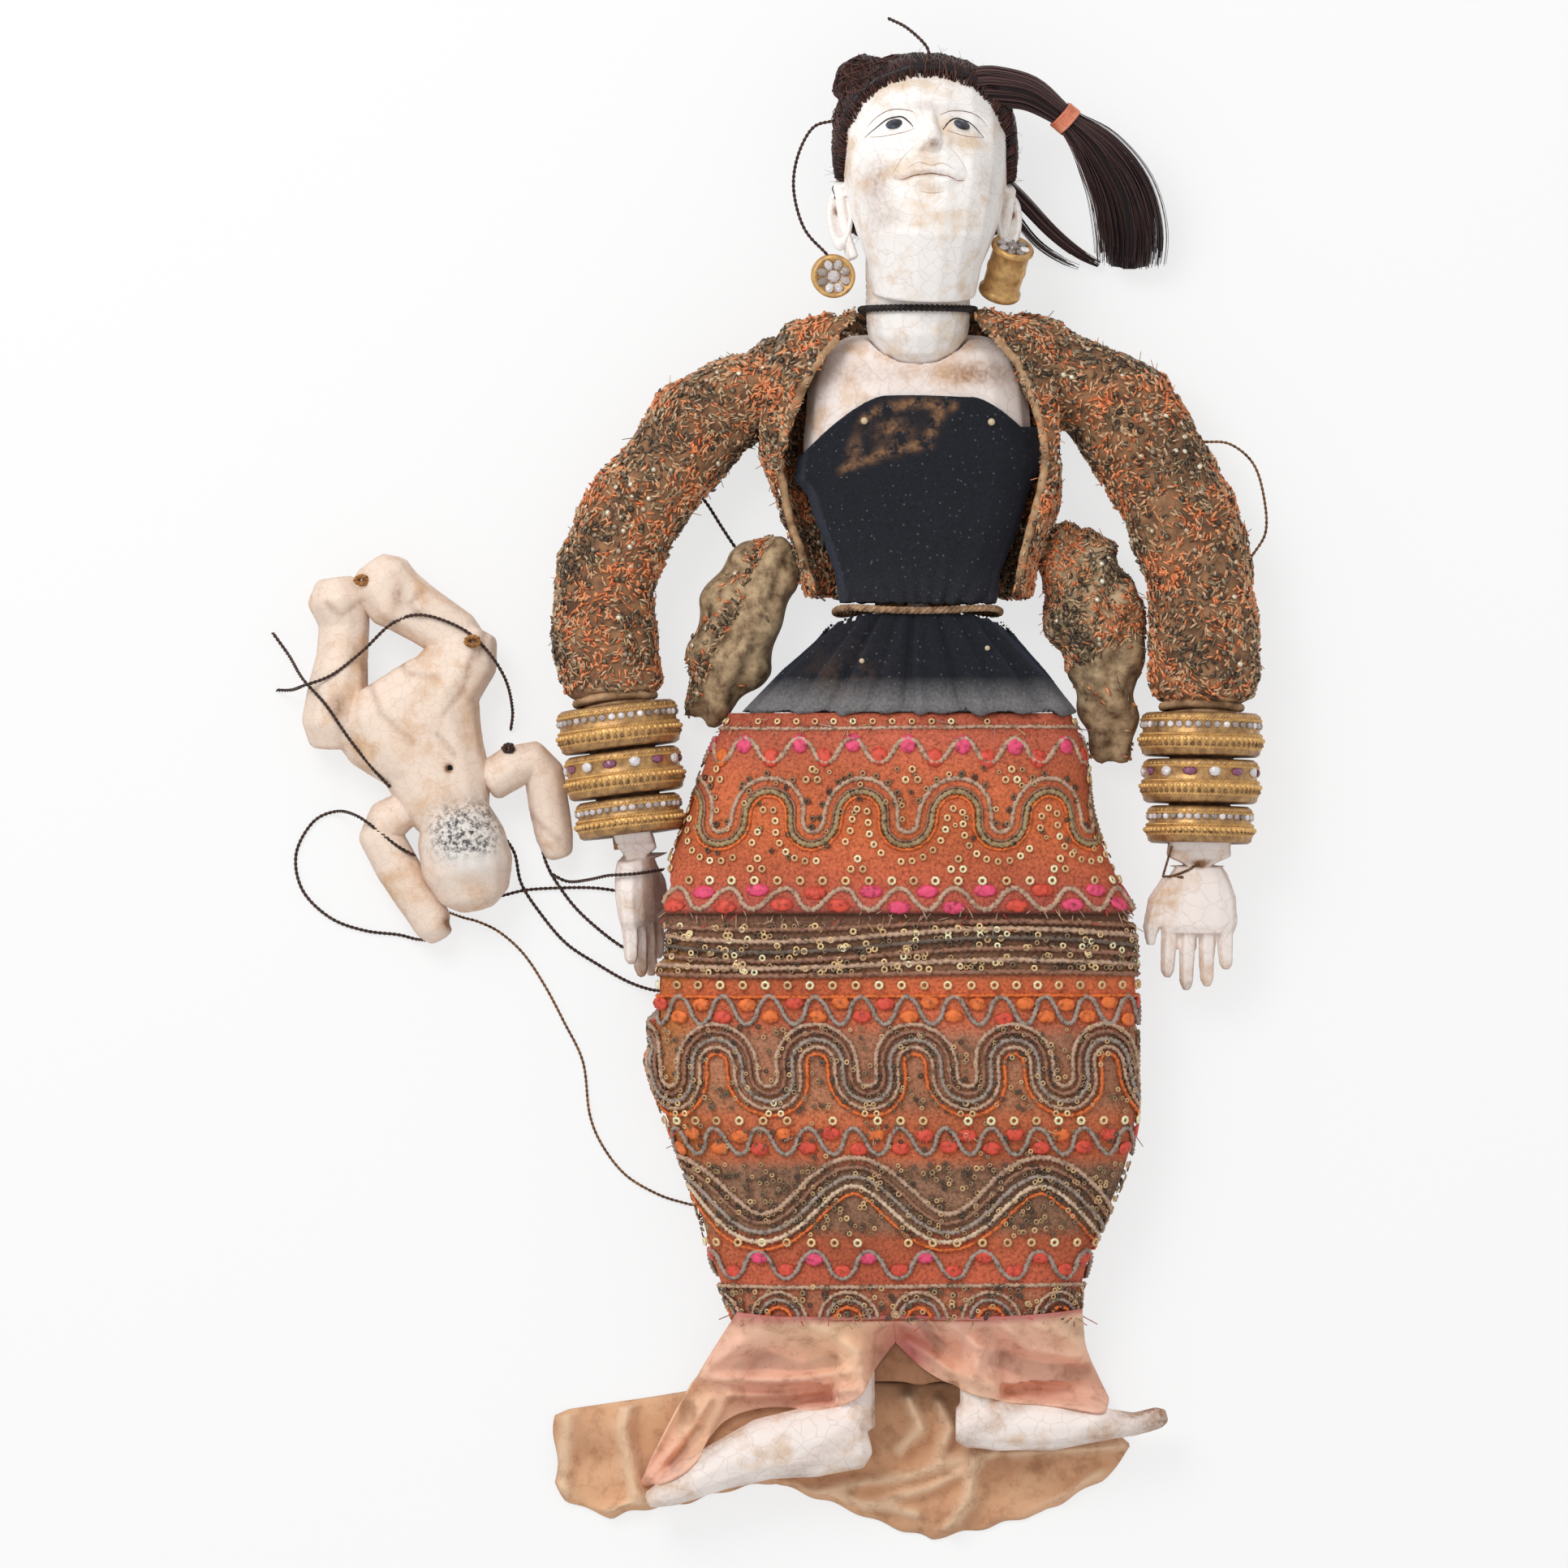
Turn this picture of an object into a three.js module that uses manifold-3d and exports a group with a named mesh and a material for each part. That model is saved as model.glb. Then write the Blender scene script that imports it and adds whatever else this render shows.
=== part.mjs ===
// A carved wooden string puppet of a woman in court dress, laid on its back, with the small
// carved child that shares its strings. Millimetres. +Z is up from the surface that the puppet
// lies on, +Y runs from the hips to the head, and +X is the puppet's left. The origin lies on
// that surface, under the hips.
import * as THREE from "three";
import { mergeVertices } from "three/addons/utils/BufferGeometryUtils.js";
import Module from "manifold-3d";

const wasm = await Module();
wasm.setup();

// Driving dimensions
const CLEARANCE = 0.35; // running gap between pieces that touch
const PIN_RADIUS = 1.6;
const MIDLINE = 4; // x of the neck and spine
const CHEST = { halfWidth: 54, halfDepth: 29, height: 34, top: 222, waist: 98 };
const SPINE_PIVOT = { y: 89, z: 36 };
const NECK = { ballRadius: 25, radius: 24.5, y: 231, z: 43, cordRadius: 1.5, cordUp: 4.4 };
const HEAD = { x: 7, y: 262, z: 55, pitch: -0.33, turn: 0.07 };
const TOGGLE = { radius: 2.5, stem: 42, bar: 40 };
const HIP = { y: 25, z: 31, spread: 29 };
const KNEE_DROP = 152;
const ANKLE_DROP = 150;
const LIMB = { arm: 9.5, wrist: 8, thigh: 15, shin: 12, slot: 8 };
const SHOULDER_CUT = 69; // x at which the sleeve meets the jacket
const ARMHOLE_RADIUS = 18;
const SLEEVE = { wall: 3, fit: 0.95, gather: 8 };
const BANGLE = { bore: 16.6, heights: [21, 21, 18], radii: [29.5, 28.5, 26], gap: 0.8 };
const CUFF_FILL = BANGLE.bore - SLEEVE.fit - SLEEVE.wall - 2 * CLEARANCE; // forearm under the cuff
const SKIRT = { wall: 3, top: 46, seam: -52, belowKnee: 111 };
const HEM = HIP.y - KNEE_DROP - SKIRT.belowKnee;
const CORD = 1.8;
const FLOOR_SIZE = 900;

// The two arms as they lie: shoulder, elbow and wrist, how the hand hangs and rolls from the
// wrist, and the sleeve's radius and how far it bows out above the elbow.
const ARMS = {
  left: {
    side: 1,
    shoulder: [80, 210, 28],
    elbow: [138, 114, 28],
    wrist: [136, -13, 31.5],
    hand: { roll: 0, drop: 0.1 },
    sleeve: { radius: 25.5, bow: 5 },
  },
  right: {
    side: -1,
    shoulder: [-80, 203, 28],
    elbow: [-145, 113, 28],
    wrist: [-130, -9, 31.5],
    hand: { roll: 1.1, drop: 0.22 },
    sleeve: { radius: 23, bow: 2 },
  },
};

const MATERIALS = {
  gesso: ["#e9dccb", 0.6, 0],
  carvedWood: ["#b58a5e", 0.75, 0],
  hair: ["#2c1a17", 0.5, 0],
  hairBand: ["#d9876a", 0.8, 0],
  gilt: ["#c08a35", 0.4, 0.7],
  blackCloth: ["#171a24", 0.9, 0],
  embroidery: ["#6f5135", 0.85, 0.1],
  skirtCloth: ["#a5492c", 0.85, 0.1],
  plainCloth: ["#c39a78", 0.95, 0],
  tie: ["#a98164", 0.9, 0],
  string: ["#2a1a15", 0.85, 0],
  paleString: ["#8a6038", 0.85, 0],
  childWood: ["#d8bda3", 0.7, 0],
};
for (const key of Object.keys(MATERIALS)) {
  const [color, roughness, metalness] = MATERIALS[key];
  MATERIALS[key] = new THREE.MeshStandardMaterial({ color, roughness, metalness });
}

const puppet = new THREE.Group();
puppet.name = "puppet";

// Geometry helpers

const at = (x, y, z) => new THREE.Vector3(x, y, z);

// A closed solid from any closed three.js geometry, with its faces turned outwards.
function solid(geometry, matrix = new THREE.Matrix4()) {
  const bare = geometry.index ? geometry.toNonIndexed() : geometry.clone();
  for (const name of Object.keys(bare.attributes)) {
    if (name !== "position") bare.deleteAttribute(name);
  }
  const merged = mergeVertices(bare.applyMatrix4(matrix), 1e-4);
  const faces = [];
  for (let i = 0; i < merged.index.count; i += 3) {
    const [a, b, c] = [0, 1, 2].map((k) => merged.index.getX(i + k));
    if (a !== b && b !== c && c !== a) faces.push(a, b, c);
  }
  const make = (triangles) =>
    new wasm.Manifold(
      new wasm.Mesh({
        numProp: 3,
        vertProperties: merged.attributes.position.array,
        triVerts: new Uint32Array(triangles),
      }),
    );
  const made = make(faces);
  return made.volume() < 0 ? make(faces.reverse()) : made;
}

function geometryOf(made) {
  const mesh = made.getMesh();
  return new THREE.BufferGeometry()
    .setAttribute("position", new THREE.BufferAttribute(mesh.vertProperties, 3))
    .setIndex(new THREE.BufferAttribute(mesh.triVerts, 1));
}

function piece(name, made, material, group = puppet) {
  const mesh = new THREE.Mesh(geometryOf(made), MATERIALS[material]);
  mesh.geometry.computeVertexNormals();
  mesh.name = name;
  group.add(mesh);
  return mesh;
}

// One section of a carved or sewn form: a superellipse of half sizes a and b.
function section(centre, across, up, a, b, power, count) {
  return Array.from({ length: count }, (_, i) => {
    const turn = (i / count) * 2 * Math.PI;
    const bulge = (value) => Math.sign(value) * Math.abs(value) ** (2 / power);
    return centre
      .clone()
      .addScaledVector(across, a * bulge(Math.cos(turn)))
      .addScaledVector(up, b * bulge(Math.sin(turn)));
  });
}

// A closed skin over a row of sections.
function skin(rings) {
  const count = rings[0].length;
  const last = rings.length - 1;
  const points = rings.flat();
  const faces = [];
  for (let r = 0; r < last; r++) {
    for (let i = 0; i < count; i++) {
      const a = r * count + i;
      const b = r * count + ((i + 1) % count);
      faces.push(a, b, b + count, a, b + count, a + count);
    }
  }
  for (const end of [0, last]) {
    const middle = rings[end].reduce((sum, p) => sum.add(p), at(0, 0, 0)).divideScalar(count);
    const hub = points.push(middle) - 1;
    for (let i = 0; i < count; i++) {
      const a = end * count + i;
      const b = end * count + ((i + 1) % count);
      faces.push(...(end ? [a, b, hub] : [b, a, hub]));
    }
  }
  return new THREE.BufferGeometry().setFromPoints(points).setIndex(faces);
}

// A form along stations [x, y, z, half width, half depth]. Each section is square to the path,
// or to the direction `along` where one is given.
function form(stations, { power = 2, count = 16, grow = 0, along = null } = {}) {
  const centres = stations.map(([x, y, z]) => at(x, y, z));
  const rings = stations.map(([, , , a, b = a], i) => {
    const next = centres[Math.min(i + 1, centres.length - 1)];
    const way = along ?? next.clone().sub(centres[Math.max(i - 1, 0)]).normalize();
    const across = way.clone().cross(at(0, 0, 1)).normalize();
    const up = across.clone().cross(way).normalize();
    return section(centres[i], across, up, a + grow, b + grow, power, count);
  });
  return solid(skin(rings));
}

const box = (x0, x1, y0, y1, z0, z1) =>
  solid(
    new THREE.BoxGeometry(x1 - x0, y1 - y0, z1 - z0),
    new THREE.Matrix4().makeTranslation((x0 + x1) / 2, (y0 + y1) / 2, (z0 + z1) / 2),
  );

const ball = (x, y, z, radius, detail = 20) =>
  solid(
    new THREE.SphereGeometry(radius, detail, detail / 2),
    new THREE.Matrix4().makeTranslation(x, y, z),
  );

// A cylinder about the local x axis, centred on a point.
const rod = (radius, length, centre = [0, 0, 0], detail = 10) =>
  solid(
    new THREE.CylinderGeometry(radius, radius, length, detail),
    new THREE.Matrix4().makeTranslation(...centre).multiply(new THREE.Matrix4().makeRotationZ(Math.PI / 2)),
  );

const join = (parts) => parts.reduce((sum, part) => sum.add(part));

// What lies on the surface is pressed flat there.
const laid = (made, level = 0) =>
  made.subtract(box(-FLOOR_SIZE, FLOOR_SIZE, -FLOOR_SIZE, FLOOR_SIZE, -FLOOR_SIZE, level));

// Hinge ends of the limbs. A limb runs down local -y, and its hinges turn about local x.

const rodAt = (place, radius, length) => solid(geometryOf(rod(radius, length, [0, 0, 0], 8)), place);

// The knuckle at the lower end of a limb: two cheeks with the pin driven through them, open
// below and in front for the next limb's tongue to swing.
function forked(body, drop, radius, width, swing = null) {
  const place = new THREE.Matrix4()
    .makeTranslation(0, -drop, 0)
    .multiply(new THREE.Matrix4().makeRotationZ(swing ?? 0));
  const turn = new THREE.Matrix4().makeRotationZ(Math.PI / 2);
  const disc = (r, length) =>
    solid(new THREE.CylinderGeometry(r, r, length, 8), place.clone().multiply(turn));
  const opening = (y0, y1, z0, z1) =>
    solid(geometryOf(box(-LIMB.slot / 2, LIMB.slot / 2, y0, y1, z0, z1)), place);
  const rounded = new THREE.SphereGeometry(radius + 3.5, 8, 6);
  const knuckle = swing === null ? body : body.add(solid(rounded, place));
  return knuckle
    .add(disc(radius, width))
    .subtract(disc(radius + 1.2, LIMB.slot))
    .subtract(opening(-3 * radius, 0, -3 * radius, 3 * radius))
    .subtract(opening(-1, radius * 0.8, 0, 3 * radius))
    .add(rodAt(place, PIN_RADIUS, width));
}

// The tongue at the upper end of a limb whose hinge is at the local origin.
function tongued(body, radius, reach) {
  const thickness = LIMB.slot - 2 * CLEARANCE;
  return body
    .add(rod(radius - 0.6, thickness, [0, 0, 0], 10))
    .add(box(-thickness / 2, thickness / 2, -reach, 0, -radius * 0.55, radius * 0.55))
    .subtract(rod(PIN_RADIUS + CLEARANCE, thickness + 4, [0, 0, 0], 8));
}

const pin = (length) => rod(PIN_RADIUS, length, [0, 0, 0], 8);

// A group whose origin is one joint and whose -y axis points at the next.
function limbGroup(from, to, parent = puppet) {
  const start = at(...from);
  const up = start.clone().sub(at(...to)).normalize();
  const across = up.clone().cross(at(0, 0, 1)).normalize();
  const front = across.clone().cross(up).normalize();
  const group = new THREE.Group();
  group.position.copy(start);
  group.quaternion.setFromRotationMatrix(new THREE.Matrix4().makeBasis(across, up, front));
  parent.add(group);
  return group;
}

// Trunk: the pelvis and chest blocks, pinned at the waist

const pelvisStations = [
  [MIDLINE, 84, 34, 24, 20],
  [MIDLINE, 72, 33, 34, 23],
  [MIDLINE, 52, 32, 48, 23],
  [MIDLINE, 30, 31, 55, 23],
  [MIDLINE, 16, 31, 54, 21],
];

function pelvisBlock() {
  const waist = { radius: 12, width: 40 };
  const block = form(pelvisStations, { power: 2.6, count: 12 })
    .add(rod(waist.radius, waist.width, [MIDLINE, SPINE_PIVOT.y, SPINE_PIVOT.z], 12))
    .subtract(rod(waist.radius + 1.2, LIMB.slot * 1.5, [MIDLINE, SPINE_PIVOT.y, SPINE_PIVOT.z], 12))
    .subtract(rod(PIN_RADIUS + CLEARANCE, 60, [MIDLINE, SPINE_PIVOT.y, SPINE_PIVOT.z], 8));
  const hipBore = rod(PIN_RADIUS + CLEARANCE, 140, [MIDLINE, HIP.y, HIP.z], 8);
  const slots = [-1, 1].map((side) => {
    const x = MIDLINE + side * HIP.spread;
    const half = LIMB.slot / 2;
    return rod(LIMB.thigh + 1.2, LIMB.slot, [x, HIP.y, HIP.z], 12).add(
      box(x - half, x + half, -40, HIP.y, HIP.z - 40, HIP.z + 40),
    );
  });
  return slots.reduce((made, slot) => made.subtract(slot), block).subtract(hipBore);
}

function chestBlock() {
  const { halfWidth: w, halfDepth: d, height: z } = CHEST;
  const stations = [
    [MIDLINE, CHEST.top, z + 1, w * 0.62, d * 0.5],
    [MIDLINE, 215, z, w * 0.85, d * 0.72],
    [MIDLINE, 198, z, w * 0.96, d * 0.92],
    [MIDLINE, 168, z, w, d],
    [MIDLINE, 135, z, w * 0.83, d * 0.92],
    [MIDLINE, 112, z, w * 0.66, d * 0.68],
    [MIDLINE, CHEST.waist + 6, z, w * 0.58, d * 0.5],
  ];
  const tongue = LIMB.slot * 1.5 - 2 * CLEARANCE;
  const socket = ball(MIDLINE, NECK.y, NECK.z, NECK.ballRadius + 2.6 * CLEARANCE, 16);
  const stemBore = solid(
    new THREE.CylinderGeometry(TOGGLE.radius + CLEARANCE, TOGGLE.radius + CLEARANCE, 60, 10),
    new THREE.Matrix4().makeTranslation(MIDLINE, NECK.y - 20, NECK.z),
  );
  let block = form(stations, { power: 2.4, count: 14 })
    .add(rod(11.4, tongue, [MIDLINE, SPINE_PIVOT.y, SPINE_PIVOT.z], 12))
    .add(box(MIDLINE - tongue / 2, MIDLINE + tongue / 2, SPINE_PIVOT.y, 112, 30, 42))
    .subtract(rod(PIN_RADIUS + CLEARANCE, 60, [MIDLINE, SPINE_PIVOT.y, SPINE_PIVOT.z]))
    .subtract(socket)
    .subtract(stemBore);
  for (const arm of Object.values(ARMS)) {
    const [x, y, height] = arm.shoulder;
    block = block.subtract(rod(6 + CLEARANCE, 34, [MIDLINE + arm.side * 46, y, height]));
  }
  return block;
}

piece("pelvis_block", pelvisBlock(), "carvedWood");
piece("chest_block", chestBlock(), "gesso");
const waistPin = piece("waist_pin", pin(44), "carvedWood");
waistPin.position.set(MIDLINE, SPINE_PIVOT.y, SPINE_PIVOT.z);
const hipPin = piece("hip_pin", pin(100), "carvedWood");
hipPin.position.set(MIDLINE, HIP.y, HIP.z);

// Head: one carving with its neck ball, which a toggle ties into the chest

const skullStations = [
  [0, -20, -6, 24.3, 24.3],
  [0, -8, 1, 26.5, 28],
  [0, 2, 6, 31, 33],
  [0, 14, 7, 35, 35.5],
  [0, 30, 6, 38, 36.5],
  [0, 50, 4, 39, 36],
  [0, 68, 2, 38, 33.5],
  [0, 82, 0, 33, 29],
  [0, 92, -3, 24, 21],
  [0, 98, -5, 12, 11],
];

const headGroup = new THREE.Group();
headGroup.position.set(HEAD.x, HEAD.y, HEAD.z);
headGroup.rotation.set(HEAD.pitch, HEAD.turn, 0);
puppet.add(headGroup);
headGroup.updateMatrixWorld(true);
const fromHead = headGroup.matrixWorld.clone().invert();

// A solid that is placed in the puppet's frame, moved into the head's.
const inHead = (made) => solid(geometryOf(made), fromHead);

// What hair and ornaments are cut to fit over: skull, ears and neck, grown by a gap.
function headCore(grow = 0, withNeck = true) {
  const ears = [-1, 1].map((side) =>
    form(
      [
        [side * 38, 36, -3, 3, 4],
        [side * 41, 29, -2, 3.6, 8],
        [side * 39.5, 16, -2, 3.2, 6.5],
        [side * 36, 4, -3, 3, 5],
        [side * 33, -4, -4, 3, 3.6],
      ],
      { count: 6, grow },
    ),
  );
  const upper = [form(skullStations, { power: 2.1, count: 18, grow }), ...ears];
  if (!withNeck) return join(upper);
  const radius = NECK.radius + grow;
  const neck = solid(
    new THREE.CylinderGeometry(radius, radius, HEAD.y - NECK.y + 8, 16),
    new THREE.Matrix4().makeTranslation(MIDLINE, (HEAD.y + NECK.y + 8) / 2, NECK.z),
  );
  return join([...upper, inHead(neck)]);
}

function carvedHead() {
  const faceFront = 43;
  const nose = form(
    [
      [0, 56, faceFront - 6.5, 2.4, 3],
      [0, 46, faceFront - 2, 3.2, 4],
      [0, 38, faceFront + 1, 4.6, 4.6],
      [0, 34, faceFront - 2, 4, 3.5],
    ],
    { count: 8 },
  );
  const lips = [26.6, 23].map((y) =>
    form(
      [
        [-9, y + 0.6, faceFront - 4.2, 0.8, 1.4],
        [-4, y, faceFront - 2, 1.8, 2.2],
        [0, y - 0.3, faceFront - 1.6, 2, 2.4],
        [4, y, faceFront - 2, 1.8, 2.2],
        [9, y + 0.6, faceFront - 4.2, 0.8, 1.4],
      ],
      { count: 6 },
    ),
  );
  const chin = ball(0, 8, faceFront - 15.5, 13, 10);
  const neckBall = ball(MIDLINE, NECK.y, NECK.z, NECK.ballRadius, 16);
  const barBore = rod(TOGGLE.radius + CLEARANCE, 80, [MIDLINE, NECK.y, NECK.z], 12);
  const fan = box(MIDLINE - 3.2, MIDLINE + 3.2, NECK.y - 40, NECK.y + 2, NECK.z - 9.5, NECK.z + 9.5);
  return join([headCore(), nose, chin, ...lips, inHead(neckBall)])
    .subtract(inHead(barBore))
    .subtract(inHead(fan));
}

const hairForm = (grow) => form(skullStations.slice(3), { power: 2.1, count: 14, grow });

function hairCap() {
  const face = solid(
    new THREE.BoxGeometry(200, 240, 120),
    new THREE.Matrix4()
      .makeTranslation(0, 20, -2)
      .multiply(new THREE.Matrix4().makeRotationX(0.5))
      .multiply(new THREE.Matrix4().makeTranslation(0, 0, 60)),
  );
  const bun = form(
    [
      [-28, 72, 0, 6, 8],
      [-31, 82, 6, 12, 12],
      [-29, 92, 7, 12, 12],
      [-26, 101, 6, 6, 7],
    ],
    { count: 8 },
  );
  const surface = inHead(box(-FLOOR_SIZE, FLOOR_SIZE, -FLOOR_SIZE, FLOOR_SIZE, -FLOOR_SIZE, 0.2));
  return hairForm(4.5).subtract(face).add(bun).subtract(headCore(CLEARANCE)).subtract(surface);
}

function ponytail() {
  const tail = form(
    [
      [40, 338, 49, 9, 9],
      [56, 335, 49, 8, 8],
      [70, 326, 46, 5.6, 5.6],
      [76, 321, 45, 5.6, 5.6],
      [88, 309, 41, 9.5, 7.5],
      [99, 291, 32, 13, 8],
      [104, 272, 20, 13.5, 8],
      [104, 256, 10, 11, 6],
    ],
    { count: 10 },
  );
  return inHead(tail.subtract(hairBand(CLEARANCE)))
    .subtract(hairForm(4.5 + CLEARANCE))
    .subtract(headCore(CLEARANCE, false));
}

// The band round the ponytail, grown where the tail is cut to seat in it.
function hairBand(grow = 0) {
  const way = at(76, 321, 45).sub(at(70, 326, 46)).normalize();
  const place = new THREE.Matrix4()
    .makeTranslation(73, 323.5, 45.5)
    .multiply(new THREE.Matrix4().makeRotationFromQuaternion(
      new THREE.Quaternion().setFromUnitVectors(at(0, 1, 0), way),
    ));
  const tube = new THREE.CylinderGeometry(7.2 + grow, 7.2 + grow, 7 + 2 * grow, 10);
  const bore = new THREE.CylinderGeometry(4.9 - grow, 4.9 - grow, 20, 10);
  return solid(tube, place).subtract(solid(bore, place));
}

function sideLock() {
  const lock = form(
    [
      [42, 296, 34, 4, 4],
      [52, 287, 26, 4, 3.4],
      [67, 272, 15, 3.6, 2.6],
      [80, 262, 8, 3.4, 2.2],
      [90, 257, 5, 2, 1.4],
    ],
    { count: 8 },
  );
  return inHead(lock).subtract(hairForm(4.5 + CLEARANCE)).subtract(headCore(CLEARANCE, false));
}

// A gilt ear cylinder with a flange at each end, and stones set in its front face.
function earPlug(length) {
  const profile = [
    [0, 0],
    [9.6, 0],
    [10, 3],
    [8.6, 4],
    [9.2, length / 2],
    [8.6, length - 4],
    [10, length - 3],
    [9.6, length],
    [8, length - 1.2],
    [0, length - 1.2],
  ].map(([x, y]) => new THREE.Vector2(x, y));
  return solid(new THREE.LatheGeometry(profile, 12));
}

piece("head", carvedHead(), "gesso", headGroup);
piece("hair_cap", hairCap(), "hair", headGroup);
piece("ponytail", ponytail(), "hair", headGroup);
piece("side_lock", sideLock(), "hair", headGroup);
piece("hair_band", hairBand(), "hairBand");
for (const [name, from, to] of [
  ["left", [41.8, 241.7, 42], [48.5, 264, 56]],
  ["right", [-36, 251, 31], [-35.3, 249.5, 55]],
]) {
  const [foot, face] = [at(...from), at(...to)];
  const way = face.clone().sub(foot);
  const place = new THREE.Matrix4().compose(
    foot,
    new THREE.Quaternion().setFromUnitVectors(at(0, 1, 0), way.clone().normalize()),
    at(1, 1, 1),
  );
  const plug = solid(geometryOf(earPlug(way.length())), place);
  piece(`ear_plug_${name}`, inHead(plug).subtract(headCore(CLEARANCE)), "gilt", headGroup);
}
const ballThere = Math.sqrt(NECK.ballRadius ** 2 - (NECK.cordUp - NECK.cordRadius) ** 2);
const cordSeat = Math.max(NECK.radius, ballThere) + NECK.cordRadius + 0.3;
const neckCord = piece(
  "neck_cord",
  solid(new THREE.TorusGeometry(cordSeat, NECK.cordRadius, 6, 16)),
  "string",
);
neckCord.rotation.x = Math.PI / 2;
neckCord.position.set(MIDLINE, NECK.y + NECK.cordUp, NECK.z);
const toggleBar = rod(TOGGLE.radius, TOGGLE.bar, [0, 0, 0], 10);
const toggleStem = solid(
  new THREE.CylinderGeometry(TOGGLE.radius, TOGGLE.radius, TOGGLE.stem, 10),
  new THREE.Matrix4().makeTranslation(0, -TOGGLE.stem / 2, 0),
);
piece("neck_toggle", toggleBar.add(toggleStem), "carvedWood").position.set(MIDLINE, NECK.y, NECK.z);

// Arms: wooden limbs under embroidered sleeves, three bangles on each wrist

function upperArm(length, bend) {
  const body = form(
    [
      [0, 8, 0, 9, 9],
      [0, -6, 0, 11.5, 11.5],
      [0, -length * 0.4, 0, 12.5, 12],
      [0, -length + 16, 0, 11, 11],
      [0, -length, 0, 9, 9],
    ],
    { count: 8 },
  );
  return forked(body, length, LIMB.arm, 20, bend);
}

function forearmBody(length) {
  const body = form(
    [
      [0, -15, 0, 8, 8],
      [0, -21, 0, 11.5, 11.5],
      [0, -length * 0.45, 0, CUFF_FILL, CUFF_FILL],
      [0, -length * 0.6, 0, 10.6, 10.6],
      [0, -length, 0, 7, 7],
    ],
    { count: 8 },
  );
  return forked(tongued(body, LIMB.arm, 20), length, LIMB.wrist, 18);
}

// A hand rolled about its own length: palm, four fingers and a thumb, with the wrist tongue
// at the origin.
function hand(side, roll) {
  const palm = form(
    [
      [0, -12.6, 0, 11, 7],
      [0, -17, 0, 14, 8],
      [0, -28, 0, 18, 8],
      [0, -40, 0, 18.5, 7],
      [0, -44, 0, 17, 5.4],
    ],
    { power: 2.3, count: 12 },
  );
  const fingers = [
    { x: -13, length: 23, spread: -0.04 },
    { x: -4.6, length: 29, spread: -0.01 },
    { x: 4.2, length: 27, spread: 0.02 },
    { x: 12.6, length: 19, spread: 0.05 },
  ].map(({ x, length, spread }) =>
    form(
      [
        [side * x, -36, 0, 4.4, 4.6],
        [side * (x + spread * length * 0.5), -42 - length * 0.4, -0.4, 4.1, 4.2],
        [side * (x + spread * length), -42 - length * 0.86, -1.2, 3.6, 3.6],
        [side * (x + spread * length), -42 - length, -1.4, 1.8, 2],
      ],
      { count: 5 },
    ),
  );
  const thumb = form(
    [
      [side * -13, -20, -1, 5, 5],
      [side * -19.5, -30, 0, 4.8, 5],
      [side * -22, -42, 0, 4.2, 4.4],
      [side * -22, -50, -0.4, 2.2, 2.6],
    ],
    { count: 5 },
  );
  const turned = solid(
    geometryOf(join([palm, ...fingers, thumb])),
    new THREE.Matrix4().makeRotationY(side * -roll),
  );
  return tongued(turned, LIMB.wrist, 15);
}

// A turned bangle: a rounded band with a raised bead along each edge and a channel for stones.
function bangle(height, radius, bore) {
  const h = height / 2;
  const profile = [
    [bore, -h],
    [radius - 4, -h],
    [radius, -3],
    [radius - 1.2, -2],
    [radius - 1.2, 2],
    [radius, 3],
    [radius - 4, h],
    [bore, h],
    [bore, -h],
  ].map(([x, y]) => new THREE.Vector2(x, y));
  return solid(new THREE.LatheGeometry(profile, 12));
}

// A sleeve from the armhole over the elbow, gathered into the cuff under the bangles.
function sleeve(arm, grow) {
  const [s, e, w] = [arm.shoulder, arm.elbow, arm.wrist].map((p) => at(...p));
  const outwards = at(s.y - e.y, e.x - s.x, 0).normalize();
  if (arm.side < 0) outwards.set(e.y - s.y, s.x - e.x, 0).normalize();
  const curve = new THREE.CatmullRomCurve3([
    s.clone().add(at(arm.side * -28, 0, 0)),
    s,
    s.clone().lerp(e, 0.45).addScaledVector(outwards, arm.sleeve.bow),
    s.clone().lerp(e, 0.85).addScaledVector(outwards, arm.sleeve.bow / 2),
    e.clone().lerp(w, 0.12),
    e.clone().lerp(w, 0.5),
    w,
  ]);
  const length = curve.getLength();
  const bangles = BANGLE.heights.reduce((sum, height) => sum + height + BANGLE.gap, 0) - 3;
  const full = length - bangles - SLEEVE.gather;
  const steps = 7;
  const stations = Array.from({ length: steps + 1 }, (_, i) => {
    const shoulder = 3 * (1 - THREE.MathUtils.smoothstep(i / steps, 0, 0.25));
    const creased = i % 2 ? -0.7 : 0.7;
    return [(full * i) / steps, arm.sleeve.radius + creased + shoulder];
  });
  const cuff = BANGLE.bore - SLEEVE.fit;
  for (const distance of [length - bangles - 1, length]) stations.push([distance, cuff]);
  return form(
    stations.map(([distance, radius]) => {
      const p = curve.getPointAt(distance / length);
      return [p.x, p.y, p.z, radius + grow];
    }),
    { count: 10 },
  );
}

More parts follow.
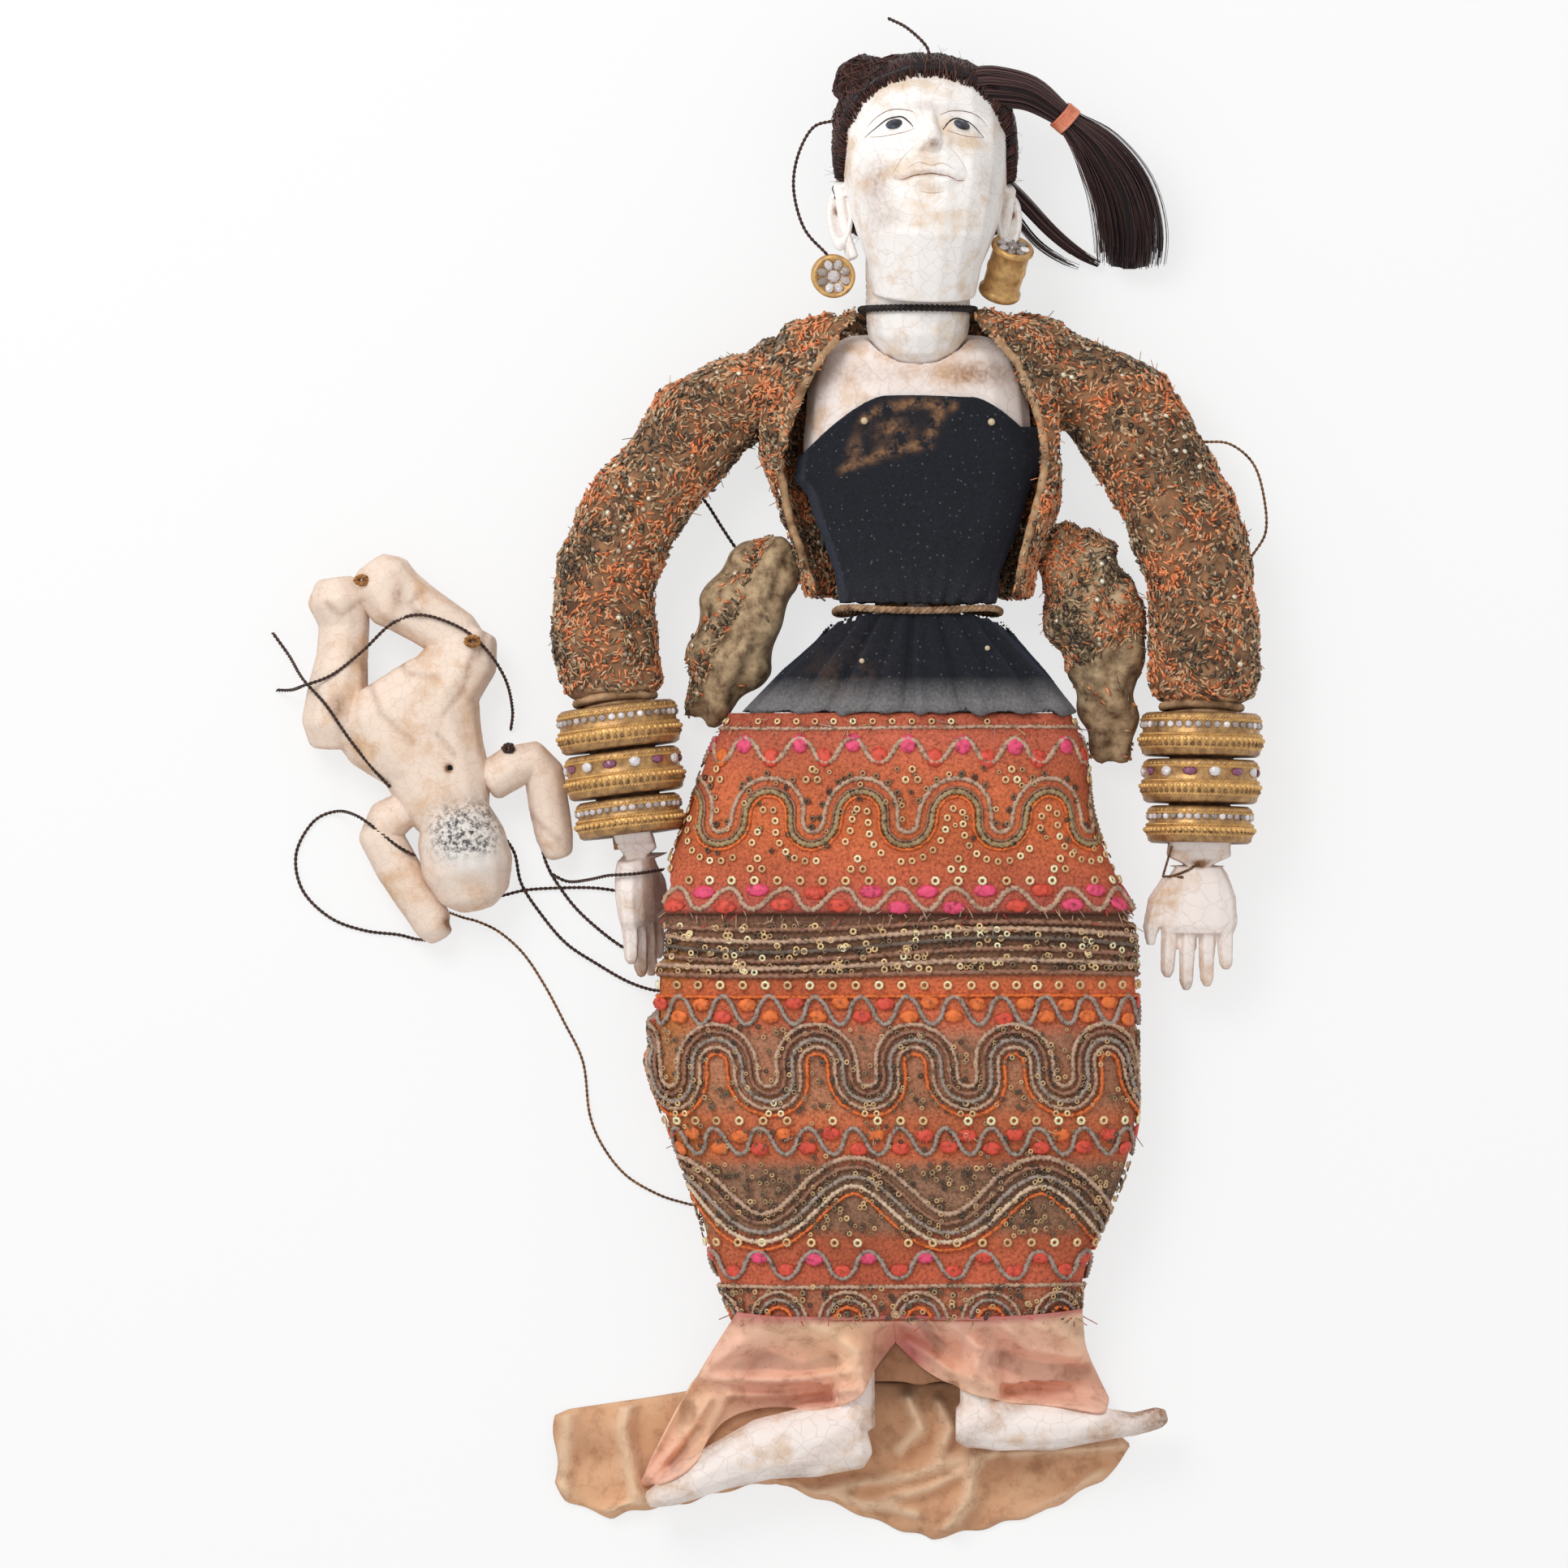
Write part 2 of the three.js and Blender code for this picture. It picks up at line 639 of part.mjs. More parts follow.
for (const [name, arm] of Object.entries(ARMS)) {
  const shoulder = at(...arm.shoulder);
  const elbow = at(...arm.elbow);
  const wrist = at(...arm.wrist);
  const upperLength = shoulder.distanceTo(elbow);
  const lowerLength = elbow.distanceTo(wrist);
  const upperGroup = limbGroup(arm.shoulder, arm.elbow);
  const lowerGroup = limbGroup(arm.elbow, arm.wrist);
  upperGroup.updateMatrixWorld(true);
  lowerGroup.updateMatrixWorld(true);
  const lowerAxis = at(1, 0, 0).transformDirection(lowerGroup.matrixWorld);
  const localAxis = lowerAxis.transformDirection(upperGroup.matrixWorld.clone().invert());
  const bend = Math.atan2(localAxis.y, localAxis.x);
  const pegStart = MIDLINE + arm.side * 33;
  const peg = rod(6, Math.abs(arm.shoulder[0] - pegStart), [
    (arm.shoulder[0] + pegStart) / 2,
    arm.shoulder[1],
    arm.shoulder[2],
  ]);
  const toUpper = upperGroup.matrixWorld.clone().invert();
  const armSolid = upperArm(upperLength, bend).add(solid(geometryOf(peg), toUpper));
  piece(`upper_arm_${name}`, armSolid, "carvedWood", upperGroup);
  piece(`forearm_${name}`, forearmBody(lowerLength), "carvedWood", lowerGroup);
  const handGroup = new THREE.Group();
  handGroup.position.set(0, -lowerLength, 0);
  lowerGroup.add(handGroup);
  handGroup.rotation.x = arm.hand.drop;
  piece(`hand_${name}`, hand(arm.side, arm.hand.roll), "gesso", handGroup);

  let down = lowerLength + 3 - BANGLE.heights.reduce((sum, h) => sum + h + BANGLE.gap, 0);
  BANGLE.heights.forEach((height, i) => {
    const ring = piece(
      `bangle_${name}_${i + 1}`,
      bangle(height, BANGLE.radii[i], BANGLE.bore),
      "gilt",
      lowerGroup,
    );
    ring.position.y = -(down + height / 2);
    down += height + BANGLE.gap;
  });

  const tube = laid(sleeve(arm, 0)).subtract(sleeve(arm, -SLEEVE.wall));
  const inward = arm.side > 0 ? [-200, SHOULDER_CUT] : [-SHOULDER_CUT, 200];
  const jacketSide = box(...inward, 120, 300, -50, 150);
  const cuffEnd = box(-300, 300, -100, wrist.y + 4, -50, 150);
  const whole = tube.subtract(jacketSide).subtract(cuffEnd);
  const elbowCut = (from, to) =>
    box(Math.min(0, arm.side * 300), Math.max(0, arm.side * 300), from, to, -50, 150);
  piece(`sleeve_upper_${name}`, whole.subtract(elbowCut(-100, elbow.y + 0.3)), "embroidery");
  piece(`sleeve_lower_${name}`, whole.subtract(elbowCut(elbow.y - 0.3, 300)), "embroidery");
}

// Legs: thighs on one hip pin, shins carved in one with their turned-out feet

function thigh() {
  const body = form(
    [
      [0, -20, 0, 9.5, 9.5],
      [0, -29, 0, 16, 15],
      [0, -KNEE_DROP * 0.5, 0, 15, 14.5],
      [0, -KNEE_DROP + 20, 0, 12.5, 12.5],
      [0, -KNEE_DROP, 0, 9, 9],
    ],
    { count: 10 },
  );
  return forked(tongued(body, LIMB.thigh, 24), KNEE_DROP, LIMB.shin, 24);
}

// Foot stations out from the leg: [out, below the ankle, up, half width, half height].
const FEET = {
  right: [
    [-6, 15, -7, 9, 8],
    [-2, 16, -7, 15, 12],
    [20, 18, -7, 17, 13],
    [44, 22, -7, 14.5, 13.5],
    [66, 31, -7, 11, 13],
    [86, 41, -8, 7.5, 12],
    [97, 46, -9, 4, 9],
  ],
  left: [
    [-11, 10, -7, 8, 8],
    [-7, 10, -7, 11, 11.5],
    [9, 10, -7, 12.5, 13],
    [35, 11, -7, 11.5, 14],
    [54, 10, -7, 8.5, 13],
    [73, 10, -8, 5.5, 10],
    [84, 7, -8, 5.2, 7],
    [88, 6, -8, 3, 4],
  ],
};

function shin(name, side) {
  const leg = form(
    [
      [0, -17, 0, 8, 8],
      [0, -23, 0, 11.5, 11.5],
      [0, -ANKLE_DROP * 0.45, -1, 12.5, 12],
      [0, -ANKLE_DROP * 0.85, -5, 9, 9],
      [0, -ANKLE_DROP - 12, -7, 9.5, 9],
    ],
    { count: 10 },
  );
  const foot = form(
    FEET[name].map(([out, drop, up, a, b]) => [side * out, -ANKLE_DROP - drop, up, a, b]),
    { power: 2.2, count: 12 },
  );
  return tongued(leg, LIMB.shin, 21).add(foot);
}

for (const [name, side] of [["right", -1], ["left", 1]]) {
  const hip = [MIDLINE + side * HIP.spread, HIP.y, HIP.z];
  const thighGroup = new THREE.Group();
  thighGroup.position.set(...hip);
  puppet.add(thighGroup);
  piece(`thigh_${name}`, thigh(), "carvedWood", thighGroup);
  const shinGroup = new THREE.Group();
  shinGroup.position.set(0, -KNEE_DROP, 0);
  thighGroup.add(shinGroup);
  piece(`shin_${name}`, shin(name, side), "gesso", shinGroup);
}

// Clothes: bodice, jacket, wrapped skirt and the plain train under the feet

const DOWN = at(0, -1, 0);
const SKIRT_FORM = { power: 2.5, count: 18 };
// A height between the skirt's seam and its hem, as a share of the way down.
const hang = (share) => SKIRT.seam + (HEM - SKIRT.seam) * share;
const SKIRT_STATIONS = [
  [-5, SKIRT.top, 32, 80, 30],
  [-6, 26, 32, 88, 34],
  [-7.5, 0, 32, 93.5, 35],
  [-9, -24, 31, 103, 34],
  [-11, SKIRT.seam, 30, 116, 33],
  [-10, hang(0.14), 29, 117, 32],
  [-7, hang(0.39), 28, 114, 31],
  [-2, hang(0.62), 26, 103, 29],
  [-3, hang(0.82), 24, 90, 27.5],
  [-1, HEM, 23, 81, 26],
];

// A cloth tube: the form less the same form drawn in by the wall, run past both ends.
function clothTube(stations, wall, options, level = 0) {
  const settings = { along: DOWN, ...options };
  const outer = form(stations, settings);
  const last = stations.length - 1;
  const through = stations.map(([x, y, ...rest], i) => {
    const past = i === 0 ? 5 : i === last ? -5 : 0;
    return [x, y + past, ...rest];
  });
  const inner = form(through, { ...settings, grow: -wall });
  return laid(outer, level).subtract(level === 0 ? laid(inner, wall) : inner);
}

const skirtShell = clothTube(SKIRT_STATIONS, SKIRT.wall, SKIRT_FORM);
// The hand at the side lies in a hollow of the skirt.
const restingHand = puppet.getObjectByName("hand_right");
restingHand.updateWorldMatrix(true, false);
const hollow = form(
  [
    [0, -4, 0, 16, 14],
    [0, -20, 0, 14, 24],
    [0, -44, 0, 14, 26],
    [0, -80, 0, 11, 20],
  ],
  { count: 12 },
);
const turnedHollow = solid(
  geometryOf(hollow),
  restingHand.matrixWorld.clone().multiply(new THREE.Matrix4().makeRotationY(Math.PI / 2 + ARMS.right.hand.roll)),
);
const seamBand = (from, to) => box(-300, 300, from, to, -50, 150);
const wrapped = skirtShell.subtract(turnedHollow);
piece("skirt_upper", wrapped.subtract(seamBand(-400, SKIRT.seam)), "skirtCloth");
piece("skirt_lower", wrapped.subtract(seamBand(SKIRT.seam - 0.5, 400)), "skirtCloth");

const BODICE = { power: 2.4, count: 14, wall: 2 };
const BODICE_STATIONS = [
  [MIDLINE, 194, 34, 56, 31],
  [MIDLINE, 168, 34, 58, 32],
  [MIDLINE, 135, 34, 48, 30],
  [MIDLINE, 112, 34, 39, 26],
  [MIDLINE, 97, 34, 37, 25],
];
const PEPLUM_STATIONS = [
  [MIDLINE, 93, 34, 37, 25],
  [MIDLINE, 80, 33, 48, 28],
  [MIDLINE - 2, 64, 33, 64, 31],
  [MIDLINE - 4, SKIRT.top + CLEARANCE, 33, 79, 32],
];
const TIE_STATIONS = [
  [MIDLINE, 96.6, 34, 39.5, 27.5],
  [MIDLINE, 93.4, 34, 39.5, 27.5],
];
const bodice = clothTube(BODICE_STATIONS, BODICE.wall, BODICE, 2);
const neckline = form(
  [
    [MIDLINE, 226, 93, 80, 16],
    [MIDLINE, 160, 93, 80, 16],
  ],
  { power: 2, count: 14, along: DOWN },
);
const loweredBack = solid(
  new THREE.BoxGeometry(200, 60, 80),
  new THREE.Matrix4().makeTranslation(MIDLINE, 209, -6).multiply(new THREE.Matrix4().makeRotationX(0.25)),
);
piece("bodice", bodice.subtract(neckline).subtract(loweredBack), "blackCloth");
piece("bodice_peplum", clothTube(PEPLUM_STATIONS, BODICE.wall, BODICE, 2), "blackCloth");
piece("waist_tie", clothTube(TIE_STATIONS, 2.2, BODICE, 3), "tie");

// The open front of the jacket, from the collar down to the waist.
function jacketFront() {
  const outline = new THREE.Shape(
    [
      [-24, 262],
      [-24, 230],
      [-44, 206],
      [-58, 176],
      [-62, 150],
      [-50, 120],
      [-40, 88],
      [46, 88],
      [52, 120],
      [60, 150],
      [62, 172],
      [52, 204],
      [32, 230],
      [32, 262],
    ].map(([x, y]) => new THREE.Vector2(x, y)),
  );
  return solid(
    new THREE.ExtrudeGeometry(outline, { depth: 90, bevelEnabled: false }),
    new THREE.Matrix4().makeTranslation(0, 0, 22),
  );
}

const JACKET_STATIONS = [
  [MIDLINE, 236, 34, 40, 22],
  [MIDLINE, 226, 34, 62, 29],
  [MIDLINE, 206, 34, 76, 34],
  [MIDLINE, 182, 34, 78, 37],
  [MIDLINE, 150, 34, 68, 37],
  [MIDLINE, 122, 34, 58, 36],
  [MIDLINE, 101, 34, 53, 35],
];
const JACKET = { power: 2.5, count: 14, wall: 4 };
const jacketTube = clothTube(JACKET_STATIONS, JACKET.wall, JACKET, 0.4);
const besideSleeves = box(0.5 - SHOULDER_CUT, SHOULDER_CUT - 0.5, 50, 300, -50, 150);
const collar = cordSeat + NECK.cordRadius + 2.5 * CLEARANCE;
const neckRoom = form(
  [
    [MIDLINE, 200, NECK.z, collar, collar],
    [MIDLINE, 280, NECK.z, collar, collar],
  ],
  { count: 16 },
);
const armholes = Object.values(ARMS).map(({ side, shoulder }) =>
  rod(ARMHOLE_RADIUS, 60, [side * SHOULDER_CUT, shoulder[1], shoulder[2]]),
);
piece(
  "jacket_body",
  armholes.reduce(
    (made, hole) => made.subtract(hole),
    jacketTube.intersect(besideSleeves).subtract(jacketFront()).subtract(neckRoom),
  ),
  "embroidery",
);

// The jacket's flared tails, heaped beside the hips in their main folds.
function jacketTail(stations) {
  const gap = 0.5;
  const worn = [
    form(PEPLUM_STATIONS, { ...BODICE, along: DOWN, grow: gap }),
    form(SKIRT_STATIONS, { ...SKIRT_FORM, along: DOWN, grow: gap }),
    form(JACKET_STATIONS, { ...JACKET, along: DOWN, grow: gap }),
    form(BODICE_STATIONS, { ...BODICE, along: DOWN, grow: gap }),
  ];
  return worn.reduce(
    (made, piece) => made.subtract(piece),
    laid(form(stations, { power: 2.2, count: 14 }), 0.4),
  );
}
piece(
  "jacket_tail_right",
  jacketTail([
    [-58, 127, 19, 9, 13],
    [-67, 112, 20, 18, 19],
    [-78, 92, 20, 21, 20],
    [-84, 72, 18, 20, 18],
    [-92, 54, 14, 13, 12],
    [-97, 44, 8, 6, 6],
  ]),
  "plainCloth",
);
piece(
  "jacket_tail_left",
  jacketTail([
    [70, 130, 18, 10, 14],
    [79, 116, 20, 19, 19],
    [87, 94, 21, 22, 20],
    [92, 68, 18, 18, 17],
    [94, 44, 13, 12, 12],
    [97, 24, 8, 7, 7],
  ]),
  "embroidery",
);

// The underskirt's band below the embroidered hem, and the train that lies under the feet.
const UNDERSKIRT_STATIONS = [
  [-1, HEM - CLEARANCE, 23, 80, 25],
  [-2, HEM - 16, 22, 80, 25],
  [-3, HEM - 31, 22, 77, 25],
];
piece("underskirt", clothTube(UNDERSKIRT_STATIONS, 2.5, SKIRT_FORM), "plainCloth");

function train() {
  const outline = new THREE.Shape(
    [
      [-78, 33.5],
      [-160, 44],
      [-166, 80],
      [-140, 93],
      [-110, 87],
      [-62, 78],
      [-30, 90],
      [10, 105],
      [32, 98],
      [62, 94],
      [92, 74],
      [104, 60],
      [70, 33.5],
    ].map(([x, below]) => new THREE.Vector2(x, HEM - below)),
  );
  return solid(
    new THREE.ExtrudeGeometry(outline, {
      depth: 4,
      bevelThickness: 1,
      bevelSize: 2,
      bevelSegments: 1,
    }),
    new THREE.Matrix4().makeTranslation(0, 0, 1),
  );
}
piece("train", train(), "plainCloth");

// The child, carved in one piece

const child = new THREE.Group();
child.position.x = -8;
puppet.add(child);

function childFigure() {
  const limbs = { count: 9 };
  const torso = form(
    [
      [-206, -4, 17, 16, 13],
      [-210, 10, 17, 21, 15],
      [-215, 24, 17, 24, 16],
      [-224, 40, 18, 33, 17],
      [-231, 52, 18, 34, 17],
      [-236, 60, 16, 26, 14],
    ],
    { power: 2.2, count: 12 },
  );
  const skull = form(
    [
      [-205, 4, 22, 7, 7],
      [-204, 0, 21, 14, 13],
      [-202, -12, 20, 19, 17.5],
      [-199, -26, 20, 20, 18],
      [-196, -38, 18, 15, 14.5],
      [-195, -44, 17, 8, 8],
    ],
    { count: 14 },
  );
  const armLeft = form(
    [
      [-189, 14, 17, 8, 8],
      [-178, 21, 17, 9, 8.5],
      [-168, 24, 16, 8, 8],
      [-163, 18, 15, 8, 8],
      [-161, 4, 13, 8, 8],
      [-158, -12, 12, 7.5, 8],
      [-156, -20, 11, 5, 5],
    ],
    limbs,
  );
  const armRight = form(
    [
      [-227, 2, 16, 7, 7],
      [-236, -4, 15, 9, 8.5],
      [-240, -11, 14, 9, 8.5],
      [-232, -26, 13, 9, 8.5],
      [-222, -42, 12, 8, 8],
      [-215, -53, 11, 8, 8],
      [-212, -58, 10, 5, 5],
    ],
    limbs,
  );
  const legNear = form(
    [
      [-262, 32, 14, 10, 10],
      [-262, 42, 16, 14, 14],
      [-260, 56, 17, 13, 14],
      [-258, 72, 17, 10.5, 11],
      [-257, 88, 17, 10.5, 11],
      [-260, 100, 18, 13, 15],
      [-261, 108, 18, 8, 10],
    ],
    limbs,
  );
  const thighFar = form(
    [
      [-222, 44, 18, 16, 14],
      [-210, 60, 19, 17, 15],
      [-200, 74, 19, 15, 14],
      [-196, 84, 18, 10, 11],
    ],
    limbs,
  );
  const shinFar = form(
    [
      [-197, 76, 19, 8, 9],
      [-204, 82, 19, 11, 11],
      [-220, 92, 19, 12, 11],
      [-233, 100, 19, 14, 13],
      [-240, 109, 19, 14, 14],
      [-244, 115, 19, 7, 8],
    ],
    limbs,
  );
  return laid(join([torso, skull, armLeft, armRight, legNear, thighFar, shinFar]));
}
piece("child", childFigure(), "childWood", child);

// Strings: each is one cord with its real length, lying as it was put down

function cord(name, points, material, place = (made) => made, group = puppet) {
  const curve = new THREE.CatmullRomCurve3(points.map((p) => at(...p)));
  const steps = Math.min(80, Math.round(curve.getLength() / (CORD * 3)));
  const outline = new THREE.Shape(
    Array.from({ length: 8 }, (_, i) => {
      const turn = (i / 8) * 2 * Math.PI;
      return new THREE.Vector2(Math.cos(turn), Math.sin(turn)).multiplyScalar(CORD / 2);
    }),
  );
  const tube = new THREE.ExtrudeGeometry(outline, { steps, extrudePath: curve, bevelEnabled: false });
  piece(name, place(solid(tube)), material, group);
}

const LYING = CORD / 2 + 0.4; // height of a cord's middle on the surface
const ROUTES = {
  string_loop: [
    [-227, -60.5, 9], [-232, -60, 3], [-240, -58, LYING], [-256, -56, LYING], [-272, -50, LYING],
    [-285, -37, LYING], [-288, -20, LYING], [-280, -5, LYING], [-269, 0, 3], [-259, -2, 20],
    [-250, -8, 23.3], [-240, -16, 22.8], [-231, -21, 20],
  ],
  string_belly: [
    [-299, 84, LYING], [-291, 73, 8], [-284, 62, 24], [-273, 50, 32.2], [-262, 34, 31.6],
    [-251, 20, 28], [-242.6, 11, 25],
  ],
  string_legs: [
    [-297, 57, LYING], [-290, 57, 11], [-283, 59, 29.6], [-270, 64, 31.8], [-256, 75, 28.4],
    [-242, 88, 29.4], [-228, 92, 33], [-210, 86, 32.8], [-198, 76, 31.2], [-189, 62, 25],
    [-186, 48, 10], [-187, 38, LYING],
  ],
  string_strand_1: [
    [-208, -39, 4.3], [-194, -40, LYING], [-180, -37, LYING], [-164, -36, LYING],
    [-148, -36, LYING], [-134, -38, 3.6], [-125.6, -40.6, 9.2],
  ],
  string_strand_2: [
    [-190.4, -11, 12], [-185, -20, 6], [-182, -34, 3.4], [-173, -48, 3.2], [-161, -62, 3],
    [-146, -72, 2.4], [-132, -80, 2.4], [-120, -84, 6], [-112, -84, 12.2],
  ],
  string_strand_3: [
    [-173.6, -11, 6.4], [-170, -25, 4.2], [-163, -37, 3.2], [-154, -48, 2.4], [-140, -60, 2],
    [-130, -66, 4], [-121, -68, 9.6],
  ],
  string_by_hand: [
    [-168.4, -29, 6], [-160, -33, 8], [-150, -32, 26], [-141, -30, 39], [-134, -29.5, 43],
    [-128, -29, 42.4], [-121, -28, 35.6], [-114.5, -27, 28],
  ],
  string_by_arm: [
    [-101.3, 151.8, 10], [-95, 145, 7], [-88, 134, 5], [-82, 125, 4], [-77, 118.5, 4.4],
  ],
  string_by_sleeve: [
    [137.3, 173, 34], [150, 172, 33], [161, 163, 31], [166, 148, 30], [167, 131, 30],
    [160.2, 119, 30],
  ],
};
for (const [name, points] of Object.entries(ROUTES)) cord(name, points, "string");
cord(
  "string_tether",
  [
    [-215.4, -47.6, 9], [-209, -50, 3], [-202, -52, LYING], [-192, -57, LYING],
    [-181, -67, LYING], [-171, -82, LYING], [-162, -99, LYING], [-153, -118, LYING],
    [-150, -142, LYING], [-144, -157, LYING], [-133, -171, LYING], [-118, -180, LYING],
    [-106, -184, LYING], [-97, -186, 3], [-90.6, -187.6, 9],
  ],
  "paleString",
);
cord(
  "string_temple",
  [[-35, 322.5, 49.5], [-45, 319, 52], [-52, 306, 52], [-54, 290, 50], [-49, 272, 48], [-38, 259.6, 47.6]],
  "string",
  inHead,
  headGroup,
);
cord("string_crown", [[9, 349, 60.2], [8, 356, 62], [-1, 365, 58], [-10, 370, 52]], "string", inHead, headGroup);

export default puppet;
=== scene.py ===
import math

import bmesh
import bpy
import numpy as np
from mathutils import Matrix, Vector
from mathutils.bvhtree import BVHTree


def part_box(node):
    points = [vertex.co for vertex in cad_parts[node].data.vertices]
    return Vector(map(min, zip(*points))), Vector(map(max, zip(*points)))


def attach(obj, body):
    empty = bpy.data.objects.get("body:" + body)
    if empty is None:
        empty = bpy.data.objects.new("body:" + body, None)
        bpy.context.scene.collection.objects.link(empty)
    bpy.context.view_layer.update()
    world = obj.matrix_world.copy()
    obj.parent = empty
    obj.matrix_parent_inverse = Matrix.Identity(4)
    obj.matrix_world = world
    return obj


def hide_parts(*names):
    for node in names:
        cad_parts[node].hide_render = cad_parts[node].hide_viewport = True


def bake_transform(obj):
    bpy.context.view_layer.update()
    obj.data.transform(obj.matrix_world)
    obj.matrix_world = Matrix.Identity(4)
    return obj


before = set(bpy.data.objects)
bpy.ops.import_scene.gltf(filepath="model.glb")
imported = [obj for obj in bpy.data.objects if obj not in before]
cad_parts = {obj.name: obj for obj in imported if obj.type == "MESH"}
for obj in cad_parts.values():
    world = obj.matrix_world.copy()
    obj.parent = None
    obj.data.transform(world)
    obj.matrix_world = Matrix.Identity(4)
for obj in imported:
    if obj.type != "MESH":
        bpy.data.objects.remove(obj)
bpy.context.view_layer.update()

# The view
# The puppet lies on its back on a pale surface and is seen from straight above through a long
# lens, with the head at the top of the picture.
MM = 0.001
PICTURE = {"width": 734 * MM, "centre": (-58.5 * MM, 12.9 * MM), "height": 6.0}

lens = bpy.data.cameras.new("view")
lens.sensor_width = 36
lens.lens = lens.sensor_width * (PICTURE["height"] - 30 * MM) / PICTURE["width"]
lens.clip_end = 20
view = bpy.data.objects.new("view", lens)
view.location = (*PICTURE["centre"], PICTURE["height"])
bpy.context.scene.collection.objects.link(view)
bpy.context.scene.camera = view
bpy.context.scene.view_settings.view_transform = "Standard"


# The surface and the light
# A matt white board under a wide, even sky and one soft lamp above the head, so that the colours
# come out about as they are written and the folds still show.
def linear(colour):
    """An sRGB hex colour as the linear RGBA that the shaders take."""
    shares = [int(colour[i:i + 2], 16) / 255 for i in (1, 3, 5)]
    return (*[s / 12.92 if s <= 0.04045 else ((s + 0.055) / 1.055) ** 2.4 for s in shares], 1.0)


def node(tree, kind, inputs=None, stops=None, **settings):
    """Add a node with its settings, ramp stops (place, hex colour) and linked or plain inputs."""
    made = tree.nodes.new("ShaderNode" + kind)
    for key, value in settings.items():
        setattr(made, key, value)
    if stops:
        made.color_ramp.elements.remove(made.color_ramp.elements[-1])
    for i, (place, colour) in enumerate(stops or ()):
        elements = made.color_ramp.elements
        stop = elements[0] if i == 0 else elements.new(place)
        stop.position = place
        stop.color = linear(colour)
    for key, value in (inputs or {}).items():
        if isinstance(value, bpy.types.NodeSocket):
            tree.links.new(value, made.inputs[key])
        else:
            made.inputs[key].default_value = value
    return made


def finish(name, **sockets):
    """A new material: its principled shader takes the sockets named here, and is returned too."""
    made = bpy.data.materials.new(name)
    made.use_nodes = True
    shader = made.node_tree.nodes["Principled BSDF"]
    for key, value in sockets.items():
        shader.inputs[key.replace("_", " ")].default_value = value
    return made, made.node_tree, shader


sky = bpy.data.worlds.new("sky")
sky.use_nodes = True
sky.node_tree.nodes["Background"].inputs["Color"].default_value = linear("#FFFFFF")
sky.node_tree.nodes["Background"].inputs["Strength"].default_value = 0.66
bpy.context.scene.world = sky

lamp = bpy.data.lights.new("lamp", "AREA")
lamp.size = 0.9
lamp.energy = 15
lamp_place = bpy.data.objects.new("lamp", lamp)
lamp_at = Vector((-0.75, 0.95, 1.45))
lamp_place.matrix_world = Matrix.LocRotScale(lamp_at, (-lamp_at).to_track_quat("-Z", "Y"), None)
bpy.context.scene.collection.objects.link(lamp_place)

board_shape = bmesh.new()
bmesh.ops.create_grid(board_shape, x_segments=1, y_segments=1, size=6)
board_mesh = bpy.data.meshes.new("board")
board_shape.to_mesh(board_mesh)
board = bpy.data.objects.new("board", board_mesh)
bpy.context.scene.collection.objects.link(board)
board_white, tree, shader = finish("white_board", Roughness=1.0)
shader.inputs["Base Color"].default_value = linear("#F4F4F4")
rays = node(tree, "LightPath")
seen = node(tree, "Math", {0: rays.outputs["Is Camera Ray"], 1: rays.outputs["Is Glossy Ray"]}, operation="MAXIMUM")
glow = node(tree, "Emission", {"Color": linear("#FFFFFF"), "Strength": 1.0})
share = node(tree, "Math", {0: seen.outputs[0], 1: 0.72}, operation="MULTIPLY")
both = node(tree, "MixShader", {0: share.outputs[0], 1: shader.outputs[0], 2: glow.outputs[0]})
tree.links.new(both.outputs[0], tree.nodes["Material Output"].inputs["Surface"])
board_mesh.materials.append(board_white)


# The strings
# Waxed cotton cord, two plies twisted together, that ties the child to the puppet and hangs from
# its arms. Each lies as it was put down; the routes are the same as the solids' own.
def rounded(points, steps=6):
    """A smooth line through the points, with so many steps along each stretch."""
    p = np.asarray(points, float)
    p = np.vstack([2 * p[0] - p[1], p, 2 * p[-1] - p[-2]])
    t = (np.arange(steps) / steps)[:, None]
    parts = []
    for a, b, c, d in zip(p[:-3], p[1:-2], p[2:-1], p[3:]):
        parts.append(0.5 * (2 * b + (c - a) * t + (2 * a - 5 * b + 4 * c - d) * t**2
                            + (3 * b - a - 3 * c + d) * t**3))
    return np.vstack([*parts, p[-2][None]])


def run(points):
    """How far each point lies along its line."""
    return np.concatenate([[0], np.cumsum(np.linalg.norm(np.diff(points, axis=0), axis=1))])


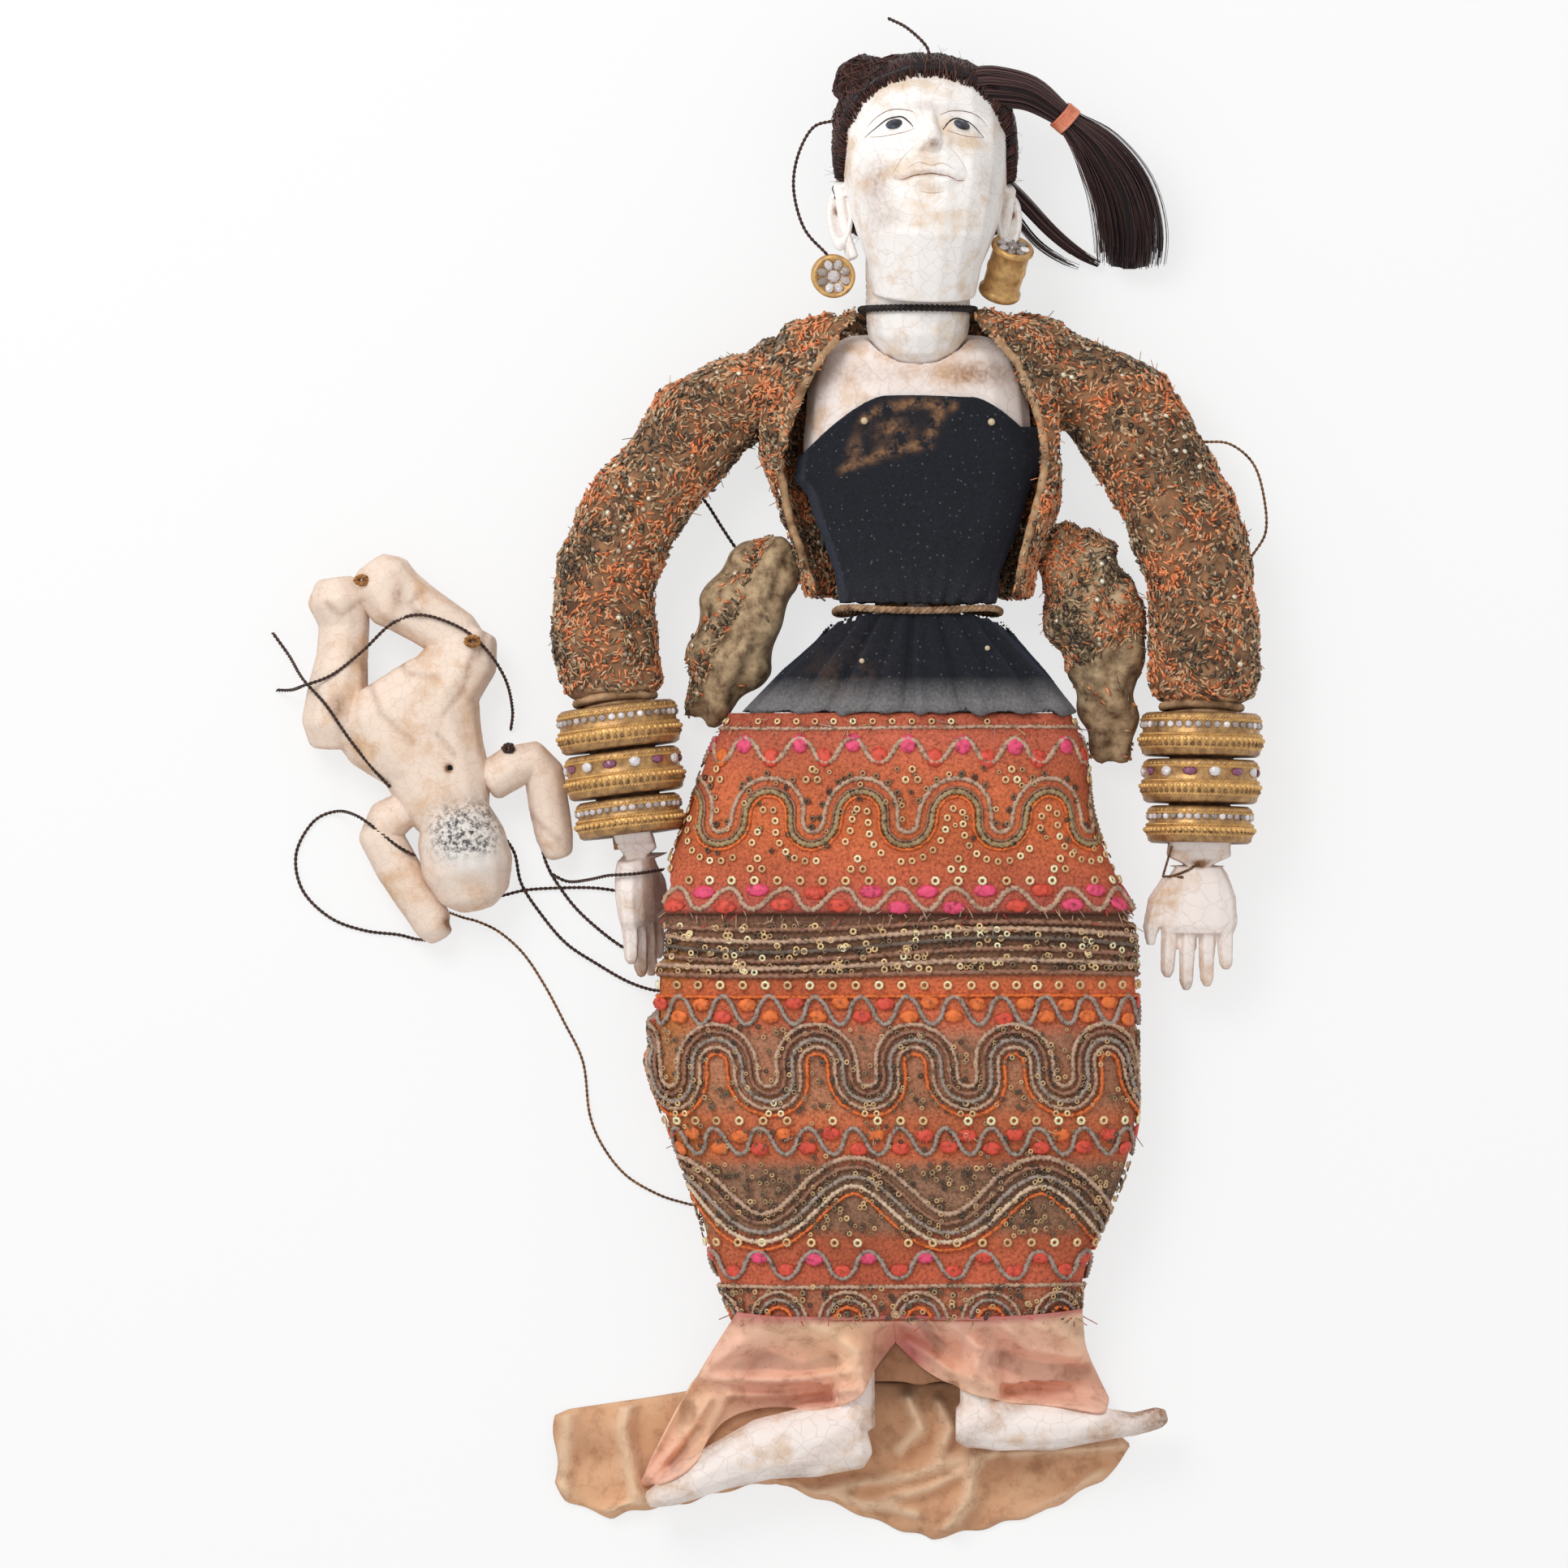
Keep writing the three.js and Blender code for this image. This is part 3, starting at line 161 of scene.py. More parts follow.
def tubes(name, lines, sides=4):
    """One mesh of many thin tubes with closed ends; each line is (points, radii, tint)."""
    # A curve's bevel gives its cap points no tint of their own, so the rings are swept here.
    spots, faces, tints, first = [], [], [], 0
    ring = np.arange(sides)
    turn = ring / sides * 2 * math.pi
    for points, radii, tint in lines:
        way = np.gradient(points, axis=0)
        way /= np.linalg.norm(way, axis=1)[:, None] + 1e-12
        flat = np.linalg.svd(way, full_matrices=False)[2][-1]
        u = flat - (way @ flat)[:, None] * way
        u /= np.linalg.norm(u, axis=1)[:, None] + 1e-12
        v = np.cross(way, u)
        reach = np.broadcast_to(radii, len(points))[:, None, None]
        around = np.cos(turn)[None, :, None] * u[:, None] + np.sin(turn)[None, :, None] * v[:, None]
        spots.append((points[:, None] + reach * around).reshape(-1, 3))
        start = first + np.arange(len(points) - 1)[:, None] * sides
        after = (ring + 1) % sides
        quads = np.stack([start + ring, start + after, start + sides + after, start + sides + ring], axis=2)
        faces += quads.reshape(-1, 4).tolist()
        faces.append((first + ring[::-1]).tolist())
        faces.append((first + (len(points) - 1) * sides + ring).tolist())
        tints.append(np.full(len(points) * sides, tint))
        first += len(points) * sides
    mesh = bpy.data.meshes.new(name)
    mesh.from_pydata(np.concatenate(spots), [], faces)
    mesh.attributes.new("tint", "FLOAT", "POINT").data.foreach_set("value", np.concatenate(tints).astype("f"))
    return mesh


def place(name, mesh, material, body, slot, nodes=()):
    """Put a finished mesh in the scene: it rides on a body and stands for CAD nodes."""
    mesh.materials.clear()
    mesh.materials.append(material)
    mesh.shade_smooth()
    made = bpy.data.objects.new(name, mesh)
    bpy.context.scene.collection.objects.link(made)
    if body:
        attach(made, body)
    if nodes:
        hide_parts(*nodes)
    return made


def plies(points, thickness, pitch, count=2):
    """The lines of a twisted cord along the points: each ply winds round the middle."""
    length = run(points)
    steps = np.arange(0, length[-1], pitch / 7)
    middle = np.stack([np.interp(steps, length, points[:, k]) for k in range(3)], axis=1)
    way = np.gradient(middle, axis=0)
    way /= np.linalg.norm(way, axis=1)[:, None]
    side = np.cross(way, [0.13, 0.21, 0.97])
    side /= np.linalg.norm(side, axis=1)[:, None]
    up = np.cross(side, way)
    ply = thickness / 4
    lines = []
    for i in range(count):
        turn = (steps / pitch + i / count) * 2 * math.pi
        off = ply * (np.cos(turn)[:, None] * side + np.sin(turn)[:, None] * up)
        lines.append((middle + off, ply * 1.12, i / count))
    return lines


def string_finish(name, dark, light, roughness):
    """Twisted cotton, waxed and handled: darker in the lay, with dull lighter fibres on top."""
    made, tree, shader = finish(name, Roughness=roughness)
    spot = node(tree, "TexCoord").outputs["Object"]
    grain = node(tree, "TexNoise", {"Vector": spot, "Scale": 1 / (3 * MM), "Detail": 6.0})
    ramp = node(tree, "ValToRGB", {"Fac": grain.outputs["Fac"]}, [(0.32, dark), (0.72, light)])
    tree.links.new(ramp.outputs[0], shader.inputs["Base Color"])
    fibre = node(tree, "TexNoise", {"Vector": spot, "Scale": 1 / (0.35 * MM), "Detail": 3.0})
    bump = node(tree, "Bump", {"Height": fibre.outputs["Fac"], "Strength": 0.4, "Distance": 0.15 * MM})
    tree.links.new(bump.outputs[0], shader.inputs["Normal"])
    return made


LYING = 1.3
STRING_THICKNESS = 1.8 * MM
dark_cord = string_finish("waxed_dark_cotton", "#1E120F", "#57392C", 0.62)
pale_cord = string_finish("faded_brown_cotton", "#4E3220", "#9C7048", 0.8)
STRINGS = [
    ("loop", "chest", [
        (-227, -60.5, 9), (-232, -60, 3), (-240, -58, LYING), (-256, -56, LYING), (-272, -50, LYING),
        (-285, -37, LYING), (-288, -20, LYING), (-280, -5, LYING), (-269, 0, 3), (-259, -2, 20),
        (-250, -8, 23.3), (-240, -16, 22.8), (-231, -21, 20)]),
    ("belly", "chest", [
        (-299, 84, LYING), (-291, 73, 8), (-284, 62, 24), (-273, 50, 32.2), (-262, 34, 31.6),
        (-251, 20, 28), (-242.6, 11, 25)]),
    ("legs", "chest", [
        (-297, 57, LYING), (-290, 57, 11), (-283, 59, 29.6), (-270, 64, 31.8), (-256, 75, 28.4),
        (-242, 88, 29.4), (-228, 92, 33), (-210, 86, 32.8), (-198, 76, 31.2), (-189, 62, 25),
        (-186, 48, 10), (-187, 38, LYING)]),
    ("strand_1", "chest", [
        (-208, -39, 4.3), (-194, -40, LYING), (-180, -37, LYING), (-164, -36, LYING),
        (-148, -36, LYING), (-134, -38, 3.6), (-125.6, -40.6, 9.2)]),
    ("strand_2", "chest", [
        (-190.4, -11, 12), (-185, -20, 6), (-182, -34, 3.4), (-173, -48, 3.2), (-161, -62, 3),
        (-146, -72, 2.4), (-132, -80, 2.4), (-120, -84, 6), (-112, -84, 12.2)]),
    ("strand_3", "chest", [
        (-173.6, -11, 6.4), (-170, -25, 4.2), (-163, -37, 3.2), (-154, -48, 2.4), (-140, -60, 2),
        (-130, -66, 4), (-121, -68, 9.6)]),
    ("by_hand", "hand_right", [
        (-168.4, -29, 6), (-160, -33, 8), (-150, -32, 26), (-141, -30, 39), (-134, -29.5, 43),
        (-128, -29, 42.4), (-121, -28, 35.6), (-114.5, -27, 28)]),
    ("by_arm", "chest", [
        (-101.3, 151.8, 10), (-95, 145, 7), (-88, 134, 5), (-82, 125, 4), (-77, 118.5, 4.4)]),
    ("by_sleeve", "upper_arm_left", [
        (137.3, 173, 34), (150, 172, 33), (161, 163, 31), (166, 148, 30), (167, 131, 30),
        (160.2, 119, 30)]),
    ("temple", "head", [
        (-35, 322.5, 49.5), (-45, 319, 52), (-52, 306, 52), (-54, 290, 50), (-49, 272, 48),
        (-38, 259.6, 47.6)]),
    ("crown", "head", [(9, 349, 60.2), (8, 356, 62), (-1, 365, 58), (-10, 370, 52)]),
    ("tether", "chest", [
        (-215.4, -47.6, 9), (-209, -50, 3), (-202, -52, LYING), (-192, -57, LYING),
        (-181, -67, LYING), (-171, -82, LYING), (-162, -99, LYING), (-153, -118, LYING),
        (-150, -142, LYING), (-144, -157, LYING), (-133, -171, LYING), (-118, -180, LYING),
        (-106, -184, LYING), (-97, -186, 3), (-90.6, -187.6, 9)]),
]
for name, body, points in STRINGS:
    line = rounded(np.array(points) * MM)
    pale = name in ("tether", "by_sleeve")
    mesh = tubes("string_" + name, plies(line, STRING_THICKNESS * (0.8 if pale else 0.92), 4.5 * MM), 6)
    cord = place("cord_" + name, mesh, pale_cord if pale else dark_cord, body,
                 "pale_string" if pale else "dark_string", ["string_" + name])


# The head
# Carved with its neck from one piece of light wood and coated in chalk ground, which has crazed
# and browned with handling. The face is cut shallow and drawn over in thin ink lines; a pale line
# under the lower lip is painted shadow, and the ear hole is painted dark as shade.
def softened(nodes, voxel, rounds):
    """CAD solids as one even mesh, with their facets smoothed away."""
    draft = bmesh.new()
    for name in nodes:
        draft.from_mesh(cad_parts[name].data)
    bmesh.ops.remove_doubles(draft, verts=draft.verts, dist=0.01 * MM)
    mesh = bpy.data.meshes.new("draft")
    draft.to_mesh(mesh)
    draft.free()
    body = bpy.data.objects.new("draft", mesh)
    bpy.context.scene.collection.objects.link(body)
    even = body.modifiers.new("even", "REMESH")
    even.mode = "VOXEL"
    even.voxel_size = voxel
    body.modifiers.new("smooth", "SMOOTH").iterations = rounds
    made = bpy.data.meshes.new_from_object(body.evaluated_get(bpy.context.evaluated_depsgraph_get()))
    bpy.data.objects.remove(body)
    bpy.data.meshes.remove(mesh)
    return made


def spots_of(mesh):
    got = np.empty(len(mesh.vertices) * 3, "f")
    mesh.vertices.foreach_get("co", got)
    return got.reshape(-1, 3).astype(float)


def normals_of(mesh):
    got = np.empty(len(mesh.vertices) * 3, "f")
    mesh.vertex_normals.foreach_get("vector", got)
    return got.reshape(-1, 3).astype(float)


def reshape(mesh, spots):
    mesh.vertices.foreach_set("co", spots.astype("f").ravel())
    mesh.update()


def marked(mesh, name, values):
    """Keep one number per point on the mesh, for its material to read."""
    mesh.attributes.new(name, "FLOAT", "POINT").data.foreach_set("value", values.astype("f"))


def turned(place, points):
    matrix = np.array(place)
    return points @ matrix[:3, :3].T + matrix[:3, 3]


def near(points, centre, spread):
    """1 at the centre, falling off over the spread, which is one length or one for each axis."""
    return np.exp(-(((points - centre) / spread) ** 2).sum(axis=1))


def near_line(points, line, width):
    """1 on a line of points, falling off over its width."""
    best = np.full(len(points), np.inf)
    for a, b in zip(line[:-1], line[1:]):
        way = b - a
        share = np.clip(((points - a) @ way) / (way @ way), 0, 1)
        best = np.minimum(best, ((points - a - share[:, None] * way) ** 2).sum(axis=1))
    return np.exp(-best / width**2)


def tree_of(mesh):
    return BVHTree.FromPolygons(spots_of(mesh).tolist(), [list(p.vertices) for p in mesh.polygons])


def gesso_finish(name, ground, stain, deep, roughness=0.62, craze=4.5):
    """Chalk ground on carved wood: warm white, finely crazed, browned in clouds, and browned where its attribute says,
    which holds stains and, on some pieces, painted shade.
    """
    made, tree, shader = finish(name, Roughness=roughness)
    spot = node(tree, "TexCoord").outputs["Object"]
    cloud = node(tree, "TexNoise", {"Vector": spot, "Scale": 1 / (22 * MM), "Detail": 7.0, "Roughness": 0.62})
    base = node(tree, "ValToRGB", {"Fac": cloud.outputs["Fac"]}, [(0.34, stain), (0.50, ground), (0.8, ground)])
    wander = node(tree, "TexNoise", {"Vector": spot, "Scale": 1 / (6 * MM), "Detail": 3.0})
    bent = node(tree, "VectorMath", {0: wander.outputs["Color"], 1: (0.004, 0.004, 0.004), 2: spot},
                operation="MULTIPLY_ADD")
    cell = node(tree, "TexVoronoi", {"Vector": bent.outputs[0], "Scale": 1 / (craze * MM)},
                feature="DISTANCE_TO_EDGE")
    crack = node(tree, "MapRange", {"Value": cell.outputs["Distance"], "From Min": 0.0, "From Max": 0.035,
                                    "To Min": 0.22, "To Max": 0.0})
    lined = node(tree, "Mix", {0: crack.outputs[0], 6: base.outputs[0], 7: linear(deep)}, data_type="RGBA")
    grime_and_shade = node(tree, "Attribute", attribute_name="stain")
    fleck = node(tree, "TexNoise", {"Vector": spot, "Scale": 1 / (2.2 * MM), "Detail": 5.0})
    patchy = node(tree, "Math", {0: grime_and_shade.outputs["Fac"], 1: fleck.outputs["Fac"]}, operation="MULTIPLY")
    amount = node(tree, "Math", {0: patchy.outputs[0], 1: 1.8}, operation="MULTIPLY", use_clamp=True)
    darkened = node(tree, "Mix", {0: amount.outputs[0], 6: lined.outputs[2], 7: linear(deep)}, data_type="RGBA")
    tree.links.new(darkened.outputs[2], shader.inputs["Base Color"])
    height = node(tree, "Math", {0: crack.outputs[0], 1: -1.5, 2: fleck.outputs["Fac"]}, operation="MULTIPLY_ADD")
    bump = node(tree, "Bump", {"Height": height.outputs[0], "Strength": 0.5, "Distance": 0.25 * MM})
    tree.links.new(bump.outputs[0], shader.inputs["Normal"])
    return made


HEAD_PLACE = (Matrix.Translation(Vector((7, 262, 55)) * MM) @ Matrix.Rotation(-0.33, 4, "X")
              @ Matrix.Rotation(0.07, 4, "Y"))



def crowned(points):
    """The skull tapers to a low crown: its height is drawn in above the eyes."""
    local = turned(HEAD_PLACE.inverted(), points)
    over = np.maximum(local[:, 1] - 54 * MM, 0)
    local[:, 1] -= 0.2 * over
    return turned(HEAD_PLACE, local)


# Places on the face, in mm across and up from the head's own middle.
LIDS = [[(-30, 44.3), (-23.9, 48.5), (-19.5, 51.2), (-13.9, 51.9), (-10.5, 49), (-7.7, 44.6)],
        [(25.4, 44.4), (21.1, 47.9), (17.5, 50.4), (12.8, 51.6), (9.2, 49.6), (5.6, 44.6)]]
LOWER_LIDS = [[(-30, 44.3), (-21.8, 42.3), (-13.2, 43), (-7.7, 44.6)],
              [(25.4, 44.4), (18.6, 42.4), (11.4, 43.2), (5.6, 44.6)]]
CREASES = [[(-28.8, 49.6), (-23.9, 53.9), (-17.2, 56), (-10.4, 54.8), (-6, 52)],
           [(4.2, 52.2), (10.4, 55.2), (17.6, 55.8), (23.7, 54), (27.3, 51)]]
IRISES = [(-17.1, 47.6), (14.6, 47.8)]
MOUTH = [(-16.2, 20.6), (-13, 19.5), (-6.2, 21.2), (0.4, 21.9), (7.2, 21.1), (12.4, 19.5), (15.6, 20.2)]
UPPER_LIP = [(-12.6, 23.4), (-6.2, 27.2), (-0.3, 25.4), (5.6, 27), (12.2, 23.2)]
UNDER_LIP = [(-6.6, 13.4), (-0.4, 12.2), (6, 13)]
CHEEK_LINES = [[(-8.5, 35), (-14, 29), (-18.6, 21)], [(9, 35), (14.2, 29), (18, 21)]]
NECK_RINGS = [246.8, 243.6, 240.4]

head = softened(["head"], 0.85 * MM, 4)
spots = crowned(spots_of(head))
local = turned(HEAD_PLACE.inverted(), spots) / MM
front = 1 / (1 + np.exp(-(local[:, 2] - 16) / 3))
flat = local[:, :2]
push = np.zeros(len(local))
push -= 1.5 * near(flat, (0, 26.4), (12, 2.6)) + 1.3 * near(flat, (0, 22.4), (12, 2.4))
for x, y in IRISES:
    push -= 2.3 * near(flat, (x, y + 1.5), (9.5, 7.5))
    push += 2.7 * near(flat, (x, y - 0.6), (7.5, 4.2))
    push += 0.9 * near(flat, (x * 0.96, y + 11.5), (12, 3.4))
for lines, width, depth in ((LIDS, 0.75, 0.55), (CREASES, 0.9, 0.42), (LOWER_LIDS, 0.7, 0.25),
                            (CHEEK_LINES, 2.2, 0.55), ([UNDER_LIP], 1.9, 0.8), ([MOUTH], 0.95, 1.1)):
    for line in lines:
        push -= depth * near_line(flat, rounded(line, 4), width)
push += 1.55 * near_line(flat, rounded([(-11, 23), (-5.5, 24.4), (0, 23.9), (5.8, 24.3), (11, 23)], 3), 1.9)
push += 1.6 * near_line(flat, rounded([(-8, 18), (0, 17.3), (8, 17.8)], 3), 2.5)
push += 0.9 * near(flat, (0, 3), (10, 6)) + 0.9 * near(flat, (-23, 31), 9) + 0.9 * near(flat, (23, 31), 9)
push += 1.4 * near(flat, (-5.8, 36.6), (2.6, 3)) + 1.4 * near(flat, (7, 36.8), (2.6, 3))
push -= 0.8 * near(flat, (-2.6, 33.6), 1.4) + 0.8 * near(flat, (3.4, 33.6), 1.4)
local[:, 2] += push * front
# The back of the skull is kept under the hair.
hidden = np.clip((5 - local[:, 2]) / 8, 0, 1) * np.clip((local[:, 1] - 8) / 8, 0, 1)
local -= 0.045 * hidden[:, None] * (local - [0, 35, 0])
tip = near(local, (0.4, 37.5, 47), 5)
local[:, 1] -= 1.2 * tip
spots = turned(HEAD_PLACE, local * MM)
throat = np.stack([spots[:, 0] - 4 * MM, np.zeros(len(spots)), spots[:, 2] - 43 * MM], axis=1)
reach = np.linalg.norm(throat, axis=1)
on_neck = (reach < 28.5 * MM) & (spots[:, 1] < 256 * MM)
for height in NECK_RINGS:
    sag = height * MM - 1.5 * MM * (1 - (throat[:, 0] / (24 * MM)) ** 2)
    ring = np.exp(-((spots[:, 1] - sag) / (0.7 * MM)) ** 2) * on_neck
    spots -= (0.45 * MM * ring / np.maximum(reach, MM))[:, None] * throat
reshape(head, spots)
# Stains on the face; the dark spot at (-42.6, 17) in the ear hole is painted shade.
stain = (1.1 * near(local, (0.4, 35.6, 46), 2.3) + 0.45 * near(flat, (-3.5, 33.5), (4, 1.4)) * front
         + 0.55 * near(flat, (-25, 19), (6, 12)) * front + 0.35 * near(flat, (-20, 2), (8, 6)) * front
         + 0.28 * near(flat, (26, 24), (4, 9)) * front + 0.3 * near_line(flat, rounded(MOUTH, 3), 1.4) * front
         + 0.95 * near(local, (-42.6, 17, -1), 2.4) + 0.3 * near(flat, (0, 56), (10, 3)) * front)
for height in NECK_RINGS:
    stain += 0.16 * np.exp(-((spots[:, 1] - height * MM + 1.2 * MM) / (0.6 * MM)) ** 2) * on_neck
marked(head, "stain", stain)
face_ground = gesso_finish("crazed_chalk_ground", "#FBF6F2", "#E7CFB6", "#90603C", craze=6.5)
place("carved_head", head, face_ground, "head", "gesso", ["head"])

face = tree_of(head)
looking = HEAD_PLACE.to_3x3() @ Vector((0, 0, -1))


def on_face(x, y, lift):
    """A place on the face and the way out of it, for a point across and up it in mm."""
    spot, out, _, _ = face.ray_cast(HEAD_PLACE @ (Vector((x, y, 90)) * MM), looking)
    return np.array(spot + out * lift), np.array(out)


def drawn(lines, radius, tint):
    """Lines on the face, in ink and in painted shadow, thinner at both ends."""
    made = []
    for line in lines:
        points = np.array([on_face(x, y, -0.25 * radius)[0] for x, y in rounded(line, 6)])
        taper = np.sin(np.linspace(0.12, math.pi - 0.12, len(points))) ** 0.5
        made.append((points, radius * taper, tint))
    return made


ink_and_shade, tree, shader = finish("brown_ink_and_painted_shade", Roughness=0.55)
tint = node(tree, "Attribute", attribute_name="tint")
shade = node(tree, "ValToRGB", {"Fac": tint.outputs["Fac"]}, [(0.0, "#2A1D18"), (0.5, "#7A5238"), (1.0, "#B79478")])
tree.links.new(shade.outputs[0], shader.inputs["Base Color"])
# The pale line under the lower lip is painted shadow over the carved hollow there; the others are ink lines.
brush = (drawn(LIDS, 0.78 * MM, 0.0) + drawn(LOWER_LIDS, 0.2 * MM, 0.6) + drawn(CREASES, 0.3 * MM, 0.5)
         + drawn([MOUTH], 0.42 * MM, 0.5) + drawn([UPPER_LIP], 0.22 * MM, 0.9)
         + drawn([UNDER_LIP], 0.22 * MM, 1.0) + drawn(CHEEK_LINES, 0.14 * MM, 1.0))
place("drawn_face_lines", tubes("drawn_face_lines", brush), ink_and_shade, "head", "gesso")


def bit_of(shape):
    """The points and faces of a small closed shape, ready to be planted many times."""
    bmesh.ops.recalc_face_normals(shape, faces=shape.faces)
    shape.verts.index_update()
    points = np.array([v.co for v in shape.verts])
    faces = [[v.index for v in f.verts] for f in shape.faces]
    shape.free()
    return points, faces


def stone(sides=8, rings=4):
    shape = bmesh.new()
    bmesh.ops.create_uvsphere(shape, u_segments=sides, v_segments=rings, radius=0.5)
    return bit_of(shape)


def frames(points, out, sizes, along=None, rng=None):
    """Where bits go: each stands on its point, with its z axis along the way out."""
    out = out / np.linalg.norm(out, axis=1)[:, None]
    if along is None:
        along = rng.normal(size=out.shape)
    along = along - (along * out).sum(axis=1)[:, None] * out
    along /= np.linalg.norm(along, axis=1)[:, None] + 1e-12
    sizes = np.broadcast_to(sizes, out.shape)
    axes = np.stack([along, np.cross(out, along), out], axis=2)
    return points, axes * sizes[:, None, :]


def planted(name, bit, where, tints):
    """One mesh of many copies of a bit, each with its own tint."""
    points, axes = where
    shape, faces = bit
    spots = np.einsum("nij,kj->nki", axes, shape) + points[:, None]
    first = np.arange(len(points)) * len(shape)
    mesh = bpy.data.meshes.new(name)
    sizes = {len(f) for f in faces}
    corners = []
    for size in sizes:
        these = np.array([f for f in faces if len(f) == size])
        corners += (first[:, None, None] + these).reshape(-1, size).tolist()
    mesh.from_pydata(spots.reshape(-1, 3), [], corners)
    marked(mesh, "tint", np.repeat(np.broadcast_to(tints, len(points)), len(shape)))
    return mesh


eye_ink, tree, shader = finish("blue_black_lacquer", Roughness=0.25)
tint = node(tree, "Attribute", attribute_name="tint")
spot = node(tree, "TexCoord").outputs["Object"]
cloud = node(tree, "TexNoise", {"Vector": spot, "Scale": 1 / (2.5 * MM), "Detail": 2.0})
shade = node(tree, "ValToRGB", {"Fac": cloud.outputs["Fac"]}, [(0.4, "#16161F"), (0.62, "#3B3F52"), (0.75, "#6F8088")])
tree.links.new(shade.outputs[0], shader.inputs["Base Color"])
seats = [on_face(x, y + 0.2, -0.1 * MM) for x, y in IRISES]
irises = planted("irises", stone(20, 8), frames(np.array([s[0] for s in seats]), np.array([s[1] for s in seats]),
                                                np.array([8.0, 6.6, 0.9]) * MM, along=np.array([[1.0, 0, 0]] * 2)), 0.0)
place("painted_irises", irises, eye_ink, "head", "gesso")


# The hair
# Black-brown fibre glued over the skull and combed back from the face. Part is coiled in a bun,
# and part is gathered to one side in a long tail through a coral cotton band.
def hair_finish(name, low, high):
    """Dyed fibre: each hair a little lighter or redder than the next, with a soft long gloss."""
    made, tree, shader = finish(name, Roughness=0.42, Specular_IOR_Level=0.35)
    tint = node(tree, "Attribute", attribute_name="tint")
    shade = node(tree, "ValToRGB", {"Fac": tint.outputs["Fac"]}, [(0.0, low), (1.0, high)])
    tree.links.new(shade.outputs[0], shader.inputs["Base Color"])
    return made


cap = softened(["hair_cap"], 1.5 * MM, 3)
reshape(cap, crowned(spots_of(cap)))
marked(cap, "tint", np.zeros(len(cap.vertices)))
hair_dark = hair_finish("dark_dyed_fibre", "#1D1213", "#673F35")
hair_tail = hair_finish("blue_black_fibre", "#191117", "#6C4E4B")
place("hair_cap_base", cap, hair_dark, "head", "hair", ["hair_cap"])
scalp = tree_of(cap)


def outwards(pole, side, up, angle, spin):
    return HEAD_PLACE.to_3x3() @ (pole * math.cos(angle)
                                  + (side * math.cos(spin) + up * math.sin(spin)) * math.sin(angle))


def rim_angle(middle, pole, side, up, spin, reach):
    """The angle from the pole at which the cap begins; none where it would be on the neck."""
    for angle in np.radians(np.arange(50, 104, 1.5)):
        way = outwards(pole, side, up, angle, spin)
        spot = scalp.ray_cast(HEAD_PLACE @ (Vector(middle) * MM) + way * reach * MM, -way, reach * MM)[0]
        if spot is not None:
            return angle if (HEAD_PLACE.inverted() @ spot).y > 12 * MM else None
    return None


def combed(count, middle, pole, start, sweep, reach, radius, rng, wander=0.12, lift=0.5, rim=False):
    """Hairs that lie on the cap, from an angle about the pole to one further round; with rim,
    the angle is counted from the cap's front edge."""
    pole = Vector(pole).normalized()
    side = pole.orthogonal().normalized()
    up = pole.cross(side)
    lines = []
    for _ in range(count):
        spin = rng.uniform(0, 2 * math.pi)
        first = math.radians(rng.uniform(*start))
        if rim:
            edge = rim_angle(middle, pole, side, up, spin, reach)
            if edge is None:
                continue
            first += edge
        last = first + math.radians(rng.uniform(*sweep))
        drift = rng.normal(0, wander)
        height = rng.uniform(0.05, lift) * MM
        points = []
        for share in np.linspace(0, 1, 9):
            angle = first + (last - first) * share
            turn = spin + drift * share
            way = outwards(pole, side, up, angle, turn)
            from_out = HEAD_PLACE @ (Vector(middle) * MM) + way * reach * MM
            spot, out, _, _ = scalp.ray_cast(from_out, -way, reach * MM)
            if spot is None:
                spot, out, _, _ = face.ray_cast(from_out, -way, reach * MM)
            if spot is None:
                break
            points.append(spot + out * height * (0.3 + math.sin(math.pi * share)))
        if len(points) > 3:
            lines.append((np.array(points), radius * np.linspace(1, 0.45, len(points)), rng.uniform(0, 1)))
    return lines


rng = np.random.default_rng(7)
BACK = (0, math.sin(0.5), -math.cos(0.5))
FACING = tuple(-v for v in BACK)
hairs = combed(1000, (0, 30, -5), FACING, (1, 50), (24, 60), 120, 0.34 * MM, rng, rim=True)
hairs += combed(1000, (0, 30, -5), FACING, (-4, -1.5), (20, 44), 120, 0.38 * MM, rng, rim=True)
hairs += combed(560, (-30, 80, 5), (0.15, 0.75, 0.64), (12, 120), (18, 60), 26, 0.36 * MM, rng, wander=1.4, lift=1.1)
fly = []
for _ in range(130):
    spin = rng.uniform(0, 2 * math.pi)
    seat = Vector((40 * math.cos(spin), 40 + 58 * math.sin(spin), rng.uniform(-8, 12))) * MM
    way = Vector((math.cos(spin), math.sin(spin), rng.uniform(-0.2, 0.6))).normalized()
    spot, out, _, _ = scalp.find_nearest(HEAD_PLACE @ seat)
    bend = Vector(rng.normal(0, 0.7, 3))
    grow = rng.uniform(3, 9) * MM
    way = HEAD_PLACE.to_3x3() @ way
    t = np.linspace(0, 1, 7)
    curl = (way * 0.8 + bend).cross(way)
    points = np.array([spot + way * grow * s * 0.8 + curl * grow * s * s * 0.6 for s in t])
    points[:, 2] = np.maximum(points[:, 2], MM)
    fly.append((points, 0.1 * MM * np.linspace(1, 0.5, 7), rng.uniform(0.3, 1)))
place("combed_hair", tubes("combed_hair", hairs, 3), hair_dark, "head", "hair")
place("loose_hairs", tubes("loose_hairs", fly, 3), hair_dark, "head", "hair")


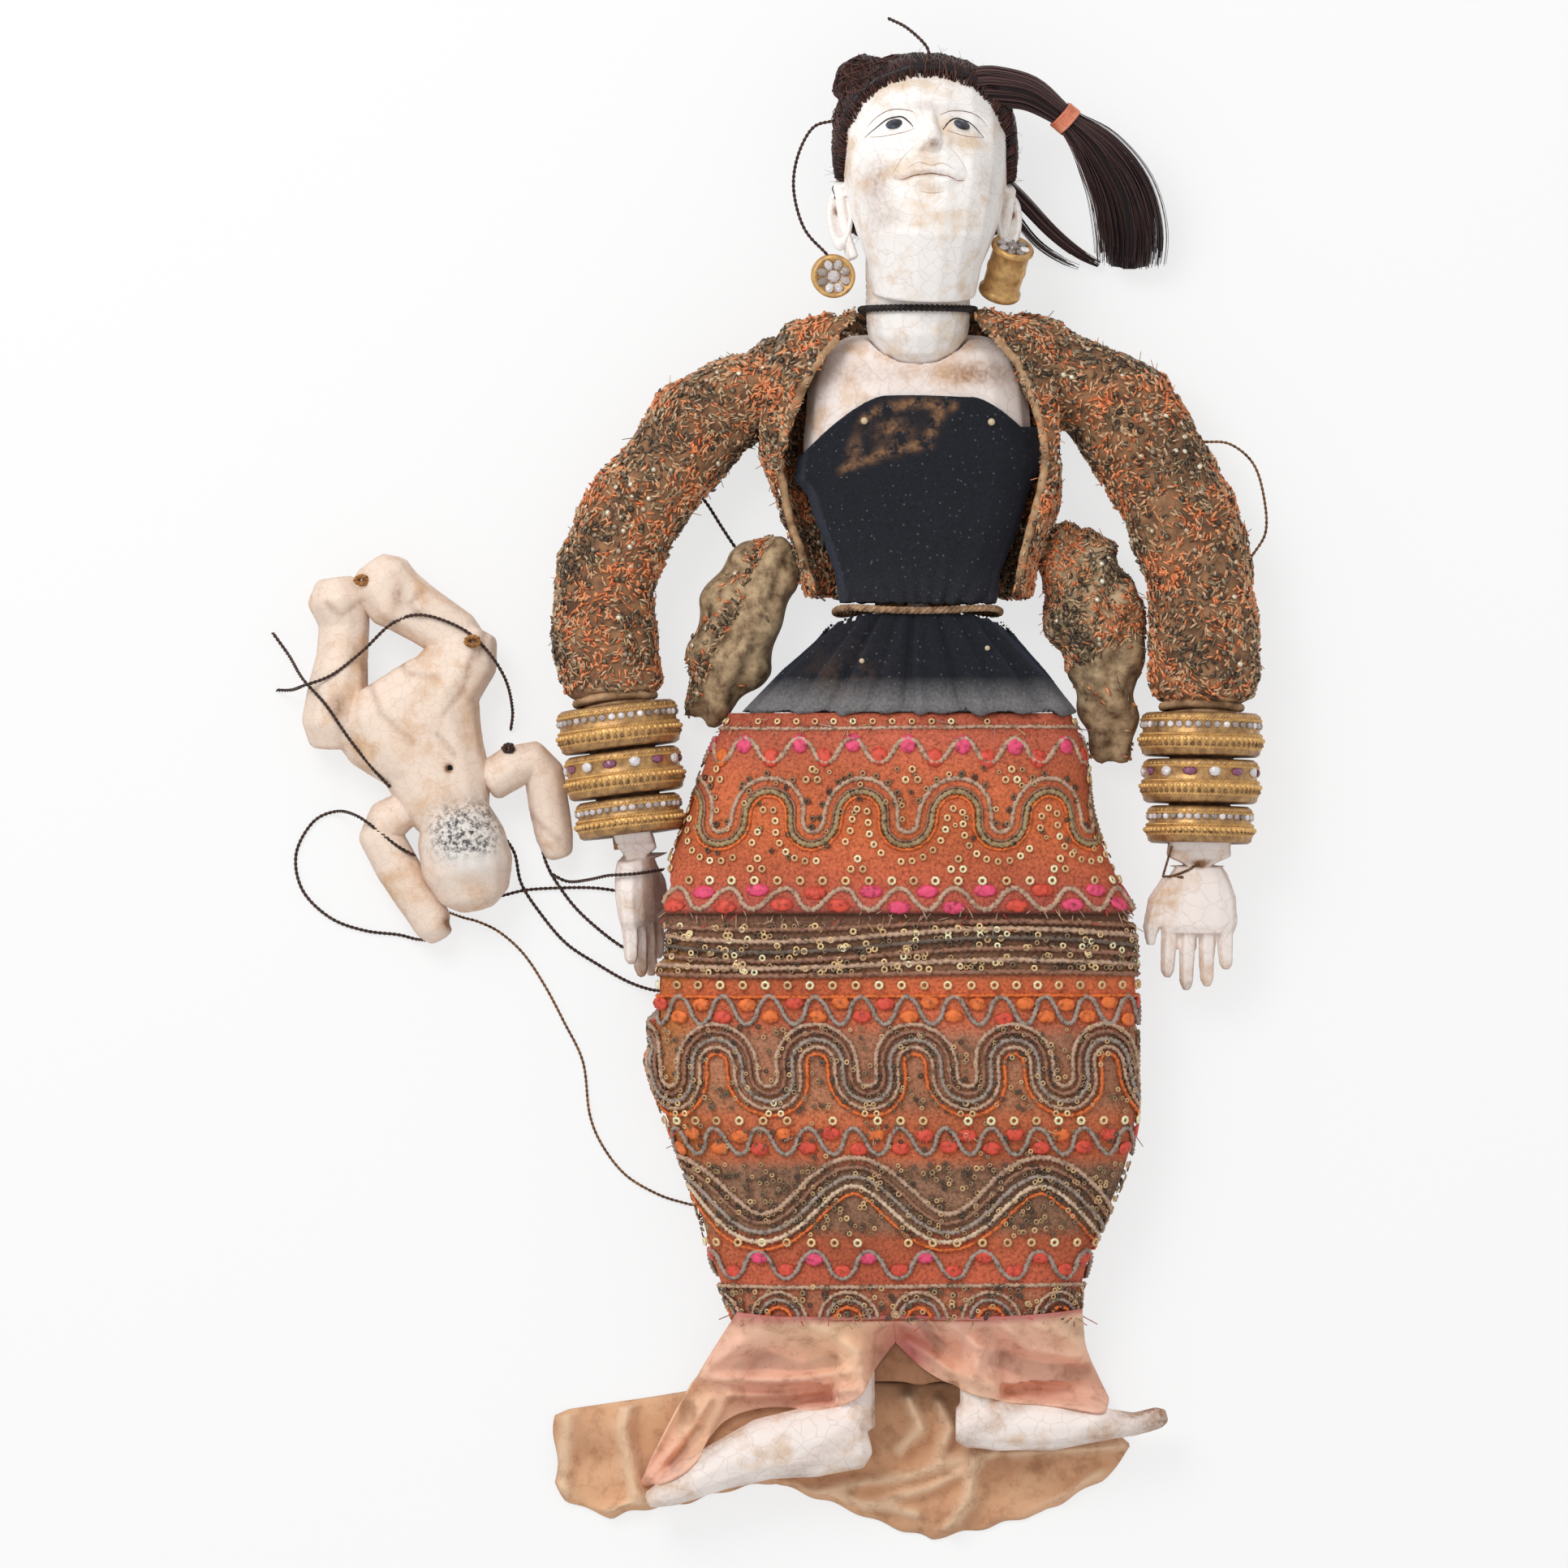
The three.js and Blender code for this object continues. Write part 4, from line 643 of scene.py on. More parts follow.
def lock(count, stations, rng, length=(0.86, 1.0), hug=(0.5, 1.04), radius=0.34):
    """Hairs that run together along stations (x, y, z, half width, half depth), in mm."""
    stations = rounded(np.array(stations, float), 5)
    way = np.gradient(stations[:, :3], axis=0)
    way /= np.linalg.norm(way, axis=1)[:, None]
    across = np.cross(way, [0, 0, 1.0])
    across /= np.linalg.norm(across, axis=1)[:, None]
    up = np.cross(across, way)
    lines = []
    for _ in range(count):
        turn = rng.uniform(0, 2 * math.pi)
        out = rng.uniform(*hug)
        twist = turn + rng.normal(0, 0.3) * np.linspace(0, 1, len(stations))
        off = (across * (np.cos(twist) * out * stations[:, 3])[:, None]
               + up * (np.sin(twist) * out * stations[:, 4])[:, None])
        points = (stations[:, :3] + off) * MM
        points[:, 2] = np.maximum(points[:, 2], 0.5 * MM)
        stop = int(len(points) * rng.uniform(*length))
        lines.append((points[:stop], radius * MM * np.linspace(1, 0.6, stop), rng.uniform(0, 1) ** 1.2))
    return lines


TAIL = [(30, 338, 50, 9, 8), (40, 338, 49, 9.4, 9), (56, 335, 49, 8, 8), (70, 326, 46, 5.4, 5.4), (76, 321, 45, 5.4, 5.4),
        (88, 309, 41, 10, 8), (99, 291, 32, 13.5, 8.6), (104, 272, 20, 14.5, 8.6), (104, 254, 10.5, 13.5, 6.5)]
tail_core = softened(["ponytail"], 1.5 * MM, 2)
reshape(tail_core, spots_of(tail_core) - normals_of(tail_core) * 1.2 * MM)
marked(tail_core, "tint", np.zeros(len(tail_core.vertices)))
place("tail_core", tail_core, hair_tail, "head", "hair", ["ponytail"])
tail = lock(520, TAIL, rng) + lock(60, TAIL[3:], rng, (0.9, 1.0), (1.0, 1.25), 0.2)
place("tail_hairs", tubes("tail_hairs", tail, 3), hair_tail, "head", "hair")
LOCK = [(38, 299, 36, 4, 4), (52, 287, 26, 3.6, 3.2), (67, 272, 15, 3.2, 2.6), (80, 262, 8, 2.6, 2.2), (92, 256, 5, 1.6, 1.6)]
SECOND_LOCK = [(44, 290, 26, 3, 3), (50, 279, 20, 1.8, 1.8), (60, 267, 12, 1.6, 1.5), (72, 259, 6, 1.4, 1.4), (82, 255, 4, 1, 1)]
side_hairs = lock(110, LOCK, rng, (0.75, 1.0), (0, 1.05), 0.3) + lock(34, SECOND_LOCK, rng, (0.7, 1), (0, 1.3), 0.24)
place("side_lock_hairs", tubes("side_lock_hairs", side_hairs, 3), hair_tail, "head", "hair", ["side_lock"])


def cloth_finish(name, low, high, thread=0.9, roughness=0.85, sheen=0.0, grain=9):
    """Plain woven cotton, faded: a fine thread grain and soft clouds of dirt."""
    made, tree, shader = finish(name, Roughness=roughness, Sheen_Weight=sheen)
    spot = node(tree, "TexCoord").outputs["Object"]
    cloud = node(tree, "TexNoise", {"Vector": spot, "Scale": 1 / (grain * MM), "Detail": 6.0, "Roughness": 0.6})
    shade = node(tree, "ValToRGB", {"Fac": cloud.outputs["Fac"]}, [(0.34, low), (0.62, high)])
    tree.links.new(shade.outputs[0], shader.inputs["Base Color"])
    weave = node(tree, "TexNoise", {"Vector": spot, "Scale": 1 / (thread * MM), "Detail": 2.0})
    bump = node(tree, "Bump", {"Height": weave.outputs["Fac"], "Strength": 0.6, "Distance": 0.3 * MM})
    tree.links.new(bump.outputs[0], shader.inputs["Normal"])
    return made


coral_cotton = cloth_finish("coral_cotton", "#B9583F", "#EE9A79", roughness=0.8)
band_way = np.array([6, -5, -1.0]) / math.sqrt(62)
band_side = np.cross(band_way, [0, 0, 1.0])
band_side /= np.linalg.norm(band_side)
band_up = np.cross(band_side, band_way)
wind = np.linspace(0, 5 * 2 * math.pi, 120)
coil = (np.array([73, 323.5, 45.5]) + band_way * (wind[:, None] / (5 * 2 * math.pi) - 0.5) * 6.2
        + 6.3 * (np.cos(wind)[:, None] * band_side + np.sin(wind)[:, None] * band_up)) * MM
knot = [(np.array([(46.5, 279.5, 22), (49, 280.5, 24), (51.5, 278, 21), (48.5, 276.6, 20.5), (47.5, 280, 22)]) * MM,
         1.1 * MM, 1.0)]
place("coral_band", tubes("coral_band", [(coil, 0.95 * MM, 0.5)], 8), coral_cotton, "head", "hair_ribbon", ["hair_band"])
place("coral_knot", tubes("coral_knot", knot, 8), coral_cotton, "head", "hair_ribbon")


# The ears
# Large pierced ears, cut flat against the head and whitened with it; the hole in each is painted dark, as shade.
for side in (-1, 1):
    shape = bmesh.new()
    bmesh.ops.create_uvsphere(shape, u_segments=28, v_segments=20, radius=1.0)
    ear = bpy.data.meshes.new("carved_ear")
    shape.to_mesh(ear)
    shape.free()
    spots = spots_of(ear)
    round_out = np.linalg.norm(spots[:, :2], axis=1)
    spots[:, 2] = spots[:, 2] * 0.8 + 0.35 * np.exp(-((round_out - 0.82) / 0.16) ** 2) * (spots[:, 2] > 0)
    spots[:, 2] -= 0.5 * near(spots[:, :2], (0.1 * side, 0.1), (0.5, 0.55)) * (spots[:, 2] > 0)
    spots[:, 0] *= 1 + 0.2 * spots[:, 1]
    local = spots * np.array([6.2, 15.5, 3.6]) + np.array([side * 39.5, 14, -0.5])
    reshape(ear, turned(HEAD_PLACE, local * MM))
    # The dark spot over the ear hole is painted shade; the middle is browned a little.
    marked(ear, "stain", 1.6 * near(local[:, :2], (side * 40.5, 18), (1.7, 2)) + 0.25 * (round_out < 0.7))
    place("carved_ear_" + ("left" if side > 0 else "right"), ear, face_ground, "head", "gesso")


# The ear ornaments
# Turned wooden cylinders, gilded and rubbed, with a flange at each end and cut glass stones
# cemented in the front face.
def spun(profile, place_at, sides=48):
    """A turned form from (radius, height) points in mm, from the axis at the foot to the top."""
    shape = bmesh.new()
    points = [shape.verts.new((r * MM, 0, h * MM)) for r, h in profile]
    for a, b in zip(points[:-1], points[1:]):
        shape.edges.new((a, b))
    bmesh.ops.spin(shape, geom=shape.verts[:] + shape.edges[:], axis=(0, 0, 1), cent=(0, 0, 0),
                   angle=2 * math.pi, steps=sides, use_merge=True)
    bmesh.ops.remove_doubles(shape, verts=shape.verts, dist=0.001 * MM)
    bmesh.ops.recalc_face_normals(shape, faces=shape.faces)
    bmesh.ops.transform(shape, matrix=place_at, verts=shape.verts)
    mesh = bpy.data.meshes.new("spun")
    shape.to_mesh(mesh)
    shape.free()
    return mesh


def axle(foot, top):
    """Stands the z axis at the foot, along the way to the top; both in mm."""
    foot, top = Vector(foot) * MM, Vector(top) * MM
    return Matrix.LocRotScale(foot, (top - foot).to_track_quat("Z", "Y"), None)


def gilt_finish(name, dark, gold, roughness):
    """Leaf gilding over wood, rubbed to ochre and brown, with dull grime in the low places."""
    made, tree, shader = finish(name, Roughness=roughness, Metallic=0.55)
    spot = node(tree, "TexCoord").outputs["Object"]
    wear = node(tree, "TexNoise", {"Vector": spot, "Scale": 1 / (3.5 * MM), "Detail": 6.0, "Roughness": 0.65})
    depth = node(tree, "Attribute", attribute_name="tint")
    soft = node(tree, "Math", {0: wear.outputs["Fac"], 1: 0.6}, operation="MULTIPLY")
    both = node(tree, "Math", {0: depth.outputs["Fac"], 1: 0.5, 2: soft.outputs[0]}, operation="MULTIPLY_ADD")
    shade = node(tree, "ValToRGB", {"Fac": both.outputs[0]}, [(0.32, dark), (0.52, "#B68C5C"), (0.72, gold)])
    tree.links.new(shade.outputs[0], shader.inputs["Base Color"])
    bump = node(tree, "Bump", {"Height": wear.outputs["Fac"], "Strength": 0.5, "Distance": 0.3 * MM})
    tree.links.new(bump.outputs[0], shader.inputs["Normal"])
    return made


gilding = gilt_finish("rubbed_gold_leaf", "#543A2D", "#EEC079", 0.42)
glass, tree, shader = finish("cut_clear_glass", Roughness=0.12, Specular_IOR_Level=0.9)
tint = node(tree, "Attribute", attribute_name="tint")
shade = node(tree, "ValToRGB", {"Fac": tint.outputs["Fac"]},
             [(0.0, "#6E6156"), (0.35, "#A79A93"), (0.6, "#D8CFD0"), (0.8, "#F4F0F0"), (1.0, "#8A4A6C")])
tree.links.new(shade.outputs[0], shader.inputs["Base Color"])
facets = node(tree, "TexVoronoi", {"Vector": node(tree, "TexCoord").outputs["Object"], "Scale": 1 / (1.4 * MM)})
bump = node(tree, "Bump", {"Height": facets.outputs["Distance"], "Strength": 0.9, "Distance": 0.6 * MM})
tree.links.new(bump.outputs[0], shader.inputs["Normal"])
rng = np.random.default_rng(11)
EAR_PLUGS = {"left": ((41.8, 241.7, 42), (48.5, 264, 56)), "right": ((-36, 251, 31), (-35.3, 249.5, 55))}
for side, (foot, top) in EAR_PLUGS.items():
    stand = axle(foot, top)
    length = (Vector(top) - Vector(foot)).length
    profile = [(0, 0), (9.4, 0), (10, 0.8), (10, 2.6), (9.3, 3.4), (8.7, 4.2), (8.9, length * 0.45),
               (9.3, length * 0.5), (9.3, length * 0.55), (8.9, length * 0.6), (8.8, length - 4),
               (9.5, length - 3.2), (10.1, length - 2.4), (10.1, length - 0.8), (9.4, length),
               (8.2, length - 0.2), (7.8, length - 1), (0, length - 1)]
    plug = spun(profile, stand, 56)
    marked(plug, "tint", np.full(len(plug.vertices), 0.6))
    place("ear_cylinder_" + side, plug, gilding, "head", "gilt", ["ear_plug_" + side])
    turn = np.arange(8) / 8 * 2 * math.pi
    flat = np.c_[5.7 * np.cos(turn), 5.7 * np.sin(turn), np.full(8, length - 0.5)]
    flat = np.vstack([[0, 0, length - 0.5], flat]) * MM
    sizes = np.vstack([[6.4, 6.4, 3.2], np.tile([4.3, 5.4, 2.2], (8, 1))]) * MM
    out = turned(stand.to_3x3().to_4x4(), np.tile([0, 0, 1.0], (9, 1)))
    along = turned(stand.to_3x3().to_4x4(), np.vstack([[1, 0, 0], np.c_[-np.sin(turn), np.cos(turn), 0 * turn]]))
    gems = planted("ear_stones_" + side, stone(8, 5), frames(turned(stand, flat), out, sizes, along=along),
                   rng.uniform(0.1, 0.82, 9))
    place("ear_stones_" + side, gems, glass, "head", "gilt")


# The neck cord
# A black twisted cord that hides the joint between neck and jacket.
black_cord = string_finish("black_twisted_cord", "#0E0A0A", "#352826", 0.7)
around = np.linspace(0, 2 * math.pi, 90)
ring = np.c_[4 + 26.6 * np.cos(around), np.full(90, 234.4), 43 + 26.6 * np.sin(around)] * MM
place("neck_ring", tubes("neck_ring", plies(ring, 3.4 * MM, 5 * MM), 6), black_cord, "head", "dark_string", ["neck_cord"])


# The trunk and limbs
# Light hardwood carved with a knife; the chest and hands are whitened like the face, the parts
# under the clothes are bare. The arms and legs hang on wooden pins.
carved_wood, tree, shader = finish("knife_cut_hardwood", Roughness=0.6)
spot = node(tree, "TexCoord").outputs["Object"]
grain_way = node(tree, "Mapping", {"Vector": spot, "Scale": (1.0, 0.12, 1.0)})
grain = node(tree, "TexNoise", {"Vector": grain_way.outputs[0], "Scale": 1 / (2.4 * MM), "Detail": 7.0})
shade = node(tree, "ValToRGB", {"Fac": grain.outputs["Fac"]}, [(0.3, "#6E4324"), (0.55, "#A87448"), (0.75, "#C4935F")])
tree.links.new(shade.outputs[0], shader.inputs["Base Color"])
bump = node(tree, "Bump", {"Height": grain.outputs["Fac"], "Strength": 0.35, "Distance": 0.3 * MM})
tree.links.new(bump.outputs[0], shader.inputs["Normal"])
BARE = ["neck_toggle", "waist_pin", "hip_pin", "pelvis_block"]
BARE += [part + side for part in ("upper_arm_", "forearm_", "thigh_") for side in ("left", "right")]
for name in BARE:
    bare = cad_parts[name].data
    bare.materials.clear()
    bare.materials.append(carved_wood)

white_wood = gesso_finish("whitened_carved_wood", "#FFF3EC", "#E5C4A7", "#996C49", craze=9)
chest = softened(["chest_block"], 1.7 * MM, 4)
spots = spots_of(chest)
# Painted shadow: a darker band across the chest at y 204, where the neck's foot meets it, heavier at x 30.
rim = np.exp(-((spots[:, 1] - 204 * MM) / (7 * MM)) ** 2)
marked(chest, "stain", 0.35 * rim + 0.5 * near(spots, np.array([30, 204, 60]) * MM, np.array([12, 5, 30]) * MM))
place("carved_chest", chest, white_wood, "chest", "gesso", ["chest_block"])


# The bodice
# Black-blue cotton velvet, cut in one with a flared skirt piece and gathered at the waist. It is
# rubbed brown on the breast, full of lint, and faded grey towards its hem; its faces that turn
# sideways are painted lighter grey, as sheen.
def velvet_finish(name):
    """Cotton velvet: almost black, with a blue sheen at grazing angles, lint and bald patches, and greyer where its
    attribute says: fading towards the hem, and painted sheen on the sides.
    """
    made, tree, shader = finish(name, Roughness=0.95, Sheen_Weight=0.22, Sheen_Roughness=0.45)
    shader.inputs["Sheen Tint"].default_value = linear("#7C8FB8")
    spot = node(tree, "TexCoord").outputs["Object"]
    pile = node(tree, "TexNoise", {"Vector": spot, "Scale": 1 / (1.6 * MM), "Detail": 5.0, "Roughness": 0.7})
    ground = node(tree, "ValToRGB", {"Fac": pile.outputs["Fac"]}, [(0.35, "#0A0B10"), (0.6, "#151822"), (0.78, "#2C313E")])
    fluff = node(tree, "TexVoronoi", {"Vector": spot, "Scale": 1 / (3.4 * MM)})
    dots = node(tree, "MapRange", {"Value": fluff.outputs["Distance"], "From Min": 0.1, "From Max": 0.17,
                                   "To Min": 0.3, "To Max": 0.0})
    lint = node(tree, "Mix", {0: dots.outputs[0], 6: ground.outputs[0], 7: linear("#8C8E96")}, data_type="RGBA")
    darkened = node(tree, "Attribute", attribute_name="stain")
    bald = node(tree, "TexNoise", {"Vector": spot, "Scale": 1 / (7 * MM), "Detail": 8.0, "Roughness": 0.7})
    edge = node(tree, "MapRange", {"Value": bald.outputs["Fac"], "From Min": 0.42, "From Max": 0.62})
    amount = node(tree, "Math", {0: darkened.outputs["Fac"], 1: edge.outputs[0]}, operation="MULTIPLY", use_clamp=True)
    brown = node(tree, "Mix", {0: amount.outputs[0], 6: lint.outputs[2], 7: linear("#8A6446")}, data_type="RGBA")
    faded = node(tree, "Attribute", attribute_name="faded")
    grey = node(tree, "Math", {0: faded.outputs["Fac"], 1: pile.outputs["Fac"]}, operation="MULTIPLY", use_clamp=True)
    old = node(tree, "Mix", {0: grey.outputs[0], 6: brown.outputs[2], 7: linear("#8E8B8B")}, data_type="RGBA")
    tree.links.new(old.outputs[2], shader.inputs["Base Color"])
    bump = node(tree, "Bump", {"Height": pile.outputs["Fac"], "Strength": 0.9, "Distance": 0.6 * MM})
    tree.links.new(bump.outputs[0], shader.inputs["Normal"])
    return made


velvet = velvet_finish("rubbed_black_velvet")
WAIST = 94 * MM
bodice = softened(["bodice"], 1.35 * MM, 4)
spots = spots_of(bodice)
out = normals_of(bodice)
rise = np.maximum(spots[:, 1] - WAIST, 0)
fan = (spots[:, 0] - 4 * MM) / (1 + rise / (34 * MM))
fold = np.zeros(len(spots))
for at, deep in ((-27, 1.0), (-19, 1.4), (-11, 1.8), (-5, 1.5), (0, 2.0), (5, 1.6), (11, 1.8), (19, 1.3), (27, 1.0)):
    fold -= deep * np.exp(-((fan / MM - at) / 1.5) ** 2) + 0.55 * -deep * np.exp(-((fan / MM - at - 3.2) / 1.9) ** 2)
fold *= np.exp(-rise / (13 * MM)) * (out[:, 2] > 0)
sag = 0.5 * np.sin(spots[:, 0] / (9 * MM) + spots[:, 1] / (14 * MM)) + 0.4 * np.sin(spots[:, 1] / (6 * MM) - spots[:, 0] / (17 * MM))
hem = np.exp(-((spots[:, 1] - 190 * MM) / (5 * MM)) ** 2)
# The top edge is cut in an arch: its two ends lie lower, the right one most.
x_mm = spots[:, 0] / MM
arch = 27 * np.clip(-(x_mm + 12) / 38, 0, 1) ** 1.5 + 14 * np.clip((x_mm - 30) / 22, 0, 1) ** 1.5
arch *= np.clip((spots[:, 1] / MM - 148) / 40, 0, 1)
moved = spots + out * ((1.5 * fold + sag * 0.6 + 0.5 * hem) * MM)[:, None]
moved[:, 1] -= arch * MM
reshape(bodice, moved)
flat = spots[:, :2] / MM
patch = (near_line(flat, np.array([(-30, 163), (-8, 168), (8, 172), (14, 186)], float), 2.6)
         + near_line(flat, np.array([(-22, 186), (2, 190), (20, 189)], float), 2.2)
         + 0.9 * near(flat, (-8, 178), (8, 5)) + 0.7 * near(flat, (-26, 172), (3, 7)))
marked(bodice, "stain", 1.3 * patch * (out[:, 2] > 0.2))
# Lighter grey on the faces that turn sideways is painted sheen; towards the waist it is fading.
marked(bodice, "faded", 0.1 * (np.abs(out[:, 0]) > 0.75) + 0.1 * np.exp(-rise / (20 * MM)))
place("velvet_bodice", bodice, velvet, "chest", "black_velvet", ["bodice"])

peplum = softened(["bodice_peplum"], 1.3 * MM, 3)
spots = spots_of(peplum)
out = normals_of(peplum)
drop = np.maximum(WAIST - spots[:, 1], 0)
fan = (spots[:, 0] - 4 * MM) / (1 + drop / (33 * MM))
fold = np.zeros(len(spots))
for at, deep in ((-33, 1.4), (-25, 1.2), (-17, 2.2), (-9, 1.3), (-2, 2.6), (2, 1.2), (9, 2.4), (17, 1.3), (25, 2.0), (33, 1.2)):
    fold += 0.8 * deep * np.exp(-((fan / MM - at - 2.4) / 2.3) ** 2) - deep * np.exp(-((fan / MM - at) / 1.3) ** 2)
fold *= np.clip(0.35 + drop / (18 * MM), 0, 1) * (out[:, 2] > 0)
reshape(peplum, spots + out * (1.4 * fold * MM)[:, None])
marked(peplum, "stain", 0.25 * near(spots[:, :2], np.array([-30, 60]) * MM, 16 * MM))
marked(peplum, "faded", 1.3 * np.clip((drop / MM - 31) / 12, 0, 1))
skirt_piece = place("velvet_peplum", peplum, velvet, None, "black_velvet", ["bodice_peplum"])
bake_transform(skirt_piece)

bead_white, tree, shader = finish("white_glass_bead", Roughness=0.2)
shader.inputs["Base Color"].default_value = linear("#D2BC9C")


def dropped(tree_under, x, y, lift):
    """Where something laid on a surface from above comes to rest, and the way out; in mm. Past
    its edge, the nearest place on it."""
    spot, out, _, _ = tree_under.ray_cast(Vector((x * MM, y * MM, 0.4)), Vector((0, 0, -1)))
    if spot is None:
        spot, out, _, _ = tree_under.find_nearest(Vector((x, y, 60)) * MM)
    return np.array(spot) + np.array(out) * lift * MM, np.array(out)


breast, lap = tree_of(bodice), tree_of(peplum)
rng = np.random.default_rng(3)
for name, body, under, spots_at, size in (
        ("breast_beads", "chest", breast, [(-21, 182), (38, 181.5)], 3.6),
        ("lap_bead", "pelvis", lap, [(36, 76), (-22, 70)], 2.6)):
    seats = [dropped(under, x, y, 0.5) for x, y in spots_at]
    beads = planted(name, stone(10, 7), frames(np.array([s[0] for s in seats]), np.array([s[1] for s in seats]),
                                               size * MM, rng=rng), 0.0)
    place(name, beads, bead_white, body, "black_velvet")

oval = np.linspace(0, 2 * math.pi, 110)
bulge = 2 / 2.4
tie = np.c_[4 + 38.6 * np.sign(np.cos(oval)) * np.abs(np.cos(oval)) ** bulge,
            95 + 1.2 * np.sin(oval * 3) - 1.6 * np.abs(np.cos(oval)) ** 2,
            34 + 26.9 * np.sign(np.sin(oval)) * np.abs(np.sin(oval)) ** bulge] * MM
tape = string_finish("beige_cotton_tape", "#6B4E38", "#C9A27C", 0.9)
place("waist_tape", tubes("waist_tape", plies(tie, 3.4 * MM, 8 * MM, 3), 6), tape, "pelvis", "waist_cord", ["waist_tie"])


# The jacket
# A short open court jacket, thickly embroidered all over with coiled metal thread, purl and
# sequins that have rusted, dulled and frayed. Its edges are rolled over a tan cotton cord.
def scattered(mesh, count, rng, keep=None):
    """Points spread evenly over a mesh, with the way out at each."""
    mesh.calc_loop_triangles()
    corners = np.empty(len(mesh.loop_triangles) * 3, "i")
    mesh.loop_triangles.foreach_get("vertices", corners)
    a, b, c = spots_of(mesh)[corners.reshape(-1, 3)].transpose(1, 0, 2)
    out = np.cross(b - a, c - a)
    area = np.linalg.norm(out, axis=1)
    share = area if keep is None else area * keep((a + b + c) / 3, out / (area[:, None] + 1e-12))
    pick = rng.choice(len(area), count, p=share / share.sum())
    u, v = rng.random((2, count, 1))
    over = u + v > 1
    u, v = np.where(over, 1 - u, u), np.where(over, 1 - v, v)
    points = a[pick] + u * (b - a)[pick] + v * (c - a)[pick]
    return points, out[pick] / area[pick][:, None]


def purl(sides=3):
    shape = bmesh.new()
    bmesh.ops.create_cone(shape, cap_ends=True, segments=sides, radius1=0.5, radius2=0.34, depth=1.0)
    bmesh.ops.rotate(shape, matrix=Matrix.Rotation(math.pi / 2, 3, "Y"), verts=shape.verts)
    return bit_of(shape)


def sequin(sides=7):
    """A dished disc: a low cone with its tip up, and a thin edge."""
    shape = bmesh.new()
    bmesh.ops.create_cone(shape, cap_ends=True, segments=sides, radius1=0.5, radius2=0.18, depth=0.22)
    return bit_of(shape)


def clustered(points, rng, size=13):
    """Soft patches of a number between 0 and 1, in clusters of about the size in mm."""
    p = points / (size * MM)
    wave = (np.sin(p[:, 0] + 1.7 * np.sin(p[:, 1] * 0.7)) + np.sin(p[:, 1] * 1.1 + 1.3 * np.sin(p[:, 0] * 0.8 + p[:, 2]))
            + np.sin(p[:, 2] * 0.9 + p[:, 0] * 0.6 - p[:, 1] * 0.5))
    return np.clip(0.5 + wave / 6 + rng.normal(0, 0.3, len(points)), 0, 1)


metal_thread, tree, shader = finish("rusted_metal_thread", Roughness=0.55, Metallic=0.25)
tint = node(tree, "Attribute", attribute_name="tint")
shade = node(tree, "ValToRGB", {"Fac": tint.outputs["Fac"]},
             [(0.0, "#5D4D40"), (0.18, "#86755F"), (0.36, "#B79F7E"), (0.52, "#EAC69F"), (0.68, "#D99161"),
              (0.84, "#E87B4A"), (1.0, "#FFAD77")])
tree.links.new(shade.outputs[0], shader.inputs["Base Color"])
dull_sequin, tree, shader = finish("tarnished_sequins", Roughness=0.35, Metallic=0.5)
tint = node(tree, "Attribute", attribute_name="tint")
shade = node(tree, "ValToRGB", {"Fac": tint.outputs["Fac"]},
             [(0.0, "#453C33"), (0.4, "#8E7C68"), (0.75, "#C5B095"), (1.0, "#FFF7DE")])
tree.links.new(shade.outputs[0], shader.inputs["Base Color"])
backing = cloth_finish("brown_backing_cloth", "#5A3E2C", "#A37652", thread=1.4)


def embroidered(name, mesh, threads, sequins, rng, keep=None, size=8, tone=0.0):
    """Couch purl and sequins over a cloth; gives the pieces that ride with it."""
    points, out = scattered(mesh, threads, rng, keep)
    loose = rng.random(threads) < 0.018
    swirl = np.stack([np.sin(points[:, 1] / (7 * MM)), np.cos(points[:, 0] / (6 * MM)), 0 * points[:, 0]], axis=1)
    way = swirl + rng.normal(0, 0.75, (threads, 3))
    way -= (way * out).sum(axis=1)[:, None] * out
    way /= np.linalg.norm(way, axis=1)[:, None] + 1e-9
    lift = np.where(loose, rng.uniform(0.5, 1.2, threads), rng.uniform(0.0, 0.32, threads))[:, None]
    along = way * np.cos(lift) + out * np.sin(lift)
    up = out * np.cos(lift) - way * np.sin(lift)
    long = np.where(loose, rng.uniform(4.5, 7, threads), rng.uniform(2.0, 3.9, threads))
    thick = np.where(loose, 0.55, rng.uniform(1.15, 1.9, threads))
    tints = np.clip(clustered(points, rng, size) + tone, 0, 1)
    work = planted(name + "_purl", purl(), frames(points + out * 0.45 * MM + along * (long * 0.3 * MM)[:, None], up,
                                                  np.c_[long, thick, thick] * MM, along=along), tints)
    points, out = scattered(mesh, sequins, rng, keep)
    out = out + rng.normal(0, 0.22, out.shape)
    discs = planted(name + "_sequins", sequin(), frames(points + out * 1.1 * MM, out, np.array([3.2, 3.2, 2.6]) * MM, rng=rng),
                    rng.random(sequins) ** 1.5)
    for piece in (work, discs):
        low = spots_of(piece)
        low[:, 2] = np.maximum(low[:, 2], 0.2 * MM)
        reshape(piece, low)
    return [place(name + "_purl", work, metal_thread, None, "embroidery"),
            place(name + "_sequins", discs, dull_sequin, None, "embroidery")]


def rumpled(mesh, deep, rng, size=9):
    """Push the surface in and out in soft random lumps."""
    spots = spots_of(mesh)
    height = np.zeros(len(spots))
    for share in (1.0, 0.6, 0.35):
        ways = rng.normal(0, 1 / (size * MM * share), (5, 3))
        height += share * np.sin(spots @ ways.T + rng.uniform(0, 6, 5)).sum(axis=1) / 3
    moved = spots + normals_of(mesh) * (height * deep * MM)[:, None]
    moved[:, 2] = np.maximum(moved[:, 2], 0.1 * MM)
    reshape(mesh, moved)


